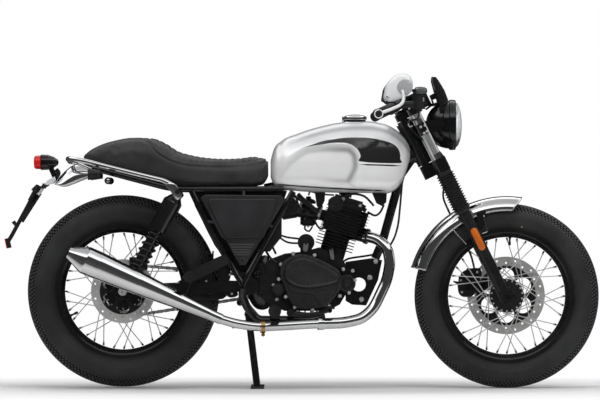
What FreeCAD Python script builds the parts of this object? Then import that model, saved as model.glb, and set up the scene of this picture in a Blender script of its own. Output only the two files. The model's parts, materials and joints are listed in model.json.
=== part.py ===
"""Cafe racer motorcycle, standing on its centre stand.

Row frame: +X forward, +Y to the rider's left, +Z up. The origin is on the floor, midway along the
machine and on its centre plane. All sizes are millimetres and degrees.
"""

import FreeCAD, Part
import math
import os

import Sketcher

V = FreeCAD.Vector
doc = FreeCAD.newDocument("CafeRacer")
sheet = doc.addObject("Spreadsheet::Sheet", "Sizes")

# The driving sizes: name, value and what it is.
SIZES = [
    # stance
    ("rear_axle_x", -615, "rear axle, from the origin"),
    ("wheelbase", 1320, "axle to axle"),
    ("stand_lift", 4, "the centre stand holds the rear tyre this far off the floor"),
    ("rake", 26, "steering axis from the vertical, degrees"),
    ("axle_lead", 8, "front axle ahead of the fork legs"),
    ("yoke_offset", 45, "fork legs ahead of the steering axis"),
    ("running_gap", 0.3, "clearance between pieces that turn and what carries them"),
    # wheels
    ("front_tyre_radius", 317.5, "front tyre, to the crown"),
    ("rear_tyre_radius", 330, "rear tyre, to the crown"),
    ("front_tyre_width", 110, "front tyre"),
    ("rear_tyre_width", 130, "rear tyre"),
    ("carcass", 8, "tyre wall"),
    ("bead_seat_radius", 218, "17 inch rim"),
    ("rim_flange_radius", 230, "rim edge"),
    ("rim_well_radius", 201.5, "inside of the rim, where the spokes end"),
    ("rim_wall", 3.2, "rim section wall"),
    ("front_rim_width", 64, "between the flanges"),
    ("rear_rim_width", 76, "between the flanges"),
    ("axle_radius", 8, "both axles"),
    ("spoke_radius", 1.7, "spoke wire"),
    ("spring_coils", 8, "turns of a rear spring"),
    ("spring_wire", 4, "radius of a rear spring's wire"),
    ("nipple_radius", 3.2, "spoke nipple"),
    ("nipple_length", 14, "spoke nipple"),
    ("front_flange_radius", 58, "front hub flange"),
    ("front_flange_y", 30, "front hub flange from the centre plane"),
    ("rear_flange_radius", 66, "rear hub flange"),
    ("rear_flange_y", 34, "rear hub flange from the centre plane"),
    ("hub_barrel_radius", 30, "hub between its flanges"),
    ("flange_wall", 5, "hub flange thickness"),
    ("front_disc_radius", 134, "front brake disc"),
    ("front_disc_y", 56, "front brake disc, on the left"),
    ("rear_disc_radius", 110, "rear brake disc"),
    ("rear_disc_y", -70, "rear brake disc, on the right"),
    ("disc_wall", 4, "brake disc thickness"),
    ("disc_band", 33, "width of the swept band of a brake disc"),
    # final drive
    ("gearbox_x", -105, "front sprocket centre"),
    ("gearbox_z", 352, "front sprocket centre"),
    ("front_sprocket_radius", 28.5, "pitch circle"),
    ("rear_sprocket_radius", 91, "pitch circle"),
    ("chain_y", 77, "chain line"),
    ("chain_height", 11.5, "plate height"),
    ("sprocket_wall", 6, "sprocket thickness"),
    # fork
    ("fork_spread", 92, "fork leg from the centre plane"),
    ("stanchion_radius", 16.5, "fork tube"),
    ("leg_radius", 21, "fork lower"),
    ("leg_top", 330, "top of the fork lower above the axle, along the fork"),
    ("lower_yoke", 480, "underside of the lower yoke, along the fork"),
    ("lower_yoke_height", 48, "lower yoke"),
    ("upper_yoke", 700, "underside of the upper yoke"),
    ("upper_yoke_height", 24, "upper yoke"),
    ("stanchion_top", 734, "top of the fork tubes"),
    ("gaiter_radius", 31, "rubber gaiter, at its ribs"),
    ("gaiter_root", 24, "rubber gaiter, between its ribs"),
    ("gaiter_ribs", 15, "ribs on a gaiter"),
    ("stem_radius", 14, "steering stem"),
    ("head_tube_radius", 26, "frame head tube"),
    # front mudguard
    ("guard_gap", 25, "front mudguard above the tyre"),
    ("guard_depth", 40, "front mudguard, crown to skirt"),
    ("guard_half_width", 63, "front mudguard"),
    ("guard_wall", 2, "mudguard sheet"),
    ("guard_front", 82, "front tip of the mudguard, degrees up from ahead"),
    ("guard_rear", 163, "rear tip of the mudguard"),
    # handlebar and what it carries
    ("bar_radius", 11, "handlebar tube"),
    ("bar_half_width", 345, "handlebar, to a bar end"),
    ("bar_rise", 54, "handlebar centre above the underside of the upper yoke, along the fork"),
    ("bar_end_x", 258, "bar end"),
    ("bar_end_z", 940, "bar end"),
    ("grip_length", 128, "along the bar"),
    ("grip_radius", 16.5, "rubber grip"),
    # headlamp
    ("lamp_x", 510, "headlamp, at the back of its rim"),
    ("lamp_z", 906, "headlamp axis"),
    ("lamp_radius", 86, "headlamp rim"),
    ("lamp_depth", 78, "headlamp bowl behind the rim"),
    ("lamp_rim", 18, "length of the rim"),
    ("glass_rise", 23, "dome of the headlamp glass"),
    ("screen_wall", 4, "fly screen sheet"),
    # frame
    ("tube_radius", 11, "side tubes and seat rails"),
    ("spine_radius", 19, "backbone"),
    ("down_tube_radius", 15, "down tube"),
    ("frame_y", 100, "side tubes from the centre plane"),
    ("rail_y", 88, "seat rails from the centre plane"),
    ("knee_x", -203, "where the side tubes meet"),
    ("knee_z", 358, "where the side tubes meet"),
    ("rail_z", 684, "seat rails"),
    ("cradle_z", 234, "cradle tubes under the engine"),
    ("cradle_radius", 13, "cradle tubes"),
    ("pivot_x", -169, "swingarm pivot"),
    ("pivot_z", 352, "swingarm pivot"),
    ("arm_inner", 89, "inside of a swingarm arm"),
    ("arm_width", 22, "swingarm arm"),
    ("arm_height", 40, "swingarm arm"),
    ("shock_y", 132, "rear shocks from the centre plane"),
    ("shock_top_x", -426, "upper eye"),
    ("shock_top_z", 676, "upper eye"),
    ("shock_low_x", -582, "lower eye"),
    ("shock_low_z", 386, "lower eye"),
    # engine
    ("case_half_width", 69, "crankcase halves"),
    ("cylinder_lean", 17, "cylinder, forward of the vertical, degrees"),
    ("cylinder_x", 100, "foot of the cylinder axis"),
    ("cylinder_z", 452, "foot of the cylinder axis"),
    ("fin_count", 5, "barrel fins"),
    ("head_fin_count", 7, "cylinder head fins"),
    ("barrel_height", 84, "cylinder barrel, along its axis"),
    ("fin_pitch", 10.5, "fin spacing"),
    ("fin_wall", 3, "fin thickness"),
    ("fin_reach", 66, "fins, from the cylinder axis"),
    ("fin_half_width", 64, "fins, from the centre plane"),
    ("fin_corner", 16, "radius of a fin's corners"),
    ("barrel_radius", 44, "cylinder barrel inside its fins"),
    # exhaust
    ("header_radius", 19, "header pipe"),
    ("link_radius", 16, "pipe under the engine"),
    ("silencer_radius", 48, "silencer at its widest"),
    # tank and seat
    ("tank_half_width", 133, "tank at its widest"),
    ("tank_skin", 3, "tank wall"),
    ("knee_half_width", 118, "tank between its knee recesses, from the centre plane"),
    ("tank_top", 919, "tank at its highest"),
    ("tank_base", 671, "tank seam"),
    ("tunnel_half_width", 27, "tunnel under the tank for the backbone"),
    ("seat_half_width", 120, "seat at its widest"),
    ("rail_tube_radius", 9, "chrome grab rail"),
    ("hose_radius", 3.5, "brake hose and engine cable"),
    # stands
    ("stand_pivot_x", -185, "centre stand pivot"),
    ("stand_pivot_z", 255, "centre stand pivot"),
    ("stand_foot_x", -155, "centre stand feet, ahead of the pivot so that the weight locks it"),
    ("stand_foot_y", 125, "centre stand feet"),
    ("stand_leg_radius", 11, "centre stand tube"),
    ("side_stand_length", 215, "side stand leg"),
]

for row, (name, value, note) in enumerate(SIZES, start=1):
    sheet.set(f"A{row}", note)
    sheet.set(f"B{row}", str(value))
    sheet.setAlias(f"B{row}", name)
doc.recompute()


class Size:
    """A length or angle that carries both its value and the sheet expression that gives it."""

    def __init__(self, value, text):
        self.value = float(value)
        self.text = text

    @staticmethod
    def of(other):
        return other if isinstance(other, Size) else Size(other, f"{float(other):.6f}")

    def __add__(self, other):
        other = Size.of(other)
        return Size(self.value + other.value, f"({self.text} + {other.text})")

    def __sub__(self, other):
        other = Size.of(other)
        return Size(self.value - other.value, f"({self.text} - {other.text})")

    def __mul__(self, other):
        other = Size.of(other)
        return Size(self.value * other.value, f"({self.text} * {other.text})")

    def __truediv__(self, other):
        other = Size.of(other)
        return Size(self.value / other.value, f"({self.text} / {other.text})")

    def __neg__(self):
        return Size(-self.value, f"(0 - {self.text})")

    __radd__ = __add__
    __rmul__ = __mul__

    def __rsub__(self, other):
        return Size.of(other) - self

    def __float__(self):
        return self.value


def size(name):
    return Size(sheet.get(name), f"Sizes.{name}")


S = {name: size(name) for name, _, _ in SIZES}


def num(name):
    return S[name].value


def cosine(angle):
    return Size(math.cos(math.radians(angle.value)), f"cos({angle.text} * 1 deg)")


def sine(angle):
    return Size(math.sin(math.radians(angle.value)), f"sin({angle.text} * 1 deg)")


def bind(item, prop, value):
    """Sets a property, and ties it to the sheet where the value comes from there."""
    if isinstance(value, Size):
        item.setExpression(prop, value.text)
    else:
        setattr(item, prop, value)


def place(item, base, axis=V(0, 0, 1), angle=0):
    """Puts an object at base, turned by angle about axis, with both tied to the sheet."""
    values = [Size.of(b) for b in base]
    turn = Size.of(angle)
    item.Placement = FreeCAD.Placement(V(*[b.value for b in values]), FreeCAD.Rotation(axis, turn.value))
    for letter, value in zip("xyz", values):
        item.setExpression(f"Placement.Base.{letter}", value.text)
    if isinstance(angle, Size):
        item.setExpression("Placement.Rotation.Angle", turn.text)
    return item


def arc_between(a, b, radius, side):
    """The minor arc from a to b that bulges to the left of that line (1) or to its right (-1)."""
    chord = b - a
    half = chord.Length / 2
    left = V(-chord.y, chord.x, 0).normalize()
    centre = (a + b) * 0.5 - left * (side * math.sqrt(radius * radius - half * half))
    first, last = (b, a) if side > 0 else (a, b)
    start = math.atan2(first.y - centre.y, first.x - centre.x)
    end = math.atan2(last.y - centre.y, last.x - centre.x)
    return Part.ArcOfCircle(Part.Circle(centre, V(0, 0, 1), radius), start, end)


def draw(sketch, points):
    """A closed outline in a sketch. Each point is (x, y), or (x, y, radius, side) where an arc follows it."""
    corners = [(Size.of(p[0]), Size.of(p[1])) for p in points]
    count = len(points)
    for i, point in enumerate(points):
        a = V(corners[i][0].value, corners[i][1].value, 0)
        b = V(corners[(i + 1) % count][0].value, corners[(i + 1) % count][1].value, 0)
        if len(point) == 4:
            sketch.addGeometry(arc_between(a, b, Size.of(point[2]).value, point[3]), False)
        else:
            sketch.addGeometry(Part.LineSegment(a, b), False)
    # An arc runs counter-clockwise, so one that bulges left starts at the outline's later point.
    ends = []
    for i, point in enumerate(points):
        flipped = len(point) == 4 and point[3] > 0
        ends.append((2, 1) if flipped else (1, 2))
    for i in range(count):
        following = (i + 1) % count
        sketch.addConstraint(Sketcher.Constraint("Coincident", i, ends[i][1], following, ends[following][0]))
    for i, (x, y) in enumerate(corners):
        for letter, kind, value in (("x", "DistanceX", x), ("y", "DistanceY", y)):
            made = sketch.addConstraint(Sketcher.Constraint(kind, -1, 1, i, ends[i][0], value.value))
            sketch.renameConstraint(made, f"p{i}{letter}")
            sketch.setExpression(f"Constraints.p{i}{letter}", value.text)
    for i, point in enumerate(points):
        if len(point) == 4:
            radius = Size.of(point[2])
            made = sketch.addConstraint(Sketcher.Constraint("Radius", i, radius.value))
            sketch.renameConstraint(made, f"r{i}")
            sketch.setExpression(f"Constraints.r{i}", radius.text)


def sketch_in(body, name, plane, points):
    sketch = body.newObject("Sketcher::SketchObject", name)
    support = [f for f in body.Origin.OriginFeatures if f.Role == plane][0]
    sketch.AttachmentSupport = [(support, "")]
    sketch.MapMode = "FlatFace"
    draw(sketch, points)
    return sketch


def new_body(name):
    return doc.addObject("PartDesign::Body", name)


def turned(name, points, plane="XY_Plane", angle=360):
    """A body turned about the sketch's vertical axis. On XY_Plane, x is the radius and y runs along +Y."""
    body = new_body(name)
    sketch = sketch_in(body, name + "_profile", plane, points)
    turn = body.newObject("PartDesign::Revolution", name + "_turn")
    turn.Profile = sketch
    turn.ReferenceAxis = (sketch, ["V_Axis"])
    bind(turn, "Angle", angle)
    return body


def plate(name, points, thickness, middle=0, plane="XZ_Plane"):
    """A flat plate with its outline in the side view, centred on y = middle."""
    body = new_body(name)
    sketch = sketch_in(body, name + "_outline", plane, points)
    pad = body.newObject("PartDesign::Pad", name + "_pad")
    pad.Profile = sketch
    bind(pad, "Length", Size.of(thickness))
    pad.Midplane = True
    place(body, (0, middle, 0))
    return body


def cylinder(name, radius, length, base, axis=V(0, 0, 1), angle=0):
    item = doc.addObject("Part::Cylinder", name)
    bind(item, "Radius", Size.of(radius))
    bind(item, "Height", Size.of(length))
    return place(item, base, axis, angle)


def box(name, lengths, base, axis=V(0, 0, 1), angle=0):
    item = doc.addObject("Part::Box", name)
    for prop, value in zip(("Length", "Width", "Height"), lengths):
        bind(item, prop, Size.of(value))
    return place(item, base, axis, angle)


def fuse(name, parts):
    item = doc.addObject("Part::MultiFuse", name)
    item.Shapes = parts
    return item


def cut(name, base, tool):
    item = doc.addObject("Part::Cut", name)
    item.Base = base
    item.Tool = tool
    return item


def compound(name, parts):
    item = doc.addObject("Part::Compound", name)
    item.Links = parts
    return item


def shaped(name, shape):
    """A piece whose shape is worked out here, where no feature of the workbenches makes it."""
    item = doc.addObject("Part::Feature", name)
    item.Shape = shape
    return item


def route(points, bend=0.45):
    """A wire of straight runs joined by tangent arcs, each as large as bend times its shorter run allows."""
    points = [V(*p) for p in points]
    edges = []
    start = points[0]
    for i in range(1, len(points) - 1):
        before = points[i] - points[i - 1]
        after = points[i + 1] - points[i]
        a = V(before).normalize()
        b = V(after).normalize()
        reach = bend * min(before.Length, after.Length)
        first = points[i] - a * reach
        last = points[i] + b * reach
        turn = a.getAngle(b)
        if turn < 0.01:
            continue
        radius = reach / math.tan(turn / 2)
        inward = (b - a).normalize()
        middle = points[i] + inward * (radius / math.cos(turn / 2) - radius)
        edges.append(Part.LineSegment(start, first).toShape())
        edges.append(Part.Arc(first, middle, last).toShape())
        start = last
    edges.append(Part.LineSegment(start, points[-1]).toShape())
    return Part.Wire(edges)


def tube(points, radius, bend=0.45):
    """A round bar that follows a route."""
    path = route(points, bend)
    start = V(*points[0])
    along = (V(*points[1]) - start).normalize()
    ring = Part.Wire([Part.Circle(start, along, radius).toShape()])
    pipe = Part.BRepOffsetAPI.MakePipeShell(path)
    pipe.add(ring)
    pipe.build()
    pipe.makeSolid()
    return pipe.shape()


def rod(a, b, radius):
    a, b = V(*a), V(*b)
    return Part.makeCylinder(radius, (b - a).Length, a, b - a)


def largest(shape):
    """The main solid of a shape, without slivers that a cut leaves beside it."""
    return max(shape.Solids, key=lambda s: s.Volume)


def flip(shape):
    return shape.mirror(V(0, 0, 0), V(0, 1, 0))


# Reference points worked out from the driving sizes.
rear_axle = (S["rear_axle_x"], Size.of(0), S["rear_tyre_radius"] + S["stand_lift"])
front_axle = (S["rear_axle_x"] + S["wheelbase"], Size.of(0), S["front_tyre_radius"])


def fork_point(forward, along):
    """A point of the fork, from the front axle: forward across the fork, along it upwards."""
    forward, along = Size.of(forward), Size.of(along)
    x = front_axle[0] + forward * cosine(S["rake"]) - along * sine(S["rake"])
    z = front_axle[2] + forward * sine(S["rake"]) + along * cosine(S["rake"])
    return x, z


stem_forward = -(S["axle_lead"] + S["yoke_offset"])


def wheel(side, axle, tyre_radius, tyre_width, rim_width, flange_radius, flange_y):
    """Tyre, rim and the laced hub of one wheel."""
    half = tyre_width / 2
    bead_y = rim_width / 2 - S["running_gap"]
    shoulder_r = tyre_radius - tyre_width * 0.1496
    shoulder_y = half * 0.67
    low_r = S["rim_flange_radius"] + 2
    wall = S["carcass"]
    seat_r = S["bead_seat_radius"] + S["running_gap"]
    side_radius = tyre_width * 0.345
    crown_radius = tyre_width * 0.45
    tyre = turned(
        side + "_tyre",
        [
            (shoulder_r, -shoulder_y, crown_radius, -1),
            (shoulder_r, shoulder_y, side_radius, -1),
            (low_r, bead_y),
            (seat_r, bead_y),
            (seat_r, bead_y - wall),
            (low_r, bead_y - wall, side_radius, 1),
            (shoulder_r - wall, shoulder_y - wall * 0.5, crown_radius - wall, 1),
            (shoulder_r - wall, -shoulder_y + wall * 0.5, side_radius, 1),
            (low_r, -bead_y + wall),
            (seat_r, -bead_y + wall),
            (seat_r, -bead_y),
            (low_r, -bead_y, side_radius, -1),
        ],
    )
    place(tyre, axle)
    edge = S["rim_flange_radius"]
    seat = S["bead_seat_radius"]
    well = S["rim_well_radius"]
    skin = S["rim_wall"]
    inner = rim_width / 2
    right = [
        (edge, inner + skin),
        (edge, inner),
        (seat, inner),
        (seat - 2, inner * 0.55),
        (well + skin, inner * 0.35),
    ]
    below = [
        (well, inner * 0.3),
        (seat - skin - 3, inner * 0.6),
        (seat - skin, inner + skin * 0.2),
        (seat + 2, inner + skin),
    ]
    outline = right + [(r, -y) for r, y in reversed(right)]
    outline += [(r, -y) for r, y in reversed(below)] + below
    rim = turned(side + "_rim", outline)
    place(rim, axle)
    return tyre, rim


front_tyre, front_rim = wheel(
    "front",
    front_axle,
    S["front_tyre_radius"],
    S["front_tyre_width"],
    S["front_rim_width"],
    S["front_flange_radius"],
    S["front_flange_y"],
)
rear_tyre, rear_rim = wheel(
    "rear",
    rear_axle,
    S["rear_tyre_radius"],
    S["rear_tyre_width"],
    S["rear_rim_width"],
    S["rear_flange_radius"],
    S["rear_flange_y"],
)


def hub(side, axle, flange_radius, flange_y, spacer):
    """A hub with two spoke flanges, bored for its axle."""
    wall = S["flange_wall"]
    bore = S["axle_radius"] + 0.05
    barrel = S["hub_barrel_radius"]
    right, left = -flange_y, flange_y
    body = turned(
        side + "_hub_core",
        [
            (bore, -spacer),
            (bore + 7, -spacer),
            (bore + 7, right - wall * 2),
            (barrel, right - wall),
            (flange_radius, right - wall * 0.5),
            (flange_radius, right + wall * 0.5),
            (barrel, right + wall),
            (barrel, left - wall),
            (flange_radius, left - wall * 0.5),
            (flange_radius, left + wall * 0.5),
            (barrel, left + wall),
            (bore + 7, left + wall * 2),
            (bore + 7, spacer),
            (bore, spacer),
        ],
    )
    return place(body, axle)


def spokes(name, axle, flange_radius, flange_y, count=36):
    """Crossed wire spokes with their nipples, trimmed clear of the hub flange and the rim."""
    inner = flange_radius.value + num("spoke_radius") + 0.2
    outer = num("rim_well_radius") - 0.3
    wires = []
    for i in range(count):
        side = 1 if i % 2 else -1
        sweep = 1 if (i // 2) % 2 else -1
        rim_angle = 2 * math.pi * i / count
        hub_angle = rim_angle + sweep * math.radians(62)
        y_hub = side * flange_y.value
        y_rim = side * 7.0
        a = V(inner * math.cos(hub_angle), y_hub, inner * math.sin(hub_angle))
        b = V(outer * math.cos(rim_angle), y_rim, outer * math.sin(rim_angle))
        along = (b - a).normalize()
        nipple = b - along * num("nipple_length")
        wire = rod(a, nipple, num("spoke_radius")).fuse(rod(nipple, b - along * 1.6, num("nipple_radius")))
        wires.append(wire.removeSplitter())
    item = shaped(name, Part.makeCompound(wires))
    return place(item, axle)


front_hub_core = hub(
    "front", front_axle, S["front_flange_radius"], S["front_flange_y"], S["fork_spread"] - 21.3
)
front_carrier = turned(
    "front_disc_carrier",
    [
        (S["axle_radius"] + 7.06, 39),
        (38, 39),
        (34, S["front_disc_y"] - S["disc_wall"] / 2),
        (S["axle_radius"] + 7.06, S["front_disc_y"] - S["disc_wall"] / 2),
    ],
)
place(front_carrier, front_axle)
front_hub = fuse("front_hub", [front_hub_core, front_carrier])
front_spokes = spokes("front_spokes", front_axle, S["front_flange_radius"], S["front_flange_y"])

rear_hub_core = hub("rear", rear_axle, S["rear_flange_radius"], S["rear_flange_y"], S["arm_inner"] - 0.3)
rear_disc_carrier = turned(
    "rear_disc_carrier",
    [
        (S["axle_radius"] + 7.06, S["rear_disc_y"] + S["disc_wall"] / 2),
        (34, S["rear_disc_y"] + S["disc_wall"] / 2),
        (38, -S["rear_flange_y"] - 9),
        (S["axle_radius"] + 7.06, -S["rear_flange_y"] - 9),
    ],
)
place(rear_disc_carrier, rear_axle)
sprocket_y = S["chain_y"]
sprocket_carrier = turned(
    "sprocket_carrier",
    [
        (S["axle_radius"] + 7.06, S["rear_flange_y"] + 9),
        (40, S["rear_flange_y"] + 9),
        (40, sprocket_y - S["sprocket_wall"] / 2),
        (S["axle_radius"] + 7.06, sprocket_y - S["sprocket_wall"] / 2),
    ],
)
place(sprocket_carrier, rear_axle)
rear_spokes = spokes("rear_spokes", rear_axle, S["rear_flange_radius"], S["rear_flange_y"])


def brake_disc(name, axle, radius, y, inner):
    """A swept band carried on a spider, with lightening holes through the band."""
    wall = S["disc_wall"]
    body = turned(
        name + "_blank",
        [(inner, y - wall / 2), (radius, y - wall / 2), (radius, y + wall / 2), (inner, y + wall / 2)],
    )
    place(body, axle)
    cutters = []
    spider_in = inner.value + 9
    spider_out = radius.value - num("disc_band")
    for i in range(6):
        angle = 2 * math.pi * (i + 0.5) / 6
        middle = (spider_in + spider_out) / 2 + 4
        r = min((spider_out - spider_in) / 2, middle * math.sin(math.pi / 6) - 5)
        x = axle[0].value + middle * math.cos(angle)
        z = axle[2].value + middle * math.sin(angle)
        cutters.append(Part.makeCylinder(r, 20, V(x, y.value - 10, z), V(0, 1, 0)))
    for i in range(24):
        angle = 2 * math.pi * i / 24
        middle = radius.value - num("disc_band") * (0.36 if i % 2 else 0.66)
        x = axle[0].value + middle * math.cos(angle)
        z = axle[2].value + middle * math.sin(angle)
        cutters.append(Part.makeCylinder(3.6, 20, V(x, y.value - 10, z), V(0, 1, 0)))
    holes = shaped(name + "_holes", Part.makeCompound(cutters))
    return cut(name, body, holes)


disc_bore = S["axle_radius"] + 7.2
front_disc = brake_disc("front_disc", front_axle, S["front_disc_radius"], S["front_disc_y"], disc_bore)
rear_disc = brake_disc("rear_disc", rear_axle, S["rear_disc_radius"], S["rear_disc_y"], disc_bore)


def sprocket(name, centre, pitch_radius, y, inner):
    """A toothed wheel whose tips run just under the chain rollers."""
    teeth = round(2 * math.pi * pitch_radius.value / 12.7)
    tip = pitch_radius.value - 4.8
    root = tip - 5
    points = []
    for i in range(teeth):
        for share, radius in ((0.0, root), (0.32, root), (0.5, tip), (0.66, tip), (0.84, root)):
            angle = 2 * math.pi * (i + share) / teeth
            points.append(V(centre[0] + radius * math.cos(angle), 0, centre[1] + radius * math.sin(angle)))
    points.append(points[0])
    face = Part.Face(Part.makePolygon(points))
    wall = num("sprocket_wall")
    blank = face.extrude(V(0, wall, 0))
    blank.translate(V(0, y - wall / 2, 0))
    return blank.cut(Part.makeCylinder(inner, 40, V(centre[0], y - 20, centre[1]), V(0, 1, 0)))


rear_plane = (rear_axle[0].value, rear_axle[2].value)
rear_toothed = sprocket("rear_sprocket", rear_plane, S["rear_sprocket_radius"], num("chain_y"), 15.2)
windows = []
for i in range(5):
    angle = 2 * math.pi * i / 5
    x = rear_plane[0] + 58 * math.cos(angle)
    z = rear_plane[1] + 58 * math.sin(angle)
    windows.append(Part.makeCylinder(14, 40, V(x, num("chain_y") - 20, z), V(0, 1, 0)))
rear_sprocket = shaped("rear_sprocket", rear_toothed.cut(Part.makeCompound(windows)))
rear_hub = fuse("rear_hub", [rear_hub_core, rear_disc_carrier, sprocket_carrier, rear_sprocket])


# Chain: a fixed loop of links round both sprockets.
def chain_loop():
    small = V(num("gearbox_x"), 0, num("gearbox_z"))
    large = V(rear_plane[0], 0, rear_plane[1])
    r1, r2 = num("front_sprocket_radius"), num("rear_sprocket_radius")
    line = large - small
    span = line.Length
    heading = math.atan2(line.z, line.x)
    lift = math.acos((r1 - r2) / span)
    top_angle = heading - lift
    low_angle = heading + lift
    run = math.sqrt(span * span - (r2 - r1) ** 2)
    wrap_large = 2 * lift
    total = 2 * run + r1 * (2 * math.pi - 2 * lift) + r2 * 2 * lift
    count = 2 * round(total / 12.7 / 2)
    points = []
    for i in range(count):
        d = total * i / count
        if d < run:
            a = small + V(math.cos(top_angle), 0, math.sin(top_angle)) * r1
            b = large + V(math.cos(top_angle), 0, math.sin(top_angle)) * r2
            points.append(a + (b - a) * (d / run))
        elif d < run + r2 * wrap_large:
            angle = top_angle + (d - run) / r2
            points.append(large + V(math.cos(angle), 0, math.sin(angle)) * r2)
        elif d < 2 * run + r2 * wrap_large:
            a = large + V(math.cos(low_angle), 0, math.sin(low_angle)) * r2
            b = small + V(math.cos(low_angle), 0, math.sin(low_angle)) * r1
            points.append(a + (b - a) * ((d - run - r2 * wrap_large) / run))
        else:
            angle = low_angle + (d - 2 * run - r2 * wrap_large) / r1
            points.append(small + V(math.cos(angle), 0, math.sin(angle)) * r1)
    return points


def link_plate(a, b, y, wall, height):
    along = (b - a).normalize()
    across = V(-along.z, 0, along.x)
    corners = []
    for step, side in ((-3.4, -0.5), (b - a, -0.5), (b - a, 0.5), (-3.4, 0.5)):
        reach = -3.4 if step == -3.4 else (b - a).Length + 3.4
        corners.append(a + along * reach + across * (side * height) + V(0, y, 0))
    corners.append(corners[0])
    return Part.Face(Part.makePolygon(corners)).extrude(V(0, wall, 0))


def roller(centre, sides=6):
    """A chain roller, kept to a few flat sides because there are so many."""
    corners = []
    for k in range(sides + 1):
        angle = 2 * math.pi * k / sides
        corners.append(centre + V(4 * math.cos(angle), num("chain_y") - 3.4, 4 * math.sin(angle)))
    return Part.Face(Part.makePolygon(corners)).extrude(V(0, 6.8, 0))


joints_of_chain = chain_loop()
links = []
plate_wall = 1.5
inner_y = num("chain_y") - 3.4 - plate_wall
for i, a in enumerate(joints_of_chain):
    b = joints_of_chain[(i + 1) % len(joints_of_chain)]
    if i % 2:
        links.append(link_plate(a, b, inner_y - plate_wall - 0.2, plate_wall, num("chain_height") * 0.82))
        outer_y = num("chain_y") + 3.6 + plate_wall
        links.append(link_plate(a, b, outer_y, plate_wall, num("chain_height") * 0.82))
    else:
        pieces = [
            link_plate(a, b, inner_y, plate_wall, num("chain_height")),
            link_plate(a, b, num("chain_y") + 3.4, plate_wall, num("chain_height")),
        ]
        for end in (a, b):
            pieces.append(roller(end))
        links.append(pieces[0].multiFuse(pieces[1:]))
chain = shaped("chain", Part.makeCompound(links))

# Frame: head tube, backbone, down tube and the hanger of the cylinder head.
head_low = num("lower_yoke") + num("lower_yoke_height") + 2
head_high = num("upper_yoke") - 2
stem_low = fork_point(stem_forward, head_low)
stem_high = fork_point(stem_forward, head_high)
low_point = (stem_low[0].value, 0, stem_low[1].value)
high_point = (stem_high[0].value, 0, stem_high[1].value)
head_bore = rod(low_point, high_point, num("stem_radius") + 0.05)
head_tube = rod(low_point, high_point, num("head_tube_radius"))


def stem_point(along):
    """A point of the steering axis."""
    x, z = fork_point(stem_forward, along)
    return (x.value, 0, z.value)


cross_x = -128
backbone_front = stem_point(head_low + 35)
backbone_knee = (150, 0, 742)
backbone_end = (cross_x, 0, num("rail_z"))
backbone = tube([backbone_front, backbone_knee, backbone_end], num("spine_radius"), 0.3)
down_tube_path = [stem_point(head_low + 62), (352, 0, 775), (317, 0, 647), (279, 0, 509), (252, 0, 445)]
down_tube = tube(down_tube_path, num("down_tube_radius"), 0.35)
gusset_outline = [V(398, -4, 790), V(335, -4, 700), V(250, -4, 762), V(300, -4, 784), V(398, -4, 790)]
gusset = Part.Face(Part.makePolygon(gusset_outline)).extrude(V(0, 8, 0))
hangers = []
for y in (-21, 16):
    outline = [V(118, y, 742), V(128, y, 666), V(170, y, 654), V(180, y, 742), V(118, y, 742)]
    hangers.append(Part.Face(Part.makePolygon(outline)).extrude(V(0, 5, 0)))
cross_front = rod((cross_x, -num("rail_y"), num("rail_z")), (cross_x, num("rail_y"), num("rail_z")), 12)
spine = head_tube.multiFuse([backbone, down_tube, gusset, cross_front] + hangers).cut(head_bore)
frame_spine = shaped("frame_spine", spine.removeSplitter())

# Seat rails and the tail loop.
rail_tail = (-712, 72, 756)
rail_path = [
    (-66, -num("rail_y"), num("rail_z")),
    (-440, -num("rail_y"), num("rail_z")),
    (-600, -num("rail_y"), 726),
    (rail_tail[0], -rail_tail[1], rail_tail[2]),
    (-728, 0, 760),
    rail_tail,
    (-600, num("rail_y"), 726),
    (-440, num("rail_y"), num("rail_z")),
    (-66, num("rail_y"), num("rail_z")),
]
rails = tube(rail_path, num("tube_radius"), 0.3)
shock_pins = [
    rod(
        (num("shock_top_x"), side * 80, num("shock_top_z")),
        (num("shock_top_x"), side * 158, num("shock_top_z")), 6,
    )
    for side in (-1, 1)
]
cross_rear = rod((-440, -88, num("rail_z")), (-440, 88, num("rail_z")), 10)
rails = rails.multiFuse(shock_pins + [cross_rear]).cut(frame_spine.Shape)
frame_rails = shaped("frame_rails", rails)

# Side tubes, pivot plates and the cradle that carries the footrests.
knee_x, knee_z = num("knee_x"), num("knee_z")
fy = num("frame_y")
cradle_z, cradle_r = num("cradle_z"), num("cradle_radius")


def one_side():
    front_leg = tube(
        [(-31, -90, 676), (-58, -fy, 625), (-137, -fy, 480), (-188, -121, 388), (knee_x, -122, knee_z - 6)],
        num("tube_radius"),
        0.3,
    )
    rear_leg = tube(
        [(-378, -90, 676), (-352, -fy, 622), (-307, -fy, 527), (-238, -106, 415), (knee_x, -122, knee_z - 2)],
        num("tube_radius"),
        0.3,
    )
    plate_outline = [
        (-225, 372), (-214, 400), (-190, 400), (-150, 366), (-148, 338), (-168, 322), (-196, 318),
        (-216, 335),
    ]
    points = [V(x, -124, z) for x, z in plate_outline]
    pivot_plate = Part.Face(Part.makePolygon(points + points[:1])).extrude(V(0, 8, 0))
    lower = tube(
        [(knee_x, -120, knee_z - 12), (-206, -114, 318), (-190, -104, 278), (-152, -fy, cradle_z),
         (28, -fy, cradle_z), (72, -66, cradle_z + 13)],
        cradle_r,
        0.3,
    )
    return [front_leg, rear_leg, pivot_plate, lower]


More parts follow.
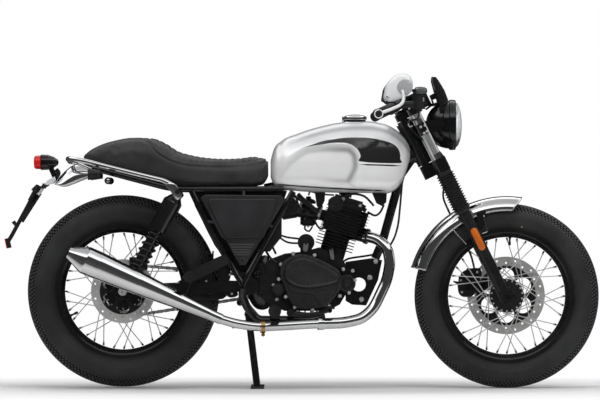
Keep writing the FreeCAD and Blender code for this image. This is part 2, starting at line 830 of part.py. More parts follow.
right = one_side()
left = [flip(s) for s in right]
stand_pin = rod(
    (num("stand_pivot_x"), -fy - 2, num("stand_pivot_z")),
    (num("stand_pivot_x"), fy + 2, num("stand_pivot_z")), 7
)
side_pivot = (-24, 158, 224)
side_pin = rod((side_pivot[0], fy + 2, side_pivot[2]), (side_pivot[0], 169, side_pivot[2]), 6)
side_lug = Part.makeBox(30, 38, 22, V(side_pivot[0] - 15, 108, side_pivot[2] - 8))
pivot_pin = rod((num("pivot_x"), -132, num("pivot_z")), (num("pivot_x"), 132, num("pivot_z")), 8)
sides = right[0].multiFuse(right[1:] + left + [stand_pin, pivot_pin, side_pin, side_lug])
sides = sides.cut(frame_rails.Shape).cut(frame_spine.Shape)
frame_sides = shaped("frame_sides", sides)

# Swingarm: pivot tube, cross tube, two arms and the shock lugs.
arm_in = num("arm_inner")
arm_w = num("arm_width")
arm_h = num("arm_height")
px, pz = num("pivot_x"), num("pivot_z")
ax, az = rear_plane


def arm(y0):
    along = (V(ax, 0, az) - V(px, 0, pz)).normalize()
    up = V(-along.z, 0, along.x)
    if up.z < 0:
        up = -up
    corners = [
        V(px, y0, pz) - up * 15,
        V(px, y0, pz) + up * 15,
        V(px, y0, pz) + along * 90 + up * (arm_h / 2),
        V(ax, y0, az) + along * 20 + up * (arm_h / 2),
        V(ax, y0, az) + along * 34 + up * 10,
        V(ax, y0, az) + along * 34 - up * 10,
        V(ax, y0, az) + along * 20 - up * (arm_h / 2),
        V(px, y0, pz) + along * 90 - up * (arm_h / 2),
    ]
    return Part.Face(Part.makePolygon(corners + corners[:1])).extrude(V(0, arm_w, 0))


def shock_lug(y0):
    corners = [(-606, 345), (-598, 398), (-570, 398), (-552, 345)]
    points = [V(x, y0, z) for x, z in corners]
    return Part.Face(Part.makePolygon(points + points[:1])).extrude(V(0, 8, 0))


low_pin = (num("shock_low_x"), num("shock_low_z"))
swing_parts = [
    arm(arm_in),
    arm(-arm_in - arm_w),
    rod((px, -arm_in - 18, pz), (px, arm_in + 18, pz), 17),
    rod((px - 62, -arm_in - 2, pz - 2), (px - 62, arm_in + 2, pz - 2), 13),
    shock_lug(arm_in + arm_w - 8),
    shock_lug(-arm_in - arm_w),
    rod((low_pin[0], arm_in + arm_w - 2, low_pin[1]), (low_pin[0], 150, low_pin[1]), 6),
    rod((low_pin[0], -150, low_pin[1]), (low_pin[0], -arm_in - arm_w + 2, low_pin[1]), 6),
]
axle_hole = rod((ax, -200, az), (ax, 200, az), num("axle_radius") + 0.1)
pivot_hole = rod((px, -200, pz), (px, 200, pz), 8.1)
swing_shape = swing_parts[0].multiFuse(swing_parts[1:]).cut(axle_hole).cut(pivot_hole)
swingarm = shaped("swingarm", swing_shape.cut(frame_sides.Shape))

axle_reach = 124
rear_axle_rod = cylinder(
    "rear_axle_rod", S["axle_radius"], 2 * axle_reach,
    (rear_axle[0], axle_reach, rear_axle[2]), V(1, 0, 0), 90
)
rear_nuts = []
for side in (-1, 1):
    y = side * 111.2 if side > 0 else -123.2
    nut = shaped(
        "rear_nut_left" if side > 0 else "rear_nut_right",
        Part.makeCylinder(15, 12, V(ax, y, az), V(0, 1, 0)),
    )
    rear_nuts.append(nut)
rear_axle_part = fuse("rear_axle", [rear_axle_rod] + rear_nuts)


# Rear shocks, from the lower eye up.
def shock(y):
    top = V(num("shock_top_x"), y, num("shock_top_z"))
    low = V(num("shock_low_x"), y, num("shock_low_z"))
    along = (top - low).normalize()
    span = (top - low).Length
    eyes = []
    for point in (top, low):
        eye = Part.makeCylinder(13, 22, point - V(0, 11, 0), V(0, 1, 0))
        eyes.append(eye.cut(Part.makeCylinder(6.1, 40, point - V(0, 20, 0), V(0, 1, 0))))
    damper = rod(low + along * 11, low + along * (span - 60), 18.8)
    seat = rod(low + along * 26, low + along * 34, 27)
    can = rod(low + along * (span - 150), low + along * (span - 40), 31)
    neck = Part.makeCone(31, 12, 28, low + along * (span - 40), along)
    coils = int(num("spring_coils"))
    wire = num("spring_wire")
    first, last = 34.2 + wire, span - 150.2 - wire
    rings = []
    for i in range(coils):
        middle = first + (last - first) * i / (coils - 1)
        points = []
        for k in range(8):
            angle = math.radians(45 * k + 22.5)
            points.append(V(19 + wire + wire * math.cos(angle), 0, middle + wire * math.sin(angle)))
        ring = Part.Face(Part.makePolygon(points + points[:1])).revolve(V(0, 0, 0), V(0, 0, 1), 360)
        ring.Placement = FreeCAD.Placement(low, FreeCAD.Rotation(V(0, 0, 1), along))
        rings.append(ring)
    return [eyes[0].multiFuse([eyes[1], damper, seat, can, neck]), Part.makeCompound(rings)]


shock_pieces = shock(-num("shock_y")) + shock(num("shock_y"))
rear_shocks = shaped("rear_shocks", Part.makeCompound([shock_pieces[0], shock_pieces[2]]))
shock_springs = shaped("shock_springs", Part.makeCompound([shock_pieces[1], shock_pieces[3]]))

# Engine plates between the down tube and the crankcase.
plate_points = [(150, 434), (241, 447), (276, 440), (262, 372), (221, 284), (172, 287), (150, 300)]
engine_plates = []
for name, y in (("engine_plate_right", -22), ("engine_plate_left", 22)):
    blank = plate(name + "_blank", plate_points, 6, y)
    window = cylinder(name + "_window", 24, 40, (196, y + 20, 356), V(1, 0, 0), 90)
    engine_plates.append(cut(name, blank, window))
plates_pair = compound("engine_plates", engine_plates)

# Engine.
case_points = [
    (-146, 400), (-146, 318), (-118, 290), (-60, 266), (88, 266), (130, 288), (149.8, 322),
    (149.8, 428), (132, 452),
    (60, 484), (10, 470), (-60, 462), (-118, 440),
]
case_block = plate("crankcase_block", case_points, S["case_half_width"] * 2)
sump = []
for i in range(7):
    x = -52 + 20 * i
    rib_size = (5, S["case_half_width"] * 1.5, 14)
    sump.append(box(f"sump_rib_{i}", rib_size, (x, -S["case_half_width"] * 0.75, 256)))
guard_in = S["case_half_width"] + 23
shaft_end = guard_in - S["running_gap"]
shaft = cylinder("output_shaft", 9, 24, (S["gearbox_x"], shaft_end, S["gearbox_z"]), V(1, 0, 0), 90)
small_plane = (num("gearbox_x"), num("gearbox_z"))
small_toothed = shaped(
    "front_sprocket", sprocket("front_sprocket", small_plane, S["front_sprocket_radius"], num("chain_y"), 8)
)
starter_motor = shaped("starter_motor", rod((14, -38, 501), (14, 52, 501), 29))
starter_seat = box("starter_seat", (40, 60, 30), (-6, -20, 462))
crankcase = fuse("crankcase", [case_block] + sump + [shaft, small_toothed, starter_motor, starter_seat])

lean = S["cylinder_lean"]



def fin(name, height):
    """One cooling fin, square to the cylinder, with rounded corners."""
    reach, half, corner = S["fin_reach"], S["fin_half_width"], S["fin_corner"]
    outline = [
        (reach - corner, -half, corner, -1), (reach, corner - half), (reach, half - corner, corner, -1),
        (reach - corner, half), (corner - reach, half, corner, -1), (-reach, half - corner),
        (-reach, corner - half, corner, -1), (corner - reach, -half),
    ]
    body = new_body(name)
    pad = body.newObject("PartDesign::Pad", name + "_pad")
    pad.Profile = sketch_in(body, name + "_outline", "XY_Plane", outline)
    bind(pad, "Length", S["fin_wall"])
    return place(body, (0, 0, height))


barrel_pieces = [cylinder("barrel_core", S["barrel_radius"], S["barrel_height"], (0, 0, 0))]
for i in range(int(num("fin_count"))):
    barrel_pieces.append(fin(f"barrel_fin_{i}", S["fin_pitch"] * i + 32))
barrel_local = fuse("barrel_local", barrel_pieces)
place(barrel_local, (S["cylinder_x"], 0, S["cylinder_z"]), V(0, 1, 0), lean)
barrel = cut("cylinder_barrel", barrel_local, crankcase)

head_pieces = [box("head_core", (112, 104, 108), (-56, -52, S["barrel_height"]))]
for i in range(int(num("head_fin_count"))):
    head_pieces.append(fin(f"head_fin_{i}", S["barrel_height"] + S["fin_pitch"] * i + 3))
head_pieces.append(box("rocker_cover", (96, 84, 22), (-48, -42, 190)))
head_pieces.append(box("head_lug", (30, 31.6, 26), (-30, -15.8, 205)))
head_local = fuse("head_local", head_pieces)
place(head_local, (S["cylinder_x"], 0, S["cylinder_z"]), V(0, 1, 0), lean)
exhaust_port = shaped("exhaust_port", rod((160, -12, 539), (226, -24, 522), 24))
intake_port = shaped("intake_port", rod((110, 0, 588), (56, 0, 598), 19))
cylinder_head = cut("cylinder_head", fuse("head_ported", [head_local, exhaust_port, intake_port]), barrel)


def soft_slab(name, points, y0, y1, radius):
    """A cover with its outline in the side view and its outer edge rounded."""
    near = [V(x, y0, z) for x, z in points]
    slab = Part.Face(Part.makePolygon(near + near[:1])).extrude(V(0, y1 - y0, 0))
    rim = [e for e in slab.Edges if abs(e.BoundBox.YMin - y1) < 0.01 and abs(e.BoundBox.YMax - y1) < 0.01]
    return slab.makeFillet(radius, rim)


case_w = num("case_half_width")
cover_points = [
    (-69, 434), (-41, 454), (10, 461), (62, 444), (121, 406), (134, 385), (124, 354), (97, 303),
    (69, 278), (-7, 275),
    (-48, 303), (-65, 337), (-72, 399),
]
cover_right_shape = soft_slab("cover_right", cover_points, -case_w, -case_w - 40, 9)
cover_face = -case_w - 40


def arc_through(a, b, c):
    return Part.Arc(V(a[0], 0, a[1]), V(b[0], 0, b[1]), V(c[0], 0, c[1])).toShape()


def clutch_panel(depth):
    """The raised teardrop on the clutch cover: four arcs, the last a tight one round its nose."""
    edges = [
        arc_through((-41, 363), (-54, 412), (-8, 450)),
        arc_through((-8, 450), (60, 427), (112, 384)),
        arc_through((112, 384), (115, 371), (104, 363)),
        arc_through((104, 363), (32, 352), (-41, 363)),
    ]
    panel = Part.Face(Part.Wire(edges)).extrude(V(0, -depth, 0))
    panel.translate(V(0, cover_face + 1, 0))
    rim = [e for e in panel.Edges if e.BoundBox.YMax < cover_face + 1 - depth + 0.01]
    return panel.makeFillet(2.5, rim)


def round_cap(x, z, radius, outer, depth):
    """A round cover on the right of the engine, with its edge eased."""
    cap = Part.makeCylinder(radius, depth, V(x, outer, z), V(0, 1, 0))
    return cap.makeFillet(3, [e for e in cap.Edges if e.BoundBox.YMax < outer + 0.01])


pump_bulge = round_cap(66, 309, 27, cover_face - 6, 30)
generator_cap = round_cap(151, 361, 34, -case_w - 22, 30)
gear_cap = round_cap(-83, 340, 20, -case_w - 16, 24)
cover_right_parts = [clutch_panel(8), pump_bulge, generator_cap, gear_cap]
cover_right_whole = cover_right_shape.multiFuse(cover_right_parts).removeSplitter()
cover_right = cut("cover_right", shaped("cover_right_whole", cover_right_whole), crankcase)
left_points = [
    (-30, 430), (20, 446), (70, 440), (116, 404), (128, 372), (118, 330), (84, 292), (30, 282),
    (-26, 300), (-44, 350),
    (-44, 400),
]
cover_left_shape = soft_slab("cover_left", left_points, case_w, case_w + 34, 9)
guard_corners = [(-146, 376), (-134, 402), (-36, 402), (-36, 306), (-134, 306), (-146, 330)]
guard_outline = [V(x, guard_in.value, z) for x, z in guard_corners]
sprocket_guard = Part.Face(Part.makePolygon(guard_outline + guard_outline[:1])).extrude(V(0, 7, 0))
cover_left = shaped("cover_left", cover_left_shape.fuse(sprocket_guard))

# Intake and airbox.
carb_body = rod((55.7, 0, 598), (-22, 0, 612), 22)
carb_bowl = Part.makeCylinder(20, 42, V(14, 0, 562))
carb_top = Part.makeCylinder(16, 40, V(12, 0, 612))
intake_hose = rod((-22, 0, 612), (-70, 0, 604), 26)
carburettor = shaped("carburettor", carb_body.multiFuse([carb_bowl, carb_top]).cut(intake_hose))
box_corners = [(-278, 470), (-278, 655), (-90, 655), (-70, 640), (-70, 520), (-110, 470)]
box_outline = [V(x, -70, z) for x, z in box_corners]
airbox_shape = Part.Face(Part.makePolygon(box_outline + box_outline[:1])).extrude(V(0, 140, 0))
airbox = shaped("airbox", airbox_shape.multiFuse([intake_hose.cut(carb_body)]).removeSplitter())

# Exhaust: header, pipe under the engine, and a silencer that swells and then closes to its outlet.
header_path = [
    (214, -23, 524), (262, -42, 512), (293, -58, 482), (303, -66, 434), (292, -74, 372), (246, -94, 276),
    (205, -112, 240), (141, -137, 226), (62, -150, 224),
]
link_path = [
    (86, -146, 224.6), (28, -155, 222.5), (-60, -163, 217),
    (-152, -167, 213), (-230, -172, 225), (-276, -176, 239),
]
header = tube(header_path, num("header_radius"), 0.42)
link_pipe = tube(link_path, num("link_radius"), 0.42)
collar = Part.makeCylinder(27, 8, V(219, -23.6, 523), V(38, -17, -10))
clamp_ring = rod((-126, -166, 214), (-144, -167, 213), 20)
joint_ring = rod((74, -148, 224.3), (54, -151.3, 223.8), 22)
exhaust_pipe_body = shaped("exhaust_pipe_body", header.multiFuse([link_pipe, collar, clamp_ring, joint_ring]))
exhaust_pipe = cut("exhaust_pipe", exhaust_pipe_body, cylinder_head)

muffler_start = V(-276, -176, 239)
muffler_end = V(-796, -213, 467)
muffler_axis = (muffler_end - muffler_start).normalize()
muffler_scale = num("silencer_radius") / 48
muffler_profile = [
    (0, 18.5), (45, 19.5), (158, 28.5), (308, 40.5), (458, 47.6), (507, 48), (513, 46), (568, 20), (571, 19),
]
outline = [V(r * muffler_scale if 0 < d < 571 else r, 0, d) for d, r in muffler_profile]
outline += [V(p.x - 2.4, 0, p.z) for p in outline[::-1]]
outline.append(outline[0])
muffler_face = Part.Face(Part.makePolygon(outline))
muffler = muffler_face.revolve(V(0, 0, 0), V(0, 0, 1), 360)
muffler.Placement = FreeCAD.Placement(muffler_start, FreeCAD.Rotation(V(0, 0, 1), muffler_axis))
hanger_outline = [V(-402, -140, 396), V(-376, -140, 372), V(-404, -140, 318), V(-436, -140, 330)]
hanger = Part.Face(Part.makePolygon(hanger_outline + hanger_outline[:1])).extrude(V(0, 6, 0))
hanger_foot = box("silencer_hanger_foot", (26, 32, 6), (-438, -166, 322))
silencer_body = shaped("silencer_body", muffler.fuse(hanger))
silencer_raw = fuse("silencer_raw", [silencer_body, hanger_foot])
silencer = cut("silencer", silencer_raw, exhaust_pipe)


# Tank and seat: lofts through cross sections set out along the machine.
def section(x, low, high, half, top_power, low_power, waist, count=40):
    """A closed cross section whose widest line is waist of the way up."""
    middle = low + (high - low) * waist
    points = []
    for i in range(count):
        t = 2 * math.pi * i / count
        c, s = math.cos(t), math.sin(t)
        power = top_power if s >= 0 else low_power
        y = half * math.copysign(abs(c) ** (2 / power), c)
        rise = (high - middle) if s >= 0 else (middle - low)
        z = middle + rise * math.copysign(abs(s) ** (2 / power), s)
        points.append(V(x, y, z))
    curve = Part.BSplineCurve()
    curve.interpolate(points, PeriodicFlag=True)
    return Part.Wire(curve.toShape())


widest = num("tank_half_width") / 134
top_shift = num("tank_top") - 919
base = num("tank_base")
tank_stations = [
    (-108, 722, 790, 66), (-98, 700, 820, 84), (-70, 685, 851, 101), (-20, 678, 874, 117),
    (50, 674, 897, 129),
    (130, 672, 914, 134), (200, base, 919, 133), (262, base, 914, 124), (308, 674, 899, 109),
    (338, 700, 878, 92),
    (360, 748, 853, 70), (372, 788, 832, 44),
]
tank_sections = [
    section(x, low, high + top_shift, half * widest, 2.25, 3.6, 0.36) for x, low, high, half in tank_stations
]
tank_solid = Part.makeLoft(tank_sections, True, False)


def knee_tool(wall, side=1):
    """What the rider's knee takes out of the tank's flank, grown by wall for the inside of its skin."""
    corners = [
        V(-104 - wall, 0, 694 - wall), V(-92 - wall, 0, 728), V(-58, 0, 786 + wall), V(-8, 0, 826 + wall),
        V(62, 0, 848 + wall), V(124, 0, 850 + wall), V(168, 0, 832 + wall), V(189 + wall, 0, 792),
        V(190 + wall, 0, 740), V(182 + wall, 0, 694 - wall),
    ]
    edge = Part.BSplineCurve()
    edge.interpolate(corners)
    floor_line = Part.LineSegment(corners[-1], corners[0])
    face = Part.Face(Part.Wire([edge.toShape(), floor_line.toShape()]))
    tool = face.extrude(V(0, 60, 0))
    tool.translate(V(0, num("knee_half_width") - wall, 0))
    return tool if side > 0 else flip(tool)


tunnel_half = num("tunnel_half_width")
tunnel_rise = num("spine_radius") + 20
tunnel_slope = (backbone_front[2] - backbone_end[2]) / (backbone_front[0] - backbone_end[0])


def tunnel_tool(half, rise):
    """The prism that clears the backbone, half wide each way and rise above the tube's centre."""
    corners = []
    for x in (-130, 390):
        corners.append(V(x, -half, backbone_end[2] + (x - backbone_end[0]) * tunnel_slope + rise))
    outline = [V(-130, -half, 640), corners[0], corners[1], V(390, -half, 640)]
    return Part.Face(Part.makePolygon(outline + outline[:1])).extrude(V(0, 2 * half, 0))


tunnel = tunnel_tool(tunnel_half, tunnel_rise)
head_room_radius = num("head_tube_radius") + 4
head_room = rod(stem_point(head_low - 80), stem_point(head_high + 50), head_room_radius)
cap_x = 183
cap_recess = Part.makeCylinder(38.2, 40, V(cap_x, 0, 904))
skin = num("tank_skin")
inner_sections = [
    section(x, low + skin, high + top_shift - skin, half * widest - skin, 2.25, 3.6, 0.36)
    for x, low, high, half in tank_stations[1:-1]
]
tunnel_wall = tunnel_tool(tunnel_half + skin, tunnel_rise + skin * 1.1)
head_wall = rod(stem_point(head_low - 80), stem_point(head_high + 50), head_room_radius + skin)
tank_room = Part.makeLoft(inner_sections, True, False).cut(tunnel_wall).cut(head_wall)
filler_neck = Part.makeCylinder(30, 60, V(cap_x, 0, 860))
for tool in (knee_tool(0), knee_tool(0, -1)):
    tank_solid = tank_solid.cut(tool)
for tool in (knee_tool(skin), knee_tool(skin, -1)):
    tank_room = tank_room.cut(tool)
tank_shell = tank_solid.cut(tunnel).cut(head_room).cut(tank_room).cut(filler_neck)
tank_ring = Part.makeCylinder(42, 60, V(cap_x, 0, 892)).common(tank_solid).cut(filler_neck)
tank = shaped("tank", tank_shell.fuse(tank_ring).cut(cap_recess))
cap_points = [(0, 904.2), (38, 904.2), (38, 921), (41, 922), (41, 928), (30, 938), (0, 942)]
filler_cap = turned("filler_cap", cap_points, "XZ_Plane")
place(filler_cap, (cap_x, 0, 0))

seat_stations = [
    (-113, 727, 782, 62), (-124, 709, 793, 76), (-150, 698, 796, 90), (-214, 691.5, 787, 101),
    (-300, 691.2, 786, 110), (-380, 692, 797, 117), (-430, 696.5, 812, 119), (-470, 705, 838, 120),
    (-510, 714, 855, 119),
    (-576, 732, 859, 116), (-640, 750, 854, 107), (-700, 769, 840, 88), (-740, 779, 820, 60),
    (-758, 784, 806, 34),
]
seat_scale = num("seat_half_width") / 120
seat_sections = [
    section(x, low, high, half * seat_scale, 2.7, 4.2, 0.42) for x, low, high, half in seat_stations
]
seat = shaped("seat", Part.makeLoft(seat_sections, True, False).cut(rails).cut(tank_solid))

# Side covers against the side tubes.
cover_outer = fy + num("tube_radius") + 0.3
upper_outline = [
    (-348, 654), (-331, 666), (-72, 663), (-59, 644), (-138, 513), (-150, 496), (-193, 424),
    (-214, 424), (-262, 510),
    (-276, 518),
]
raised_outline = [(-317, 633), (-317, 647), (-93, 647), (-86, 637), (-131, 518), (-238, 522), (-258, 531)]


def side_cover():
    outer = soft_slab("outer", upper_outline, -cover_outer, -cover_outer - 8, 4)
    panel = soft_slab("panel", raised_outline, -cover_outer - 7, -cover_outer - 12, 2.5)
    inside = -cover_outer - 2
    front_tab = rod((-118, inside, 560), (-100, -fy - 4, 556), 5)
    rear_tab = rod((-300, inside, 570), (-327, -fy - 4, 574), 5)
    top_tab = rod((-200, inside, 658), (-200, -num("rail_y") - 8, num("rail_z") - 8), 5)
    return outer.multiFuse([panel, front_tab, rear_tab, top_tab]).cut(sides).cut(rails)


cover_shape = side_cover()
side_covers = shaped("side_covers", Part.makeCompound([cover_shape, flip(cover_shape)]))

# Grab rail, tail lamp, tail guard and the bracket behind it.
rail_points = [
    (-426, -150, 676), (-446, -146, 699), (-472, -139, 713), (-620, -127, 749), (-765, -112, 785),
    (-803, -78, 788),
    (-806, 0, 788), (-803, 78, 788), (-765, 112, 785), (-620, 127, 749), (-472, 139, 713), (-446, 146, 699),
    (-426, 150, 676),
]
rail_struts = [rod((-720, s * 60, 752), (-803, s * 70, 786), 6) for s in (-1, 1)]
eye_x, eye_z = num("shock_top_x"), num("shock_top_z")
eye_rooms = [rod((eye_x, s * 100, eye_z), (eye_x, s * (num("shock_y") + 11.3), eye_z), 13.3) for s in (-1, 1)]
grab_shape = tube(rail_points, num("rail_tube_radius"), 0.4).multiFuse(rail_struts).cut(rails)
for room in eye_rooms:
    grab_shape = grab_shape.cut(room)
grab_rail = shaped("grab_rail", grab_shape)


def arc_sheet(cx, cz, radius, start, end, half, depth, wall):
    """A curved guard: a thin crown with turned down edges, over an arc of degrees from ahead."""
    shell = [
        V(radius - depth, -half, 0), V(radius - 10, -half, 0), V(radius, -half + 14, 0),
        V(radius, half - 14, 0),
        V(radius - 10, half, 0), V(radius - depth, half, 0), V(radius - depth, half - wall, 0),
        V(radius - 10 - wall * 0.4, half - wall, 0), V(radius - wall, half - 14 - wall * 0.4, 0),
        V(radius - wall, -half + 14 + wall * 0.4, 0), V(radius - 10 - wall * 0.4, -half + wall, 0),
        V(radius - depth, -half + wall, 0),
    ]
    face = Part.Face(Part.makePolygon(shell + shell[:1]))
    face.rotate(V(0, 0, 0), V(0, 1, 0), -start)
    body = face.revolve(V(0, 0, 0), V(0, -1, 0), end - start)
    body.translate(V(cx, 0, cz))
    return body


tail_guard = arc_sheet(-737, 588, 181, 96, 141, 58, 44, 2)
tail_mount = Part.makeBox(38, 60, 8, V(-770, -30, 758))
tail_inside = Part.makeCylinder(181.2, 120, V(-737, -60, 588), V(0, 1, 0))
tail_bracket_shape = tail_guard.fuse(tail_mount).cut(rails)
tail_guard_part = shaped("tail_guard", tail_bracket_shape.cut(grab_shape))
stalk_path = [(-874, 0, 703), (-896, 0, 690), (-918, 0, 678), (-968, 0, 584), (-1003, 0, 520), (-1016, 0, 500)]
stalk = tube(stalk_path, 7, 0.3)
holder = Part.makeBox(8, 150, 60, V(0, -75, -30))
holder.Placement = FreeCAD.Placement(V(-928, 0, 674), FreeCAD.Rotation(V(0, 1, 0), 28))
plate_holes = [
    Part.makeCylinder(3.2, 60, V(-924 - 20 * 0.8829, y, 674 + 20 * 0.4695), V(0.8829, 0, -0.4695))
    for y in (-55, 55)
]
lamp_stalk = rod((-848, 0, 718), (-868, 0, 764), 9)
bracket_shape = stalk.multiFuse([holder]).cut(Part.makeCompound(plate_holes))
reflector_slot = Part.makeBox(9, 60, 34, V(0, -30, -17))
reflector_slot.Placement = FreeCAD.Placement(V(-1021, 0, 497), FreeCAD.Rotation(V(0, 1, 0), -12))
lamp_steps = [(0.01, 0), (24, 0), (27, 3), (26, 26), (19, 46), (9, 60), (0.01, 63)]
lamp_profile = [V(radius, 0, along) for radius, along in lamp_steps]
lamp_face = Part.Face(Part.makePolygon(lamp_profile + lamp_profile[:1]))
lamp_body = lamp_face.revolve(V(0, 0, 0), V(0, 0, 1), 360)
lamp_body.Placement = FreeCAD.Placement(V(-901, 0, 777), FreeCAD.Rotation(V(0, 1, 0), 90))
tail_bracket = shaped("tail_bracket", bracket_shape.cut(tail_guard).cut(lamp_body).cut(reflector_slot))
tail_lamp = shaped("tail_lamp", lamp_body.fuse(lamp_stalk.cut(tail_inside)))
lens_profile = [V(0.01, 0, 0), V(24, 0, 0), V(23, 0, 16), V(18, 0, 22), V(0.01, 0, 23.5)]
lens_face = Part.Face(Part.makePolygon(lens_profile + lens_profile[:1]))
lens_body = lens_face.revolve(V(0, 0, 0), V(0, 0, 1), 360)
lens_body.Placement = FreeCAD.Placement(V(-901, 0, 777), FreeCAD.Rotation(V(0, 1, 0), -90))
tail_lens = shaped("tail_lens", Part.makeCompound([lens_body, reflector_slot]))

indicator_parts = []
for side in (-1, 1):
    stem_z = rail_tail[2] - num("tube_radius") - 6
    stem = rod((rail_tail[0], side * 66, stem_z), (rail_tail[0], side * 146, stem_z), 6)
    bowl = Part.makeCone(20, 14, 42, V(rail_tail[0] - 21, side * 160, stem_z - 4), V(1, 0, 0))
    indicator_parts.append(stem.fuse(bowl).cut(rails))
rear_indicators = shaped("rear_indicators", Part.makeCompound(indicator_parts))

# Footrests, brake and gear pedals.
peg_parts = []
for side in (-1, 1):
    mount = Part.makeBox(34, 60, 34, V(-110, -30 + side * 118, 240))
    peg = rod((-93, side * 148, 268), (-93, side * 252, 268), 15)
    end = rod((-93, side * 246, 268), (-93, side * 254, 268), 22)
    peg_parts.append(mount.multiFuse([peg, end]).cut(sides))
    bracket_outline = [
        (-246, 430), (-262, 462), (-300, 446), (-402, 398), (-402, 372), (-372, 366),
    ]
    points = [V(x, side * 126 - 3, z) for x, z in bracket_outline]
    bracket = Part.Face(Part.makePolygon(points + points[:1])).extrude(V(0, 6, 0))
    spacer = rod((-258, side * 104, 440), (-258, side * 126, 440), 9)
    pillion = rod((-386, side * 126, 385), (-386, side * 222, 385), 13)
    pillion_end = rod((-386, side * 216, 385), (-386, side * 224, 385), 19)
    peg_parts.append(bracket.multiFuse([spacer, pillion, pillion_end]).cut(sides))
footrests_shape = Part.makeCompound(peg_parts)
footrests = shaped("footrests", footrests_shape.cut(muffler.fuse(hanger)))
brake_hub_r, gear_hub_r = 13, 11
cradle_top = cradle_z + cradle_r + num("running_gap")
brake_z = cradle_top + brake_hub_r
gear_z = cradle_top + gear_hub_r
brake_path = [(-40, -128, brake_z), (10, -134, brake_z - 8), (62, -146, brake_z), (92, -172, brake_z + 14)]
brake_pedal = tube(brake_path, 7, 0.35)
brake_pad = Part.makeBox(34, 46, 10, V(78, -196, brake_z + 14))
brake_hub = rod((-40, -fy + 8, brake_z), (-40, -136, brake_z), brake_hub_r)
gear_path = [(-30, 128, gear_z), (20, 132, gear_z - 8), (78, 140, gear_z), (96, 148, gear_z + 6)]
gear_pedal = tube(gear_path, 6, 0.35)
gear_rubber = rod((96, 140, gear_z + 6), (96, 186, gear_z + 6), 9)
gear_hub = rod((-30, fy - 8, gear_z), (-30, 134, gear_z), gear_hub_r)
pedals_right = brake_pedal.multiFuse([brake_pad, brake_hub]).cut(sides)
pedals_left = gear_pedal.multiFuse([gear_rubber, gear_hub]).cut(sides)
foot_controls = shaped("foot_controls", Part.makeCompound([pedals_right, pedals_left]))

# Rear caliper on a bracket from the right arm.
caliper_angle = math.radians(58)
cx = ax + 100 * math.cos(caliper_angle)
cz = az + 100 * math.sin(caliper_angle)
caliper_block = Part.makeBox(62, 34, 44, V(cx - 31, -87, cz - 12))
slot_trim = Part.makeCylinder(num("rear_disc_radius") + 2, 6.4, V(ax, -73.2, az), V(0, 1, 0))
caliper_arm = Part.makeBox(30, 7, 70, V(cx - 15, -88.8, az + 18))
rear_caliper = shaped("rear_caliper", caliper_block.fuse(caliper_arm).cut(slot_trim).cut(swing_shape))

# Steering: everything below turns about the steering axis.
tilt = math.radians(num("rake"))
hub_x, hub_z = front_axle[0].value, front_axle[2].value


def F(forward, y, along):
    """A point of the fork: forward across it, along it upwards, both from the front axle."""
    return (
        hub_x + forward * math.cos(tilt) - along * math.sin(tilt),
        y,
        hub_z + forward * math.sin(tilt) + along * math.cos(tilt),
    )


def fork_block(forward, y, along, lengths):
    """A box square to the fork, from one of its corners."""
    block = Part.makeBox(*lengths)
    block.Placement = FreeCAD.Placement(V(*F(forward, y, along)), FreeCAD.Rotation(V(0, 1, 0), -num("rake")))
    return block


leg_f = -num("axle_lead")
stem_f = -(num("axle_lead") + num("yoke_offset"))
spread = num("fork_spread")
stanchion_r = num("stanchion_radius")

legs = []
for side in (-1, 1):
    y = side * spread
    lower = rod(F(leg_f, y, -8), F(leg_f, y, num("leg_top")), num("leg_radius"))
    seal = rod(F(leg_f, y, num("leg_top") - 34), F(leg_f, y, num("leg_top") - 14), num("leg_radius") + 2.5)
    foot = fork_block(-24, y - 21, -24, (48, 42, 48))
    legs.append(lower.multiFuse([seal, foot]))
leg_bore = rod((hub_x, -200, hub_z), (hub_x, 200, hub_z), num("axle_radius") + 0.1)
fork_lowers = shaped("fork_lowers", Part.makeCompound([s.cut(leg_bore) for s in legs]))

stanchions = []
for side in (-1, 1):
    y = side * spread
    stanchions.append(rod(F(leg_f, y, num("leg_top") + 0.2), F(leg_f, y, num("stanchion_top")), stanchion_r))
fork_tubes = shaped("fork_tubes", Part.makeCompound(stanchions))

ribs = int(num("gaiter_ribs"))
gaiter_low = num("leg_top") - 6
gaiter_high = num("lower_yoke") - 0.3
rib_pitch = (gaiter_high - gaiter_low - 16) / ribs
gaiter_profile = [
    V(num("leg_radius") + 0.2, 0, 0), V(num("gaiter_root") + 1, 0, 0), V(num("gaiter_root") + 1, 0, 8),
]
for i in range(ribs):
    z = 8 + rib_pitch * i
    gaiter_profile.append(V(num("gaiter_root"), 0, z + rib_pitch * 0.12))
    gaiter_profile.append(V(num("gaiter_radius"), 0, z + rib_pitch * 0.5))
    gaiter_profile.append(V(num("gaiter_root"), 0, z + rib_pitch * 0.88))
top = gaiter_high - gaiter_low
gaiter_profile += [
    V(num("gaiter_root"), 0, top - 8), V(num("gaiter_root"), 0, top), V(stanchion_r + 0.2, 0, top),
    V(stanchion_r + 0.2, 0, top - 8), V(num("leg_radius") + 0.2, 0, top - 12),
]
gaiter_face = Part.Face(Part.makePolygon(gaiter_profile + gaiter_profile[:1]))
gaiter_one = gaiter_face.revolve(V(0, 0, 0), V(0, 0, 1), 360)
gaiters = []
for side in (-1, 1):
    piece = gaiter_one.copy()
    piece.Placement = FreeCAD.Placement(
        V(*F(leg_f, side * spread, gaiter_low)), FreeCAD.Rotation(V(0, 1, 0), -num("rake"))
    )
    gaiters.append(piece)
fork_gaiters = shaped("fork_gaiters", Part.makeCompound(gaiters))


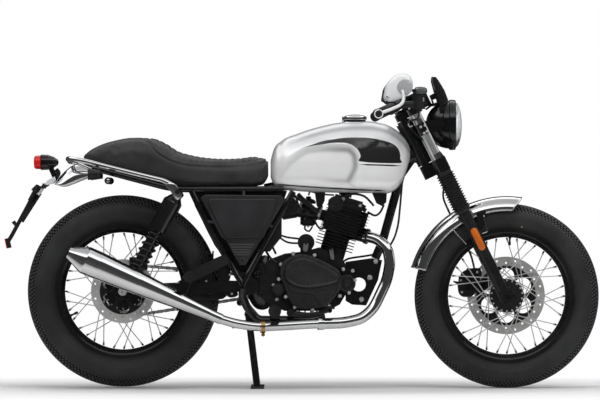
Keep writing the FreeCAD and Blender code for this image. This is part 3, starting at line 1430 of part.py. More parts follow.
def yoke(low, height):
    """A yoke: a bar across the stem with a clamp round each fork tube."""
    parts = [
        fork_block(stem_f - 20, -34, low, (num("yoke_offset") + 30, 68, height)),
        fork_block(leg_f - 18, -spread, low, (34, 2 * spread, height)),
        rod(F(stem_f, 0, low), F(stem_f, 0, low + height), 24),
    ]
    for side in (-1, 1):
        foot, head = F(leg_f, side * spread, low), F(leg_f, side * spread, low + height)
        parts.append(rod(foot, head, stanchion_r + 9))
    body = parts[0].multiFuse(parts[1:])
    for side in (-1, 1):
        foot, head = F(leg_f, side * spread, low - 5), F(leg_f, side * spread, low + height + 5)
        body = body.cut(rod(foot, head, stanchion_r + 0.2))
    return body


low_yoke = yoke(num("lower_yoke"), num("lower_yoke_height"))
high_yoke = yoke(num("upper_yoke"), num("upper_yoke_height"))
stem = rod(F(stem_f, 0, num("lower_yoke")), F(stem_f, 0, num("upper_yoke") + 30), num("stem_radius"))
stem_nut = rod(F(stem_f, 0, num("upper_yoke") + 24), F(stem_f, 0, num("upper_yoke") + 34), 19)
bar_f = -26
bar_along = num("upper_yoke") + num("bar_rise")
risers = []
for side in (-1, 1):
    y = side * 40
    block_foot = num("upper_yoke") + 24
    block = fork_block(bar_f - 15, y - 13, block_foot, (30, 26, bar_along + 17 - block_foot))
    risers.append(block)
bar_mid = F(bar_f, 0, bar_along)
bar_room = rod(F(bar_f, -80, bar_along), F(bar_f, 80, bar_along), num("bar_radius") + 0.2)
yokes_shape = low_yoke.multiFuse([high_yoke, stem, stem_nut] + risers).cut(bar_room)
steering_yokes = shaped("steering_yokes", yokes_shape)

bx, bz = bar_mid[0], bar_mid[2]
bar_half = num("bar_half_width")
end_x, end_z = num("bar_end_x"), num("bar_end_z")
inner_point = V(bx - 26, 196, bz - 12)
outer_point = V(end_x, bar_half, end_z)
bar_points = [
    (outer_point.x, -outer_point.y, outer_point.z), (inner_point.x, -inner_point.y, inner_point.z),
    (bx, -104, bz),
    (bx, 104, bz), tuple(inner_point), tuple(outer_point),
]
bar_shape = tube(bar_points, num("bar_radius"), 0.3)
handlebar = shaped("handlebar", bar_shape)
grip_way = (outer_point - inner_point).normalize()
grip_shapes = []
for side in (-1, 1):
    outer = V(outer_point.x, side * outer_point.y, outer_point.z)
    way = V(grip_way.x, side * grip_way.y, grip_way.z)
    start = outer - way * num("grip_length")
    bore = rod(start - way * 5, outer + way * 5, num("bar_radius") + 0.2)
    sleeve = rod(start, outer, num("grip_radius")).cut(bore)
    collar_ring = rod(start, start + way * 6, num("grip_radius") + 4)
    collar_ring = collar_ring.cut(rod(start - way * 5, outer, num("bar_radius") + 0.2))
    cap_end = rod(outer + way * 0.2, outer + way * 8, num("grip_radius") + 1)
    grip_shapes += [sleeve.fuse(collar_ring), cap_end]
grips = shaped("grips", Part.makeCompound(grip_shapes))


def bar_point(side, back):
    """A point of the bar, back from its end."""
    point = outer_point - grip_way * back
    return V(point.x, side * point.y, point.z)


control_parts = []
for side in (-1, 1):
    near = bar_point(side, 172)
    far = bar_point(side, num("grip_length") + 6)
    bore = rod(near + (near - far) * 2, far + (far - near) * 2, num("bar_radius") + 0.2)
    housing = rod(near, far, 19).cut(bore)
    pivot = far + V(30, -side * 2, 6)
    perch = rod(far + (near - far) * 0.4 + V(14, 0, 0), pivot, 9)
    tip = bar_point(side, 4) + V(52, 0, 16)
    elbow = pivot + (tip - pivot) * 0.25 + V(14, 0, 4)
    blade = tube([tuple(pivot), tuple(elbow), tuple(tip)], 5.5, 0.3)
    pieces = [housing, perch, blade]
    if side < 0:
        pot = V(400, near.y + 8, 958)
        pot_foot = pot
        reservoir = Part.makeCylinder(21, 62, pot)
        lid = Part.makeCylinder(24, 10, pot + V(0, 0, 58))
        link_block = rod(near + V(4, 6, 0), pot + V(0, 0, 16), 12)
        pieces += [reservoir, lid, link_block.cut(bar_shape)]
    control_parts.append(pieces[0].multiFuse(pieces[1:]).cut(bar_shape))
hand_controls = shaped("hand_controls", Part.makeCompound(control_parts))

mirror_outline = [
    (278, 988), (276, 1006), (284, 1034), (300, 1058), (322, 1074), (346, 1079), (364, 1072),
    (375, 1050), (376, 1024),
    (366, 1004), (346, 990), (318, 982),
]
mirror_parts = []
for side in (-1, 1):
    y0 = side * 292
    face = [V(x, y0, z) for x, z in mirror_outline]
    shell = Part.Face(Part.makePolygon(face + face[:1])).extrude(V(0, side * 22, 0))
    flat_edges = [e for e in shell.Edges if abs(e.BoundBox.YMin - e.BoundBox.YMax) < 0.01]
    rim = [e for e in flat_edges if abs(e.BoundBox.YMin - y0 - side * 22) < 0.01]
    shell = shell.makeFillet(9, rim)
    foot_point = bar_point(side, 176)
    arm_path = [tuple(foot_point + V(0, 0, 14)), (foot_point.x + 4, side * 214, 1010), (322, side * 297, 1026)]
    stem_arm = tube(arm_path, 5.5, 0.3)
    mirror_parts.append(shell.fuse(stem_arm))
mirror_compound = Part.makeCompound(mirror_parts)
mirrors = shaped("mirrors", mirror_compound.cut(Part.makeCompound(control_parts)).cut(bar_shape))

# Front mudguard over the tyre, held by the fork lowers.
guard_radius = num("front_tyre_radius") + num("guard_gap")
guard_sheet = arc_sheet(
    hub_x, hub_z, guard_radius, num("guard_front"), num("guard_rear"),
    num("guard_half_width"), num("guard_depth"),
    num("guard_wall"),
)
legs_shape = Part.makeCompound(legs)
guard_parts = []
for side in (-1, 1):
    tab = fork_block(leg_f - 16, side * 68 - 6, 286, (32, 12, 34))
    stay_low = V(*F(-30, side * 66, 206))
    stay_turn = math.radians(156)
    stay_high = V(hub_x + 322 * math.cos(stay_turn), side * 64, hub_z + 322 * math.sin(stay_turn))
    stay = rod(stay_low, stay_high, 4)
    stay_tab = rod(F(-30, side * 62, 206), F(-14, side * 84, 206), 5)
    guard_parts += [tab, stay, stay_tab]
front_guard = shaped("front_guard", guard_sheet.multiFuse(guard_parts).cut(legs_shape))

# Headlamp: bowl, rim and glass, on two brackets from the fork tubes.
lamp_x, lamp_z = num("lamp_x"), num("lamp_z")
lamp_r = num("lamp_radius")
depth = num("lamp_depth")


def along_x(profile, x):
    """A solid turned about the lamp's axis. Each point is (radius, distance forward of x)."""
    points = [V(max(r, 0.01), 0, d) for r, d in profile]
    body = Part.Face(Part.makePolygon(points + points[:1])).revolve(V(0, 0, 0), V(0, 0, 1), 360)
    body.Placement = FreeCAD.Placement(V(x, 0, lamp_z), FreeCAD.Rotation(V(0, 1, 0), 90))
    return body


bowl_profile = [(0, -depth)]
for i in range(1, 9):
    angle = math.radians(90 * i / 8)
    bowl_profile.append(((lamp_r - 4) * math.sin(angle), -depth * math.cos(angle)))
bowl_inner = [(r - 3 if r > 3 else 0, d + 2) for r, d in bowl_profile[::-1]]
bowl = along_x(bowl_profile + bowl_inner, lamp_x)
rim_ring = along_x(
    [
        (lamp_r - 8, 0.2), (lamp_r, 0.2), (lamp_r, num("lamp_rim")),
        (lamp_r - 5, num("lamp_rim") + 2), (lamp_r - 8, num("lamp_rim")),
    ],
    lamp_x,
)
glass_profile = [(0, 0), (lamp_r - 8.3, 0), (lamp_r - 8.3, 8)]
for i in range(1, 7):
    angle = math.radians(90 * i / 6)
    glass_profile.append(((lamp_r - 8.3) * math.cos(angle), 8 + num("glass_rise") * math.sin(angle)))
glass_outer = glass_profile[1:]
glass_inner = [(max(r - 3, 0), d - 3) for r, d in glass_outer[::-1][:-1]] + [(lamp_r - 11.3, 0)]
glass_skin = glass_outer + glass_inner
headlamp_glass = shaped("headlamp_glass", along_x(glass_skin, lamp_x + 10))
bracket_parts = []
for side in (-1, 1):
    ring = rod(F(leg_f, side * spread, 622), F(leg_f, side * spread, 664), 21)
    ring = ring.cut(rod(F(leg_f, side * spread, 600), F(leg_f, side * spread, 690), stanchion_r + 0.2))
    outline = [(408, 874), (424, 918), (484, 930), (494, 906), (480, 884)]
    points = [V(x, side * 92 - 2.5, z) for x, z in outline]
    ear = Part.Face(Part.makePolygon(points + points[:1])).extrude(V(0, 5, 0))
    ear = ear.cut(rod(F(leg_f, side * spread, 600), F(leg_f, side * spread, 690), stanchion_r + 0.2))
    boss = rod((480, side * 76, 906), (480, side * 99, 906), 8)
    bracket_parts += [ring, ear, boss]
lamp_shell_shape = bowl.multiFuse(bracket_parts + [rim_ring])
headlamp = shaped("headlamp", lamp_shell_shape)

# Fly screen: a thin curved sheet that leans back above the lamp.
screen_rows = [
    (944, 508, 88, 30), (984, 507, 94, 36), (1024, 492, 88, 34), (1056, 473, 68, 24), (1071, 462, 44, 12),
]
wall = num("screen_wall")


def screen_row(z, x, half, back):
    outer, inner = [], []
    for i in range(9):
        share = -1 + 2 * i / 8
        dx = -back * share * share
        outer.append(V(x + dx, half * share, z))
        inner.append(V(x + dx - wall, half * share * 0.985, z))
    return Part.makePolygon(outer + inner[::-1] + outer[:1])


screen = Part.makeLoft([screen_row(*row) for row in screen_rows], True, True)
screen_arms = [rod((498, s * 30, 990), (452, s * 30, 975), 5) for s in (-1, 1)]
screen_bar = rod((452, -34, 975), (452, 34, 975), 5)
screen_foot = [tube([(452, s * 30, 975), (424, s * 46, 975), (392, s * 58, 966)], 4, 0.3) for s in (-1, 1)]
fly_screen_shape = screen.multiFuse(screen_arms + [screen_bar] + screen_foot)
lamp_front = rod((508, 0, lamp_z), (540, 0, lamp_z), lamp_r + 0.3)
lamp_solid = lamp_front.fuse(along_x(bowl_profile + [(0, 0)], lamp_x))
fly_screen_cut = fly_screen_shape.cut(lamp_solid).cut(lamp_shell_shape).cut(yokes_shape)
fly_screen = shaped("fly_screen", largest(fly_screen_cut))

gauge_r = 34
gauge_f = bar_f + num("bar_radius") + gauge_r + 4.5
gauge_low = num("upper_yoke") + 6
gauge_body = rod(F(gauge_f, 0, gauge_low), F(gauge_f, 0, gauge_low + 58), gauge_r)
gauge_bezel = rod(F(gauge_f, 0, gauge_low + 52), F(gauge_f, 0, gauge_low + 62), gauge_r + 3)
gauge_foot = fork_block(-8, -14, gauge_low, (22, 28, 12))
gauge_shape = gauge_body.multiFuse([gauge_bezel, gauge_foot])
gauge = shaped("gauge", gauge_shape.cut(yokes_shape).cut(fly_screen_shape))

# Front caliper behind the left leg.
fc_angle = math.radians(158)
fcx = hub_x + 122 * math.cos(fc_angle)
fcz = hub_z + 122 * math.sin(fc_angle)
front_block = Part.makeBox(46, 34, 84, V(fcx - 23, 39, fcz - 36))
slot_start = V(hub_x, num("front_disc_y") - 3.5, hub_z)
front_slot = Part.makeCylinder(num("front_disc_radius") + 2, 7, slot_start, V(0, 1, 0))
caliper_plate_outline = [V(fcx - 6, 66, fcz - 34), V(fcx - 6, 66, fcz + 40), V(664, 66, 392), V(676, 66, 340)]
caliper_edge = Part.makePolygon(caliper_plate_outline + caliper_plate_outline[:1])
caliper_plate = Part.Face(caliper_edge).extrude(V(0, 7, 0))
caliper_lug = rod((655, 70, 366), (664, 86, 370), 7)
front_caliper = shaped(
    "front_caliper", front_block.multiFuse([caliper_plate, caliper_lug]).cut(front_slot).cut(legs_shape)
)
front_axle_part = cylinder(
    "front_axle", S["axle_radius"], 2 * 118, (front_axle[0], 118, front_axle[2]), V(1, 0, 0), 90
)

# Front brake hose: from the reservoir, past the yokes and down behind the left fork leg to the caliper.
hose_r = num("hose_radius")
hose_top = (pot_foot.x, pot_foot.y, pot_foot.z - 0.3)
brake_hose_path = [
    hose_top, (pot_foot.x - 2, pot_foot.y + 4, pot_foot.z - 34), F(-45, -112, 690), F(-46, -62, 664),
    F(-32, -36, 622), F(-8, -8, 585), F(16, 26, 535), F(14, 40, 475), F(-20, 48, 440), F(-48, 76, 404),
    F(-50, 86, 350), F(-50, 86, 240), F(-46, 80, 180), (fcx + 4, 63, fcz + 46),
]
brake_hose_tube = tube(brake_hose_path, hose_r).cut(Part.makeCompound(control_parts))
brake_hose = shaped("brake_hose", brake_hose_tube.cut(yokes_shape).cut(front_block))

# Cable from the engine, up along the down tube and under the tank.
engine_cable_path = [
    (136, 34, 430), (158, 36, 445), (184, 36, 449), (240, 30, 457), (290, 26, 470), (318, 26, 512),
    (332, 24, 560),
    (338, 22, 620), (344, 20, 690), (350, 17, 758),
]
engine_cable_tube = shaped("engine_cable_tube", tube(engine_cable_path, hose_r).cut(spine))
engine_cable = cut("engine_cable", engine_cable_tube, crankcase)

# Stands.
spx, spz = num("stand_pivot_x"), num("stand_pivot_z")
foot_x, foot_y = num("stand_foot_x"), num("stand_foot_y")
leg_r = num("stand_leg_radius")
stand_hole = rod((spx, -200, spz), (spx, 200, spz), 7.1)
pivot_sleeve = rod((spx, -84, spz), (spx, 84, spz), 13)
stand_parts = [pivot_sleeve]
for side in (-1, 1):
    stand_parts.append(rod((spx, side * 74, spz), (foot_x, side * foot_y, 7), leg_r))
    stand_parts.append(Part.makeBox(46, 26, 8, V(foot_x - 21, side * foot_y - 13, 0)))
share = 84 / (spz - 7)
brace_x = spx + (foot_x - spx) * share
brace_z = spz - 84
brace_y = 74 + (foot_y - 74) * share
stand_parts.append(rod((brace_x, -brace_y, brace_z), (brace_x, brace_y, brace_z), 8))
stand_shape = stand_parts[0].multiFuse(stand_parts[1:]).cut(stand_hole)
floor_trim = Part.makeBox(600, 600, 60, V(-400, -300, -60))
centre_stand = shaped("centre_stand", stand_shape.cut(floor_trim))

side_length = num("side_stand_length")
side_heel = (side_pivot[0] - side_length, 158, 214)
side_leg = tube([side_pivot, (side_pivot[0] - side_length * 0.8, 158, 222), side_heel], 9, 0.3)
side_foot = Part.makeBox(12, 34, 24, V(side_pivot[0] - side_length - 4, 141, 202))
side_boss = rod((side_pivot[0], 149, side_pivot[2]), (side_pivot[0], 167, side_pivot[2]), 14)
side_hole = rod((side_pivot[0], 100, side_pivot[2]), (side_pivot[0], 200, side_pivot[2]), 6.1)
side_stand = shaped("side_stand", side_leg.multiFuse([side_foot, side_boss]).cut(side_hole))
NODES = [
    ("frame_spine", frame_spine), ("frame_rails", frame_rails), ("frame_sides", frame_sides),
    ("swingarm", swingarm),
    ("rear_axle", rear_axle_part), ("rear_shocks", rear_shocks), ("shock_springs", shock_springs),
    ("engine_plates", plates_pair), ("crankcase", crankcase), ("cylinder_barrel", barrel),
    ("cylinder_head", cylinder_head), ("cover_right", cover_right), ("cover_left", cover_left),
    ("carburettor", carburettor), ("airbox", airbox),
    ("exhaust_pipe", exhaust_pipe), ("silencer", silencer), ("tank", tank), ("filler_cap", filler_cap),
    ("seat", seat),
    ("side_covers", side_covers), ("grab_rail", grab_rail), ("tail_guard", tail_guard_part),
    ("tail_bracket", tail_bracket), ("tail_lamp", tail_lamp), ("tail_lens", tail_lens),
    ("rear_indicators", rear_indicators), ("footrests", footrests),
    ("foot_controls", foot_controls), ("chain", chain), ("rear_caliper", rear_caliper),
    ("steering_yokes", steering_yokes), ("fork_tubes", fork_tubes), ("fork_gaiters", fork_gaiters),
    ("fork_lowers", fork_lowers), ("front_guard", front_guard), ("headlamp", headlamp),
    ("headlamp_glass", headlamp_glass), ("fly_screen", fly_screen), ("gauge", gauge),
    ("handlebar", handlebar),
    ("grips", grips), ("hand_controls", hand_controls), ("mirrors", mirrors),
    ("front_caliper", front_caliper),
    ("front_axle", front_axle_part), ("brake_hose", brake_hose), ("engine_cable", engine_cable),
    ("front_tyre", front_tyre), ("front_rim", front_rim), ("front_spokes", front_spokes),
    ("front_hub", front_hub),
    ("front_disc", front_disc),
    ("rear_tyre", rear_tyre), ("rear_rim", rear_rim), ("rear_spokes", rear_spokes), ("rear_hub", rear_hub),
    ("rear_disc", rear_disc),
    ("centre_stand", centre_stand), ("side_stand", side_stand),
]

doc.recompute()
faults = []
for item in doc.Objects:
    if "Invalid" in item.State or "Error" in item.State:
        faults.append(f"{item.Name}: {item.State}")
os.makedirs("parts", exist_ok=True)
for name, item in NODES:
    shape = item.Shape
    if shape.isNull() or not shape.isValid() or shape.Volume <= 0:
        faults.append(f"{name}: no valid shape")
        continue
    item.Label = name
    shape.exportStep(f"parts/{name}.step")
    print(name, len(shape.Solids), round(shape.Volume / 1000, 1))
if faults:
    raise SystemExit("; ".join(faults))
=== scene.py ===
import bpy
import bmesh
import json
import math
import numpy as np
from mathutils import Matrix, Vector
from mathutils.bvhtree import BVHTree


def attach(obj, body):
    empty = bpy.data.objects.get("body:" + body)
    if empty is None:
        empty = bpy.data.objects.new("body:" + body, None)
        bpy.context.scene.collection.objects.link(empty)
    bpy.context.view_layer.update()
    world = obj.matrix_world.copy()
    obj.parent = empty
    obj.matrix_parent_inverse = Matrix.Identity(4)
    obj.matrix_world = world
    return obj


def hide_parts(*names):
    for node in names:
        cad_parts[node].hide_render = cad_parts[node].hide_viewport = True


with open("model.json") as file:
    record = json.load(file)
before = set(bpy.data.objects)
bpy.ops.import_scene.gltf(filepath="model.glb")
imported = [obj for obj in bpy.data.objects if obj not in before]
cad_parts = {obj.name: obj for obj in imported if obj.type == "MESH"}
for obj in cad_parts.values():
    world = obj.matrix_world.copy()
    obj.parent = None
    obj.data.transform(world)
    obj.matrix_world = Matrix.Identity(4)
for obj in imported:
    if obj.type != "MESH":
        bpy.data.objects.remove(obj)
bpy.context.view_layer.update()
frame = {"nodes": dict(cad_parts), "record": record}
nodes = frame["nodes"]
slotOf = {part["node"]: part["material_slot"] for part in frame["record"]["subparts"]}
stageScene = bpy.context.scene
print("frame loaded", len(nodes), "nodes")

# Camera: a long lens square to the right side, as in the photograph.
shot = {"centre": (-0.0069, 0.6472), "distance": 22.0, "width": 2.0679}


def makeCamera():
    lens = bpy.data.cameras.new("sideCamera")
    lens.sensor_width = 36
    lens.lens = 36 * shot["distance"] / shot["width"]
    lens.clip_start, lens.clip_end = 0.5, 100
    holder = bpy.data.objects.new("sideCamera", lens)
    holder.location = (shot["centre"][0], -shot["distance"], shot["centre"][1])
    holder.rotation_euler = (math.radians(90), 0, 0)
    stageScene.collection.objects.link(holder)
    stageScene.camera = holder


makeCamera()
stageScene.view_settings.view_transform = "Standard"


# Nodes of a material, and the links between them.
def addNode(tree, kind, inputs=None, **settings):
    made = tree.nodes.new(kind)
    for key, value in settings.items():
        setattr(made, key, value)
    for key, value in (inputs or {}).items():
        if isinstance(value, bpy.types.NodeSocket):
            tree.links.new(value, made.inputs[key])
        else:
            made.inputs[key].default_value = value
    return made


def mathNode(tree, operation, first, second=0.0):
    return addNode(tree, "ShaderNodeMath", {0: first, 1: second}, operation=operation).outputs[0]


def mixColour(tree, share, first, second):
    return addNode(tree, "ShaderNodeMix", {0: share, 6: first, 7: second}, data_type="RGBA").outputs[2]


def spread(tree, value, low, high, newLow, newHigh):
    return addNode(tree, "ShaderNodeMapRange", {0: value, 1: low, 2: high, 3: newLow, 4: newHigh}).outputs[0]


def place(tree, stretch=(1, 1, 1)):
    coords = addNode(tree, "ShaderNodeTexCoord")
    return addNode(tree, "ShaderNodeMapping", {0: coords.outputs["Object"], 3: stretch}).outputs[0]


def noise(tree, where, scale, detail=3.0):
    settings = {"Vector": where, "Scale": scale, "Detail": detail, "Roughness": 0.55}
    return addNode(tree, "ShaderNodeTexNoise", settings).outputs[0]


# The x, y and z of a point of the object itself.
def ownPlace(tree):
    coords = addNode(tree, "ShaderNodeTexCoord").outputs["Object"]
    return addNode(tree, "ShaderNodeSeparateXYZ", {0: coords}).outputs


# Square root of the sum of two squares.
def hypotNode(tree, first, second):
    squares = [mathNode(tree, "MULTIPLY", value, value) for value in (first, second)]
    return mathNode(tree, "SQRT", mathNode(tree, "ADD", *squares))


# How far a point lies from an axle, forward, up and straight.
def fromAxle(tree, axle):
    x, y, z = ownPlace(tree)
    dx, dz = mathNode(tree, "SUBTRACT", x, axle[0]), mathNode(tree, "SUBTRACT", z, axle[-1])
    return dx, dz, hypotNode(tree, dx, dz)


def bumpNode(tree, strength, height, distance=0.0004):
    return addNode(tree, "ShaderNodeBump",
                   {"Strength": strength, "Distance": distance, "Height": height}).outputs[0]


def rgb(colour):
    return (colour[0], colour[1], colour[2], 1.0)


# One finish: two tones clouded together, a roughness that wanders, and a grain in the surface.
def makeFinish(name, look):
    finish = bpy.data.materials.new(name)
    finish.use_nodes = True
    tree = finish.node_tree
    shader = tree.nodes["Principled BSDF"]
    for socket, value in (("Metallic", look.get("metal", 0.0)), ("IOR", 1.48),
                          ("Coat Weight", look.get("coat", 0.0)), ("Coat Roughness", 0.05),
                          ("Specular IOR Level", look.get("shine", 0.5))):
        shader.inputs[socket].default_value = value
    where = place(tree, look.get("stretch", (1, 1, 1)))
    clouds = spread(tree, noise(tree, where, look.get("cloud", 9.0), 4.0), 0.35, 0.65, 0.0, 1.0)
    tone = mixColour(tree, clouds, rgb(look["dark"]), rgb(look["light"]))
    specks = spread(tree, noise(tree, where, look.get("speck", 320.0), 2.0), 0.55, 0.8, 0.0,
                    look.get("speckShare", 0.25))
    tone = mixColour(tree, specks, tone, rgb(look.get("speckTone", look["light"])))
    tree.links.new(tone, shader.inputs["Base Color"])
    tree.links.new(spread(tree, noise(tree, where, 40.0), 0.3, 0.7, *look["rough"]),
                   shader.inputs["Roughness"])
    grain = noise(tree, where, look.get("grain", 900.0), 2.0)
    tree.links.new(bumpNode(tree, look["bump"], grain), shader.inputs["Normal"])
    return finish


finishLooks = {
    "frameBlack": {"dark": (0.004, 0.004, 0.0045), "light": (0.008, 0.008, 0.0085), "rough": (0.1, 0.18),
                   "shine": 0.5, "coat": 0.3, "bump": 0.04},
    "engineBlack": {"dark": (0.006, 0.006, 0.0065), "light": (0.013, 0.013, 0.0135), "rough": (0.22, 0.36),
                    "shine": 0.3, "bump": 0.3, "grain": 1500.0, "speckTone": (0.05, 0.05, 0.05)},
    "coverBlack": {"dark": (0.014, 0.0132, 0.013), "light": (0.024, 0.0228, 0.0224), "rough": (0.24, 0.36),
                   "shine": 0.32, "bump": 0.22, "grain": 1700.0, "speckTone": (0.06, 0.06, 0.06)},
    "chrome": {"dark": (0.72, 0.73, 0.75), "light": (0.86, 0.86, 0.87), "metal": 1.0, "rough": (0.035, 0.09),
               "bump": 0.015, "cloud": 4.0, "speckShare": 0.05},
    "steel": {"dark": (0.5, 0.5, 0.5), "light": (0.66, 0.66, 0.65), "metal": 0.55, "rough": (0.2, 0.36),
              "bump": 0.12, "stretch": (1, 8, 1), "speckTone": (0.3, 0.29, 0.27)},
    "spokeSteel": {"dark": (0.62, 0.62, 0.63), "light": (0.8, 0.8, 0.81), "metal": 1.0, "rough": (0.12, 0.24),
                   "bump": 0.04},
    "rimBlack": {"dark": (0.006, 0.006, 0.0065), "light": (0.011, 0.011, 0.012), "rough": (0.12, 0.22),
                 "shine": 0.22, "coat": 0.2, "bump": 0.04},
    "hubBlack": {"dark": (0.008, 0.008, 0.009), "light": (0.015, 0.015, 0.016), "rough": (0.28, 0.44),
                 "shine": 0.25, "bump": 0.25, "grain": 1300.0},
    "tyreRubber": {"dark": (0.016, 0.0162, 0.0168), "light": (0.026, 0.0262, 0.027), "rough": (0.42, 0.6),
                   "shine": 0.22, "bump": 0.35, "grain": 700.0, "speckTone": (0.034, 0.033, 0.032)},
    "rubber": {"dark": (0.012, 0.012, 0.012), "light": (0.022, 0.022, 0.022), "rough": (0.42, 0.62),
               "shine": 0.35, "bump": 0.3, "grain": 900.0},
    "tankPaint": {"dark": (0.64, 0.645, 0.655), "light": (0.69, 0.695, 0.705), "metal": 0.3,
                  "rough": (0.3, 0.36), "coat": 0.7, "bump": 0.01, "speck": 2600.0,
                  "speckTone": (0.86, 0.87, 0.88), "speckShare": 0.5},
    "leather": {"dark": (0.016, 0.016, 0.017), "light": (0.03, 0.03, 0.031), "rough": (0.4, 0.56),
                "shine": 0.4, "bump": 0.5, "grain": 600.0},
    "coverGrey": {"dark": (0.015, 0.015, 0.016), "light": (0.025, 0.025, 0.027), "rough": (0.3, 0.44),
                  "shine": 0.36, "bump": 0.25, "grain": 1600.0},
    "blackPlastic": {"dark": (0.009, 0.009, 0.0095), "light": (0.016, 0.016, 0.017), "rough": (0.34, 0.5),
                     "shine": 0.3, "bump": 0.25, "grain": 1100.0},
    "glossBlack": {"dark": (0.004, 0.004, 0.0045), "light": (0.008, 0.008, 0.0085), "rough": (0.1, 0.18),
                   "shine": 0.5, "coat": 0.2, "bump": 0.03},
    "lensRed": {"dark": (0.5, 0.004, 0.006), "light": (0.66, 0.012, 0.014), "rough": (0.1, 0.18), "coat": 0.4,
                "bump": 0.02, "speckShare": 0.0},
    "silverPlastic": {"dark": (0.66, 0.67, 0.68), "light": (0.74, 0.75, 0.76), "metal": 0.2,
                      "rough": (0.3, 0.4), "coat": 0.3, "bump": 0.02},
    "alloy": {"dark": (0.42, 0.42, 0.43), "light": (0.58, 0.58, 0.59), "metal": 0.9, "rough": (0.28, 0.42),
              "bump": 0.25, "grain": 1400.0},
    "amber": {"dark": (0.4, 0.075, 0.002), "light": (0.47, 0.1, 0.004), "rough": (0.16, 0.26), "coat": 0.2,
              "bump": 0.1, "grain": 500.0, "speckTone": (0.62, 0.1, 0.002)},
    "lidGrey": {"dark": (0.05, 0.052, 0.056), "light": (0.072, 0.074, 0.078), "rough": (0.3, 0.4),
                "shine": 0.4, "bump": 0.05},
    # Darker silver for the painted shade on the mirror shells.
    "shadedMirrorSilver": {"dark": (0.36, 0.37, 0.38), "light": (0.44, 0.45, 0.46), "metal": 0.3, "rough": (0.2, 0.3),
                   "coat": 0.5, "bump": 0.02},
    "brass": {"dark": (0.42, 0.24, 0.07), "light": (0.58, 0.36, 0.13), "metal": 1.0,
              "rough": (0.22, 0.38), "bump": 0.1},
}
finishes = {name: makeFinish(name, look) for name, look in finishLooks.items()}


def makeGlass(name, tint, rough=0.02):
    glass = bpy.data.materials.new(name)
    glass.use_nodes = True
    tree = glass.node_tree
    shader = tree.nodes["Principled BSDF"]
    shader.inputs["Transmission Weight"].default_value = 1.0
    shader.inputs["IOR"].default_value = 1.25
    where = place(tree)
    clouds = spread(tree, noise(tree, where, 14.0), 0.35, 0.65, 0.0, 1.0)
    tone = mixColour(tree, clouds, rgb(tint), rgb([min(c * 1.04, 1) for c in tint]))
    tree.links.new(tone, shader.inputs["Base Color"])
    tree.links.new(spread(tree, noise(tree, where, 60.0), 0.3, 0.7, rough, rough * 2.5),
                   shader.inputs["Roughness"])
    tree.links.new(bumpNode(tree, 0.05, noise(tree, where, 300.0)), shader.inputs["Normal"])
    return glass


finishes["clearGlass"] = makeGlass("clearGlass", (0.9, 0.92, 0.93))

finishOfSlot = {
    "frame_black": "frameBlack", "engine_black": "engineBlack", "engine_cover": "coverBlack",
    "chrome": "chrome", "steel": "steel", "spoke": "spokeSteel", "rim_black": "rimBlack", "hub": "hubBlack",
    "tyre": "tyreRubber", "rubber": "rubber", "tank_silver": "tankPaint", "seat": "leather",
    "cover_grey": "coverGrey", "black_plastic": "blackPlastic", "gloss_black": "glossBlack",
    "lens_red": "lensRed", "glass": "clearGlass", "silver_plastic": "silverPlastic", "alloy": "alloy",
}
slotOfFinish = {finish: slot for slot, finish in finishOfSlot.items()}
slotOfFinish.update({"amber": "silver_plastic", "brass": "steel", "lidGrey": "black_plastic",
                     "shadedMirrorSilver": "silver_plastic"})
# Nodes with a finish other than their slot's.
ownFinish = {"tail_lamp": "glossBlack", "front_axle": "glossBlack", "carburettor": "engineBlack",
             "foot_controls": "engineBlack", "rear_axle": "steel"}
for nodeName, nodeObject in nodes.items():
    chosen = finishes[ownFinish.get(nodeName, finishOfSlot[slotOf[nodeName]])]
    if not nodeObject.material_slots:
        nodeObject.data.materials.append(chosen)
    for holder in nodeObject.material_slots:
        holder.material = chosen
print("finishes on", len(nodes), "nodes")


# A new mesh from points and faces, with its faces turned outwards.
def rawMesh(name, points, faces):
    mesh = bpy.data.meshes.new(name)
    mesh.from_pydata([tuple(float(c) for c in p) for p in points], [], faces)
    mesh.validate()
    shell = bmesh.new()
    shell.from_mesh(mesh)
    bmesh.ops.recalc_face_normals(shell, faces=shell.faces)
    shell.to_mesh(mesh)
    shell.free()
    made = bpy.data.objects.new(name, mesh)
    stageScene.collection.objects.link(made)
    return made


def joined(parts):
    points, faces = [], []
    for somePoints, someFaces in parts:
        first = len(points)
        points += [tuple(p) for p in somePoints]
        faces += [tuple(first + k for k in face) for face in someFaces]
    return points, faces


# A piece from its parts, riding on its body.
def addPiece(name, parts, finish, body, replacing=(), smooth=True):
    return keepPiece(rawMesh(name, *joined(parts)), finish, body, replacing, smooth)


def keepPiece(piece, finish, body, replacing=(), smooth=True):
    piece.data.materials.clear()
    piece.data.materials.append(finishes[finish] if isinstance(finish, str) else finish)
    piece.data.polygons.foreach_set("use_smooth", [smooth] * len(piece.data.polygons))
    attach(piece, body)
    if replacing:
        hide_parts(*replacing)
    return piece


# Faces between rings of points, closed at both ends or looped round.
def ringFaces(count, rings, looped=False):
    faces = []
    for k in range(rings if looped else rings - 1):
        low, high = k * count, ((k + 1) % rings) * count
        for i in range(count):
            j = (i + 1) % count
            faces.append((low + i, low + j, high + j, high + i))
    if not looped:
        faces.append(tuple(range(count - 1, -1, -1)))
        faces.append(tuple((rings - 1) * count + i for i in range(count)))
    return faces


def stacked(rings, looped=False):
    return [tuple(p) for ring in rings for p in ring], ringFaces(len(rings[0]), len(rings), looped)


def circle(centre, side, up, radius, count):
    turns = [2 * math.pi * i / count for i in range(count)]
    return [centre + (side * math.cos(turn) + up * math.sin(turn)) * radius for turn in turns]


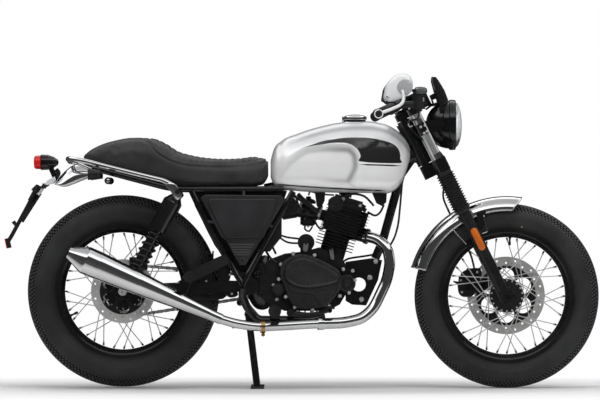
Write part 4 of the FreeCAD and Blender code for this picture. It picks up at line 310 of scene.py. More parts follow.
# A profile of (radius, reach) pairs turned about an axis.
def lathe(profile, base, way, steps=40, ring=False):
    along = Vector(way).normalized()
    side = along.orthogonal().normalized()
    up = along.cross(side)
    rings = []
    for radius, reach in profile:
        rings.append(circle(Vector(base) + along * reach, side, up, max(radius, 0.00005), steps))
    return stacked(rings, ring)


# The same about an axis that runs across the machine.
def turned(profile, x, z, steps=32, side=1, ring=False):
    return lathe(profile, (x, 0, z), (0, side, 0), steps, ring)


def tubeAlong(centres, radius, sides=10):
    rings, up = [], None
    for i, centre in enumerate(centres):
        before, after = centres[max(i - 1, 0)], centres[min(i + 1, len(centres) - 1)]
        heading = (Vector(after) - Vector(before)).normalized()
        if up is None:
            up = heading.orthogonal().normalized()
        up = (up - heading * up.dot(heading)).normalized()
        rings.append(circle(Vector(centre), up, heading.cross(up), radius, sides))
    return stacked(rings)


# A smooth curve's point between b and c, with a before them and d after.
def curveBetween(a, b, c, d, t):
    return 0.5 * (2 * b + (c - a) * t + (2 * a - 5 * b + 4 * c - d) * t * t
                  + (3 * b - a - 3 * c + d) * t ** 3)


# A closed smooth line through corners.
def smoothLine(corners, per=8):
    line = []
    for i in range(len(corners)):
        near = [np.array(corners[(i + k) % len(corners)]) for k in (-1, 0, 1, 2)]
        line += [curveBetween(*near, k / per) for k in range(per)]
    return np.array(line)


def softTube(corners, radius, per=8, sides=10):
    line = [np.array(c, float) for c in corners]
    ends = [2 * line[0] - line[1]] + line + [2 * line[-1] - line[-2]]
    centres = []
    for i in range(1, len(ends) - 2):
        centres += [curveBetween(*ends[i - 1:i + 3], k / per) for k in range(per)]
    return tubeAlong(centres + [line[-1]], radius, sides)


def insetLine(line, by):
    line = np.array(line)
    tangent = np.roll(line, -1, 0) - np.roll(line, 1, 0)
    tangent /= np.linalg.norm(tangent, axis=1, keepdims=True) + 1e-12
    x, z = line.T
    turn = np.sign(np.sum(x * np.roll(z, -1) - np.roll(x, -1) * z))
    outward = np.stack([tangent[:, 1], -tangent[:, 0]], 1) * turn
    return line - outward * by


# A point turned about a centre in the side view.
def turnedAbout(centre, u, v, degrees):
    c, s = math.cos(math.radians(degrees)), math.sin(math.radians(degrees))
    return (centre[0] + u * c - v * s, centre[1] + u * s + v * c)


# An outline in the side view, stacked at (inset, y) levels.
def sideStack(outline, levels, per=6):
    line = smoothLine(outline, per) if per else np.array(outline)
    return stacked([[(p[0], y, p[1]) for p in insetLine(line, inset)] for inset, y in levels])


# The same as a plate across the middle, with both rims bevelled.
def slab(outline, half, depth=0.002, inset=0.001):
    return sideStack(outline, [(inset, -half), (0, depth - half), (0, half - depth), (inset, half)], 0)


def hexBolt(centre, way, across=0.01, height=0.006):
    washer, radius = across * 0.72, across / 2 / math.cos(math.radians(30))
    rim = min(0.0012, height * 0.2)
    return joined([
        lathe([(washer, 0), (washer, rim), (washer * 0.94, rim * 1.3)], centre, way, 20),
        lathe([(radius, rim), (radius, height - 0.001), (radius * 0.86, height)], centre, way, 6),
    ])


rayTrees = {}


# How far out the first of some nodes lies, looking in from one side.
def reachOf(names, x, z, side=-1):
    best = 0.0
    for name in names:
        if name not in rayTrees:
            rayTrees[name] = BVHTree.FromObject(nodes[name], bpy.context.evaluated_depsgraph_get())
        hit = rayTrees[name].ray_cast(Vector((x, side * 1.0, z)), Vector((0, -side, 0)))[0]
        if hit is not None:
            best = max(best, hit.y * side)
    return side * best


def smoothStep(value, low, high):
    t = np.clip((value - low) / (high - low), 0, 1)
    return t * t * (3 - 2 * t)


# A soft ridge of height 1 about zero.
def ridge(away, width):
    return np.exp(-(away / width) ** 2)


# Signed distance from points to a closed outline in the side view, positive inside.
def outlineDepth(px, pz, outline):
    best = np.full(px.shape, 1e9)
    inside = np.zeros(px.shape, bool)
    for i in range(len(outline)):
        ax, az = outline[i]
        bx, bz = outline[(i + 1) % len(outline)]
        dx, dz = bx - ax, bz - az
        share = np.clip(((px - ax) * dx + (pz - az) * dz) / (dx * dx + dz * dz + 1e-18), 0, 1)
        best = np.minimum(best, np.hypot(px - ax - share * dx, pz - az - share * dz))
        slope = dx / (dz if abs(dz) > 1e-12 else 1e-12)
        inside ^= ((az > pz) != (bz > pz)) & (px < slope * (pz - az) + ax)
    return np.where(inside, best, -best)


# One column of a table of stations, as a smooth curve along the machine.
def stationCurve(stations, column):
    rows = np.array(sorted(stations))
    xs, values = rows[:, 0], rows[:, column]
    slopes = np.clip(np.gradient(values, xs), -9, 9)

    def curve(x):
        spot = np.clip(np.searchsorted(xs, x) - 1, 0, len(xs) - 2)
        gap = xs[spot + 1] - xs[spot]
        t = (x - xs[spot]) / gap
        rise = 3 * t ** 2 - 2 * t ** 3
        return ((1 - rise) * values[spot] + rise * values[spot + 1]
                + gap * ((t ** 3 - 2 * t ** 2 + t) * slopes[spot] + (t ** 3 - t ** 2) * slopes[spot + 1]))
    return curve


# A lofted shell over stations of (x, low, high, half width): its points' x, y and z and half widths.
def stationShell(size):
    stations, crowd = size["stations"], size["crowd"]
    back, front = min(stations)[0], max(stations)[0]
    share = np.cos(np.pi * (crowd + (1 - 2 * crowd) * np.arange(size["along"]) / (size["along"] - 1)))
    spots = back + (front - back) * (share - share[0]) / (share[-1] - share[0])
    x = np.repeat(spots[:, None], size["across"], 1)
    low, high, half = [stationCurve(stations, column)(x) for column in (1, 2, 3)]
    edge = np.clip(np.minimum(x - back, front - x) / 0.01, 0, 1)
    trim = 1 - size["endTrim"] * (1 - np.sqrt(np.clip(1 - (1 - edge) ** 2, 0, 1)))
    turn = 2 * np.pi * np.arange(size["across"])[None, :] / size["across"]
    c, s = np.cos(turn), np.sin(turn)
    power = 2 / np.where(s >= 0, size["topPower"], size["lowPower"])
    middle = low + (high - low) * size["waist"]
    y = half * trim * np.sign(c) * np.abs(c) ** power
    z = middle + np.where(s >= 0, high - middle, middle - low) * trim * np.sign(s) * np.abs(s) ** power
    return x, y, z, half


# Tyres: a lathe of the carcass with a ribbed tread and block rows on the shoulders.
tyreSizes = {
    "front": {"axle": (0.705, 0.0, 0.3175), "radius": 0.3175, "width": 0.11, "rimWidth": 0.064},
    "rear": {"axle": (-0.615, 0.0, 0.334), "radius": 0.33, "width": 0.13, "rimWidth": 0.076},
}
tread = {
    "steps": 750, "blockEvery": 5, "groove": 0.0034, "ribs": (0.006, 0.0135), "ribHalf": 0.0011,
    "gap": 0.0032,
    # Flange and seat radii, how far in from the crown the painted light and shade reach, the painted
    # highlight of the blocks and the painted shade of the grooves.
    "flange": 0.23, "seat": 0.2185, "painted": 0.03, "paintedTreadLight": (0.052, 0.052, 0.053),
    "sunk": (0.0025, 0.0025, 0.0025),
    # Each row's start and end under the crown, whether it is cut into blocks, and how far it is turned.
    "rows": [(0.0, 0.0022, False, 0), (0.0032, 0.0058, False, 0), (0.0068, 0.0122, True, 0),
             (0.0134, 0.0188, True, 2), (0.02, 0.025, True, 4)],
}


# Row at a depth under the crown: its number, None for the plain wall, -1 for a groove.
def treadRow(depth):
    if depth > tread["rows"][-1][1]:
        return None
    for number, row in enumerate(tread["rows"]):
        if row[0] <= depth <= row[1]:
            return number
    return -1


# Tyre rubber with painted light and shade laid over the relief: a painted highlight on the ribs and blocks,
# painted shade in the grooves.
def makeTreadFinish(side):
    size = tyreSizes[side]
    finish = makeFinish(side + "TreadRubberPaintedLight", finishLooks["tyreRubber"])
    tree = finish.node_tree
    shader = tree.nodes["Principled BSDF"]
    dx, dz, radius = fromAxle(tree, size["axle"])
    reach = tread["painted"]
    share = spread(tree, radius, size["radius"], size["radius"] - reach, 0.0, 1.0)
    ramp = addNode(tree, "ShaderNodeValToRGB", {0: share})
    band = ramp.color_ramp
    band.interpolation = "CONSTANT"
    band.elements[0].position, band.elements[0].color = 0.0, (0.5, 1, 0, 1)
    band.elements[1].position, band.elements[1].color = tread["rows"][0][1] / reach, (0, 0, 0, 1)
    for start, end, cut, turn in tread["rows"][1:]:
        band.elements.new(start / reach).color = (1, 0 if cut else 1, turn / tread["blockEvery"], 1)
        if end < tread["rows"][-1][1]:
            band.elements.new(end / reach).color = (0, 0, 0, 1)
    band.elements.new(tread["rows"][-1][1] / reach).color = (0.35, 1, 0, 1)
    bright, solid, turn = addNode(tree, "ShaderNodeSeparateColor", {0: ramp.outputs[0]}).outputs
    around = mathNode(tree, "MULTIPLY", mathNode(tree, "ARCTAN2", dz, dx),
                      tread["steps"] / tread["blockEvery"] / (2 * math.pi))
    part = mathNode(tree, "FRACT", mathNode(tree, "ADD", around, turn))
    block = mathNode(tree, "MAXIMUM", solid, mathNode(tree, "GREATER_THAN", part, 0.38))
    mask = mathNode(tree, "MULTIPLY", bright, block)
    bare = shader.inputs["Base Color"].links[0].from_socket
    # Painted highlight on the blocks and ribs, painted shade in the grooves between them.
    paintedTreadLight = mixColour(tree, mask, rgb(tread["sunk"]), rgb(tread["paintedTreadLight"]))
    wall = mathNode(tree, "GREATER_THAN", share, tread["rows"][-1][1] / reach)
    tree.links.new(mixColour(tree, wall, paintedTreadLight, bare), shader.inputs["Base Color"])
    return finish


for wheelSide in ("front", "rear"):
    finishes[wheelSide + "TreadRubberPaintedLight"] = makeTreadFinish(wheelSide)


def arcBetween(start, end, radius, count, bulge=1):
    sx, sy = start
    ex, ey = end
    mx, my = (sx + ex) / 2, (sy + ey) / 2
    dx, dy = ex - sx, ey - sy
    chord = math.hypot(dx, dy)
    rise = math.sqrt(max(radius * radius - chord * chord / 4, 0))
    cx, cy = mx - bulge * rise * dy / chord, my + bulge * rise * dx / chord
    first = math.atan2(sy - cy, sx - cx)
    last = math.atan2(ey - cy, ex - cx)
    turn = (last - first + math.pi) % (2 * math.pi) - math.pi
    return [(cx + radius * math.cos(first + turn * i / count),
             cy + radius * math.sin(first + turn * i / count)) for i in range(count + 1)]


def makeTyre(wheelSide, body):
    size = tyreSizes[wheelSide]
    radius, width = size["radius"], size["width"]
    shoulder = (radius - width * 0.1496, width / 2 * 0.67)
    crown = width * 0.45
    bead = size["rimWidth"] / 2 - 0.0003
    low = (tread["flange"] + 0.002, bead)
    # Half of the section, from the crown outwards: (radius, y, row)
    section = []
    top = arcBetween((shoulder[0], -shoulder[1]), shoulder, crown, 60, 1)
    if top[30][0] < shoulder[0]:
        top = arcBetween((shoulder[0], -shoulder[1]), shoulder, crown, 60, -1)
    for r, y in top[30:]:
        sunk = any(abs(y - rib) < tread["ribHalf"] for rib in tread["ribs"])
        section.append((r, y, -1 if sunk else treadRow(radius - r)))
    wall = arcBetween(shoulder, low, width * 0.345, 18, 1)
    if max(p[1] for p in wall) < shoulder[1] + 0.004:
        wall = arcBetween(shoulder, low, width * 0.345, 18, -1)
    for index, (r, y) in enumerate(wall[1:]):
        ring = 0.0007 if index in (10, 13, 15) else 0.0
        section.append((r, y - ring, treadRow(radius - r)))
    section.append((tread["seat"], bead, None))
    section.append((tread["seat"], bead - 0.008, None))
    whole = [(r, -y, row) for r, y, row in reversed(section[1:])] + section
    ax, ay, az = size["axle"]
    points, steps = [], tread["steps"]
    for i in range(steps):
        angle = 2 * math.pi * i / steps
        for r, y, row in whole:
            sink = 0.0
            if row == -1:
                sink = tread["groove"]
            elif row is not None and tread["rows"][row][2]:
                sink = tread["gap"] if (i + tread["rows"][row][3]) % tread["blockEvery"] < 2 else 0.0
            deep, side = r - (radius - 0.048), y
            slope = sink / max(math.hypot(deep, side), 1e-6)
            r, y = r - deep * slope, y - side * slope
            points.append((ax + r * math.cos(angle), ay + y, az + r * math.sin(angle)))
    tyre = (points, ringFaces(len(whole), steps, True))
    addPiece(wheelSide + "TyreTread", [tyre], wheelSide + "TreadRubberPaintedLight", body,
             [wheelSide + "_tyre"], smooth=False)


for wheelSide in ("front", "rear"):
    makeTyre(wheelSide, wheelSide + "_wheel")
print("tyres made")


# Tank: a lofted shell with a soft knee recess, a sunk black panel, a pinstripe and a lower lip.
tankSizes = {
    "stations": [
        (-0.108, 0.722, 0.79, 0.066), (-0.098, 0.7, 0.82, 0.084), (-0.07, 0.685, 0.851, 0.101),
        (-0.02, 0.678, 0.874, 0.117), (0.05, 0.674, 0.897, 0.129), (0.13, 0.672, 0.914, 0.134),
        (0.2, 0.671, 0.919, 0.133), (0.262, 0.671, 0.914, 0.124), (0.308, 0.674, 0.899, 0.109),
        (0.338, 0.7, 0.878, 0.092), (0.36, 0.748, 0.853, 0.07), (0.372, 0.788, 0.832, 0.044),
    ],
    "topPower": 2.25, "lowPower": 3.6, "waist": 0.36, "across": 300, "along": 236, "crowd": 0.06,
    "endTrim": 0.16, "knee": [
        (-0.096, 0.722), (-0.074, 0.762), (-0.04, 0.796), (-0.006, 0.82), (0.02, 0.831), (0.074, 0.838),
        (0.108, 0.839), (0.148, 0.838), (0.17, 0.833), (0.19, 0.814), (0.198, 0.79), (0.199, 0.758),
        (0.19, 0.732), (0.172, 0.7), (0.16, 0.69), (-0.092, 0.703),
    ],
    "kneeDepth": 0.015, "kneeBlend": 0.028, "lip": 0.0016,
    "panel": [
        (0.014, 0.829), (0.042, 0.839), (0.074, 0.851), (0.106, 0.859), (0.138, 0.864), (0.17, 0.8655),
        (0.202, 0.865), (0.234, 0.863), (0.266, 0.858), (0.298, 0.85), (0.323, 0.837), (0.336, 0.821),
        (0.341, 0.805), (0.341, 0.79), (0.337, 0.77), (0.198, 0.775), (0.197, 0.797), (0.19, 0.814),
        (0.178, 0.826), (0.163, 0.8345), (0.146, 0.839), (0.105, 0.8395), (0.074, 0.838), (0.042, 0.835),
    ],
    "panelDepth": 0.0022, "panelBlend": 0.007,
}


def tankSurface():
    x, y, z, half = stationShell(tankSizes)
    depth = outlineDepth(x, z, smoothLine(tankSizes["knee"], 6))
    side = np.clip(np.abs(y) / np.maximum(half, 1e-6), 0, 1)
    take = smoothStep(depth, -0.004, tankSizes["kneeBlend"]) * tankSizes["kneeDepth"]
    lip = ridge(depth + 0.006, 0.007) * tankSizes["lip"]
    fade = smoothStep(x, -0.1, 0.06)
    y = y - np.sign(y) * (take * (0.45 + 0.55 * fade) - lip * fade) * smoothStep(side, 0.5, 0.8)
    panelDepth = outlineDepth(x, z, smoothLine(tankSizes["panel"], 4))
    sunk = smoothStep(panelDepth, 0.0, tankSizes["panelBlend"])
    y = y - np.sign(y) * sunk * tankSizes["panelDepth"] * (side > 0.5)
    # Lower lip under the pinstripe.
    groove = ridge(z - (0.7018 - 0.06 * (x + 0.1)), 0.0026) * tankSizes["lip"]
    y = y - np.sign(y) * groove * smoothStep(side, 0.5, 0.8)
    return np.stack([x, y, z], -1).reshape(-1, 3), ringFaces(tankSizes["across"], tankSizes["along"])


def cutWith(piece, cutter):
    change = piece.modifiers.new("cut", "BOOLEAN")
    change.operation = "DIFFERENCE"
    change.solver = "EXACT"
    change.object = cutter
    depsgraph = bpy.context.evaluated_depsgraph_get()
    mesh = bpy.data.meshes.new_from_object(piece.evaluated_get(depsgraph))
    piece.modifiers.clear()
    piece.data = mesh
    bpy.data.objects.remove(cutter)


# Room under the tank for the backbone and round the steering head.
tunnel = {"half": 0.0272, "rise": 0.0392, "line": (0.71211, 0.21964),
          "head": ((0.4601, 0, 0.6987), (0.32946, 0, 0.96656)), "headRadius": 0.0302,
          "cap": (0.183, 0.904, 0.056, 0.0382)}


# A painted line of half a width each side of a height, tapering to its two ends.
def stripe(tree, x, z, height, halfWidth, start, end):
    fromEnds = mathNode(tree, "MINIMUM", mathNode(tree, "SUBTRACT", x, start),
                        mathNode(tree, "SUBTRACT", end, x))
    width = spread(tree, fromEnds, 0.0, 0.03, 0.0, halfWidth)
    off = mathNode(tree, "ABSOLUTE", mathNode(tree, "SUBTRACT", z, height))
    return spread(tree, mathNode(tree, "SUBTRACT", width, off), -0.0002, 0.0002, 0.0, 1.0)


# The tank's paint: silver, with the black panel, a black line under it and one along the lower edge, and
# painted shade in the knee recess, under the crest and at the rear end.
def makeTankPaint():
    paint = makeFinish("tankPaintPanel", finishLooks["tankPaint"])
    tree = paint.node_tree
    shader = tree.nodes["Principled BSDF"]
    silver = shader.inputs["Base Color"].links[0].from_socket
    rough = shader.inputs["Roughness"].links[0].from_socket
    depth = addNode(tree, "ShaderNodeAttribute", attribute_name="panelDepth").outputs["Fac"]
    inPanel = spread(tree, depth, 0.0036, 0.0042, 0.0, 1.0)
    x, y, z = ownPlace(tree)
    reach = mathNode(tree, "ADD", x, 0.1)
    bend = mathNode(tree, "MULTIPLY", mathNode(tree, "MULTIPLY", reach, reach), 0.062)
    slope = mathNode(tree, "MULTIPLY", reach, -0.084)
    lowLine = mathNode(tree, "ADD", mathNode(tree, "ADD", slope, bend), 0.7018)
    inLow = stripe(tree, x, z, lowLine, 0.0026, -0.0985, 0.292)
    underLine = mathNode(tree, "ADD", mathNode(tree, "MULTIPLY", x, -0.03), 0.7748)
    inUnder = stripe(tree, x, z, underLine, 0.0025, 0.1945, 0.342)
    side = spread(tree, mathNode(tree, "ABSOLUTE", y), 0.028, 0.03, 0.0, 1.0)
    inLine = mathNode(tree, "MULTIPLY", mathNode(tree, "MAXIMUM", inLow, inUnder), side)
    black = mathNode(tree, "MAXIMUM", inPanel, inLine)
    # Painted shade from the tank's shade attribute, darkening the silver in the knee recess, under the crest
    # and at the rear end.
    paintedShadeShare = addNode(tree, "ShaderNodeAttribute", attribute_name="paintedShade").outputs["Fac"]
    # Painted light: the silver is painted paler towards the lower part of the tank.
    low = spread(tree, z, 0.8, 0.85, 0.62, 0.0)
    silver = mixColour(tree, low, silver, rgb((0.92, 0.92, 0.925)))
    silver = mixColour(tree, mathNode(tree, "MULTIPLY", paintedShadeShare, 0.72), silver, rgb((0.2, 0.2, 0.205)))
    tree.links.new(mixColour(tree, black, silver, rgb((0.013, 0.013, 0.0135))), shader.inputs["Base Color"])
    tree.links.new(spread(tree, black, 0.0, 1.0, finishLooks["tankPaint"]["metal"], 0.0),
                   shader.inputs["Metallic"])
    blend = addNode(tree, "ShaderNodeMix", {0: black, 2: rough, 3: 0.2})
    tree.links.new(blend.outputs[0], shader.inputs["Roughness"])
    return paint


def makeTank():
    tank = rawMesh("tankShell", *tankSurface())
    half, rise = tunnel["half"], tunnel["rise"]
    box = []
    for x in (-0.13, 0.39):
        for y in (-half, half):
            box.append((x, y, 0.62))
            box.append((x, y, tunnel["line"][0] + tunnel["line"][1] * x + rise))
    order = [(0, 2, 3, 1), (4, 5, 7, 6), (0, 1, 5, 4), (2, 6, 7, 3), (0, 4, 6, 2), (1, 3, 7, 5)]
    cutWith(tank, rawMesh("tunnelCut", box, order))
    start, end = [Vector(point) for point in tunnel["head"]]
    radius = tunnel["headRadius"]
    headCut = lathe([(radius, 0), (radius, (end - start).length)], start, end - start, 64)
    cutWith(tank, rawMesh("headCut", *headCut))
    x, foot, high, radius = tunnel["cap"]
    cutWith(tank, rawMesh("capCut", *lathe([(radius, 0), (radius, high)], (x, 0, foot), (0, 0, 1), 96)))
    spots = np.array([v.co[:] for v in tank.data.vertices])
    x, y, z = spots.T
    depth = np.where(np.abs(y) > 0.03, outlineDepth(x, z, smoothLine(tankSizes["panel"], 4)), -1)
    depth = depth + 0.0044 * (1 - smoothStep(x, 0.05, 0.12))
    # Painted shade: darker bands inside the knee recess, in a band under the crest and at the rear end.
    inner = outlineDepth(x, z, smoothLine(tankSizes["knee"], 6))
    kneeShade = ridge(inner - 0.018, 0.01) * (0.25 + 0.75 * smoothStep(x, 0.03, 0.16))
    kneeShade = kneeShade * smoothStep(z, 0.69, 0.72)
    crest = stationCurve(tankSizes["stations"], 2)(x) - 0.024
    crestShade = ridge(crest - z, 0.008) * 0.75 * smoothStep(x, -0.08, 0.04)
    rearShade = 0.3 * (1 - smoothStep(x, -0.085, -0.045))
    tone = np.where(np.abs(y) > 0.03, np.maximum(np.maximum(kneeShade, crestShade), rearShade), 0)
    for name, values in (("panelDepth", depth), ("paintedShade", tone)):
        field = tank.data.attributes.new(name, "FLOAT", "POINT")
        field.data.foreach_set("value", values.astype(np.float32))
    keepPiece(tank, makeTankPaint(), "chassis", ["tank"])


makeTank()
print("tank made")


# Seat: a padded cover swollen by the cloth solver, then the seam and the sewn channels of its insert.
seatSizes = {
    "stations": [
        (-0.1145, 0.73, 0.78, 0.06), (-0.124, 0.712, 0.791, 0.074), (-0.15, 0.702, 0.793, 0.087),
        (-0.214, 0.696, 0.784, 0.098), (-0.3, 0.696, 0.783, 0.107), (-0.38, 0.697, 0.794, 0.114),
        (-0.43, 0.7, 0.809, 0.116), (-0.47, 0.708, 0.835, 0.117), (-0.51, 0.717, 0.852, 0.116),
        (-0.576, 0.735, 0.856, 0.113), (-0.64, 0.753, 0.851, 0.104), (-0.7, 0.772, 0.837, 0.085),
        (-0.74, 0.782, 0.817, 0.057), (-0.755, 0.786, 0.804, 0.032),
    ],
    "topPower": 2.7, "lowPower": 4.2, "waist": 0.42, "along": 250, "across": 224, "crowd": 0.08,
    "endTrim": 0.0, "swell": 0.006, "pressure": 4.0, "voxel": 0.006,
    "seam": [
        (-0.5239, 0.8575), (-0.5214, 0.8406), (-0.5094, 0.8209), (-0.4849, 0.7992), (-0.446, 0.7796),
        (-0.3974, 0.7665), (-0.3243, 0.7617), (-0.2516, 0.7617), (-0.1785, 0.7665), (-0.1348, 0.7748),
        (-0.1181, 0.787), (-0.115, 0.796),
    ],
    "ribPitch": 0.02, "ribDepth": 0.0024, "border": 0.011, "borderDepth": 0.0014, "seamDepth": 0.0034,
    "raised": 0.0015,
}


def swellBySolver(points, faces):
    pad = rawMesh("seatPad", points, faces)
    remesh = pad.modifiers.new("remesh", "REMESH")
    remesh.mode = "VOXEL"
    remesh.voxel_size = seatSizes["voxel"]
    depsgraph = bpy.context.evaluated_depsgraph_get()
    pad.data = bpy.data.meshes.new_from_object(pad.evaluated_get(depsgraph))
    pad.modifiers.clear()
    start = np.array([v.co[:] for v in pad.data.vertices])
    cloth = pad.modifiers.new("cloth", "CLOTH")
    cloth.settings.use_pressure = True
    cloth.settings.uniform_pressure_force = seatSizes["pressure"]
    cloth.settings.effector_weights.gravity = 0.0
    for step in range(1, 21):
        stageScene.frame_set(step)
    depsgraph = bpy.context.evaluated_depsgraph_get()
    swollen = bpy.data.meshes.new_from_object(pad.evaluated_get(depsgraph))
    end = np.array([v.co[:] for v in swollen.vertices])
    move = end - start
    length = np.linalg.norm(move, axis=1, keepdims=True)
    move *= np.minimum(1, seatSizes["swell"] / np.maximum(length, 1e-9))
    swollen.vertices.foreach_set("co", (start + move).ravel())
    pad.modifiers.clear()
    pad.data = swollen
    stageScene.frame_set(1)
    return pad


def makeSeat():
    points = np.stack(stationShell(seatSizes)[:3], -1).reshape(-1, 3)
    faces = ringFaces(seatSizes["across"], seatSizes["along"])
    pad = swellBySolver(points, faces)
    tree = BVHTree.FromObject(pad, bpy.context.evaluated_depsgraph_get())
    for index, point in enumerate(points):
        points[index] = tree.find_nearest(Vector(point))[0]
    bpy.data.objects.remove(pad)
    seam = [np.array(p) for p in seatSizes["seam"]]
    region = np.array(list(smoothLine(seam, 6)[:-12]) + [seam[-1], (-0.115, 0.95), (-0.5239, 0.95)])
    x, z = points[:, 0], points[:, 2]
    depth = outlineDepth(x, z, region)
    mesh = rawMesh("seatCover", points, faces)
    normals = np.array([v.normal[:] for v in mesh.data.vertices])
    groove = ridge(depth, 0.0032) * seatSizes["seamDepth"]
    raised = smoothStep(depth, 0.002, 0.01) * seatSizes["raised"]
    phase = np.abs(((x + 0.5) / seatSizes["ribPitch"]) % 1 - 0.5) * seatSizes["ribPitch"]
    inInsert = smoothStep(depth, seatSizes["border"], seatSizes["border"] + 0.004)
    inInsert *= smoothStep(x, -0.512, -0.506) * (1 - smoothStep(x, -0.136, -0.13))
    channel = ridge(phase, 0.0024) * seatSizes["ribDepth"] * inInsert
    frameLine = ridge(depth - seatSizes["border"], 0.0022) * seatSizes["borderDepth"]
    shift = raised - groove - channel - frameLine * (z > 0.74)
    points = points + normals * shift[:, None]
    mesh.data.vertices.foreach_set("co", points.astype(np.float32).ravel())
    mesh.data.update()
    cover = keepPiece(mesh, "leather", "chassis", ["seat"])


makeSeat()
print("seat made")


# Springs: a wound wire in place of the rings.
springSizes = {"low": (-0.582, 0.386), "top": (-0.426, 0.676), "side": 0.132, "wire": 0.004, "coil": 0.0232,
               "start": 0.0352, "end": 0.1772, "turns": 7.6, "perTurn": 28, "round": 10}


def springWire(side):
    size = springSizes
    (lowX, lowZ), (topX, topZ) = size["low"], size["top"]
    base = Vector((lowX, side * size["side"], lowZ))
    along = Vector((topX - lowX, 0, topZ - lowZ)).normalized()
    across = along.orthogonal().normalized()
    up = along.cross(across)
    count = int(size["turns"] * size["perTurn"])
    centres = []
    for i in range(count + 1):
        share = i / count
        # The coils lie closer at both ends.
        length = size["end"] - size["start"]
        height = size["start"] + length * 0.5 * (share + float(smoothStep(share, 0.0, 1.0)))
        turn = 2 * math.pi * size["turns"] * share
        centres.append(base + along * height + (across * math.cos(turn) + up * math.sin(turn)) * size["coil"])
    return tubeAlong(centres, size["wire"], size["round"])


def makeSprings():
    parts = [springWire(side) for side in (-1, 1)]
    addPiece("woundSprings", parts, "frameBlack", "chassis", ["shock_springs"])


makeSprings()
print("springs made")


# Engine: a point by its distance forward of, beside and up the cylinder, which leans forward.
engineSizes = {
    "foot": (0.1, 0.452), "lean": 17.0,
    "fins": {"start": 0.0935, "count": 9, "pitch": 0.0105, "thick": 0.0026, "round": 0.0006,
             "half": (0.0772, 0.0655), "corner": 0.014, "forward": 0.011, "topDraw": 0.004},
    "core": {"half": (0.0707, 0.04), "forward": 0.0105},
    "ribs": {"count": 7, "start": -0.002, "pitch": 0.0085, "half": 0.043, "thick": 0.0016, "fall": 0.0015,
             "levels": [(0.0, 0.19), (0.0, 0.2105), (0.0008, 0.2125)]},
    "tappets": {"places": [(-0.033, -10), (0.05, 14)], "foot": 0.184,
                "rim": [(0.019, 0), (0.019, 0.012), (0.017, 0.014), (0.0125, 0.0145)],
                "nut": [(0.0115, 0.0145), (0.0115, 0.02), (0.01, 0.0215)]},
    "camCover": {"at": (0.116, 0.634), "radius": 0.027, "face": -0.0708, "screws": (30, 150, 270),
                 "profile": [(1, -0.05), (1, -0.068), (0.94, -0.0705), (0.8, -0.0712), (0.76, -0.0695),
                             (0.3, -0.0695)]},
}
fourCorners = ((1, 1), (-1, 1), (-1, -1), (1, -1))


def onCylinder(f, y, a):
    lean = math.radians(engineSizes["lean"])
    x = engineSizes["foot"][0] + f * math.cos(lean) + a * math.sin(lean)
    return (x, y, engineSizes["foot"][1] - f * math.sin(lean) + a * math.cos(lean))


def roundedPlan(halfF, halfY, corner, per=7):
    plan = []
    for turn, (cf, cy) in enumerate(fourCorners):
        for k in range(per + 1):
            angle = math.radians(90 * turn + 90 * k / per)
            f, y = corner * math.cos(angle), corner * math.sin(angle)
            plan.append((cf * (halfF - corner) + f, cy * (halfY - corner) + y))
    return plan


# Level plans up the cylinder: (half length, half width, corner, forward, height) each.
def cylinderStack(levels):
    rings = []
    for halfF, halfY, corner, forward, a in levels:
        rings.append([onCylinder(f + forward, y, a) for f, y in roundedPlan(halfF, halfY, corner)])
    return stacked(rings)


def makeFins():
    fins, core = engineSizes["fins"], engineSizes["core"]
    halfF, halfY = fins["half"]
    thick, edge = fins["thick"], fins["round"]
    parts = []
    for i in range(fins["count"]):
        a = fins["start"] + i * fins["pitch"]
        draw = fins["topDraw"] if i == fins["count"] - 1 else 0.0
        levels = []
        for inset, rise in ((2 * edge, 0.0), (0.0, edge), (0.0, thick - edge), (2 * edge, thick)):
            less = inset + draw
            levels.append((halfF - less, halfY - less, fins["corner"] - inset, fins["forward"], a + rise))
        parts.append(cylinderStack(levels))
    top = fins["start"] + (fins["count"] - 1) * fins["pitch"]
    parts.append(cylinderStack([(*core["half"], fins["corner"], core["forward"], a)
                                for a in (fins["start"], top)]))
    # Ribs across the rocker cover, and the two tappet caps.
    ribs = engineSizes["ribs"]
    for i in range(ribs["count"]):
        f = ribs["start"] + i * ribs["pitch"]
        rings = []
        for inset, rise in ribs["levels"]:
            half = ribs["half"] - inset - abs(i - ribs["count"] // 2) * ribs["fall"]
            wide = ribs["thick"] - inset
            rings.append([onCylinder(f + df * wide, dy * half, rise) for df, dy in fourCorners])
        parts.append(stacked(rings))
    tappets = engineSizes["tappets"]
    for f, tip in tappets["places"]:
        base = onCylinder(f, 0, tappets["foot"])
        tip = math.radians(tip)
        way = Vector(onCylinder(math.sin(tip), 0, math.cos(tip))) - Vector(onCylinder(0, 0, 0))
        parts.append(lathe(tappets["rim"], base, way, 28))
        parts.append(lathe(tappets["nut"], base, way, 6))
    # Round cover at the end of the camshaft, with its three screws.
    cam = engineSizes["camCover"]
    (x, z), r = cam["at"], cam["radius"]
    parts.append(turned([(share * r, y) for share, y in cam["profile"]], x, z, 48))
    for turn in cam["screws"]:
        angle = math.radians(turn)
        at = (x + math.cos(angle) * r * 0.87, cam["face"], z + math.sin(angle) * r * 0.87)
        parts.append(hexBolt(at, (0, -1, 0), 0.007, 0.004))
    addPiece("headFins", parts, "engineBlack", "chassis", smooth=False)


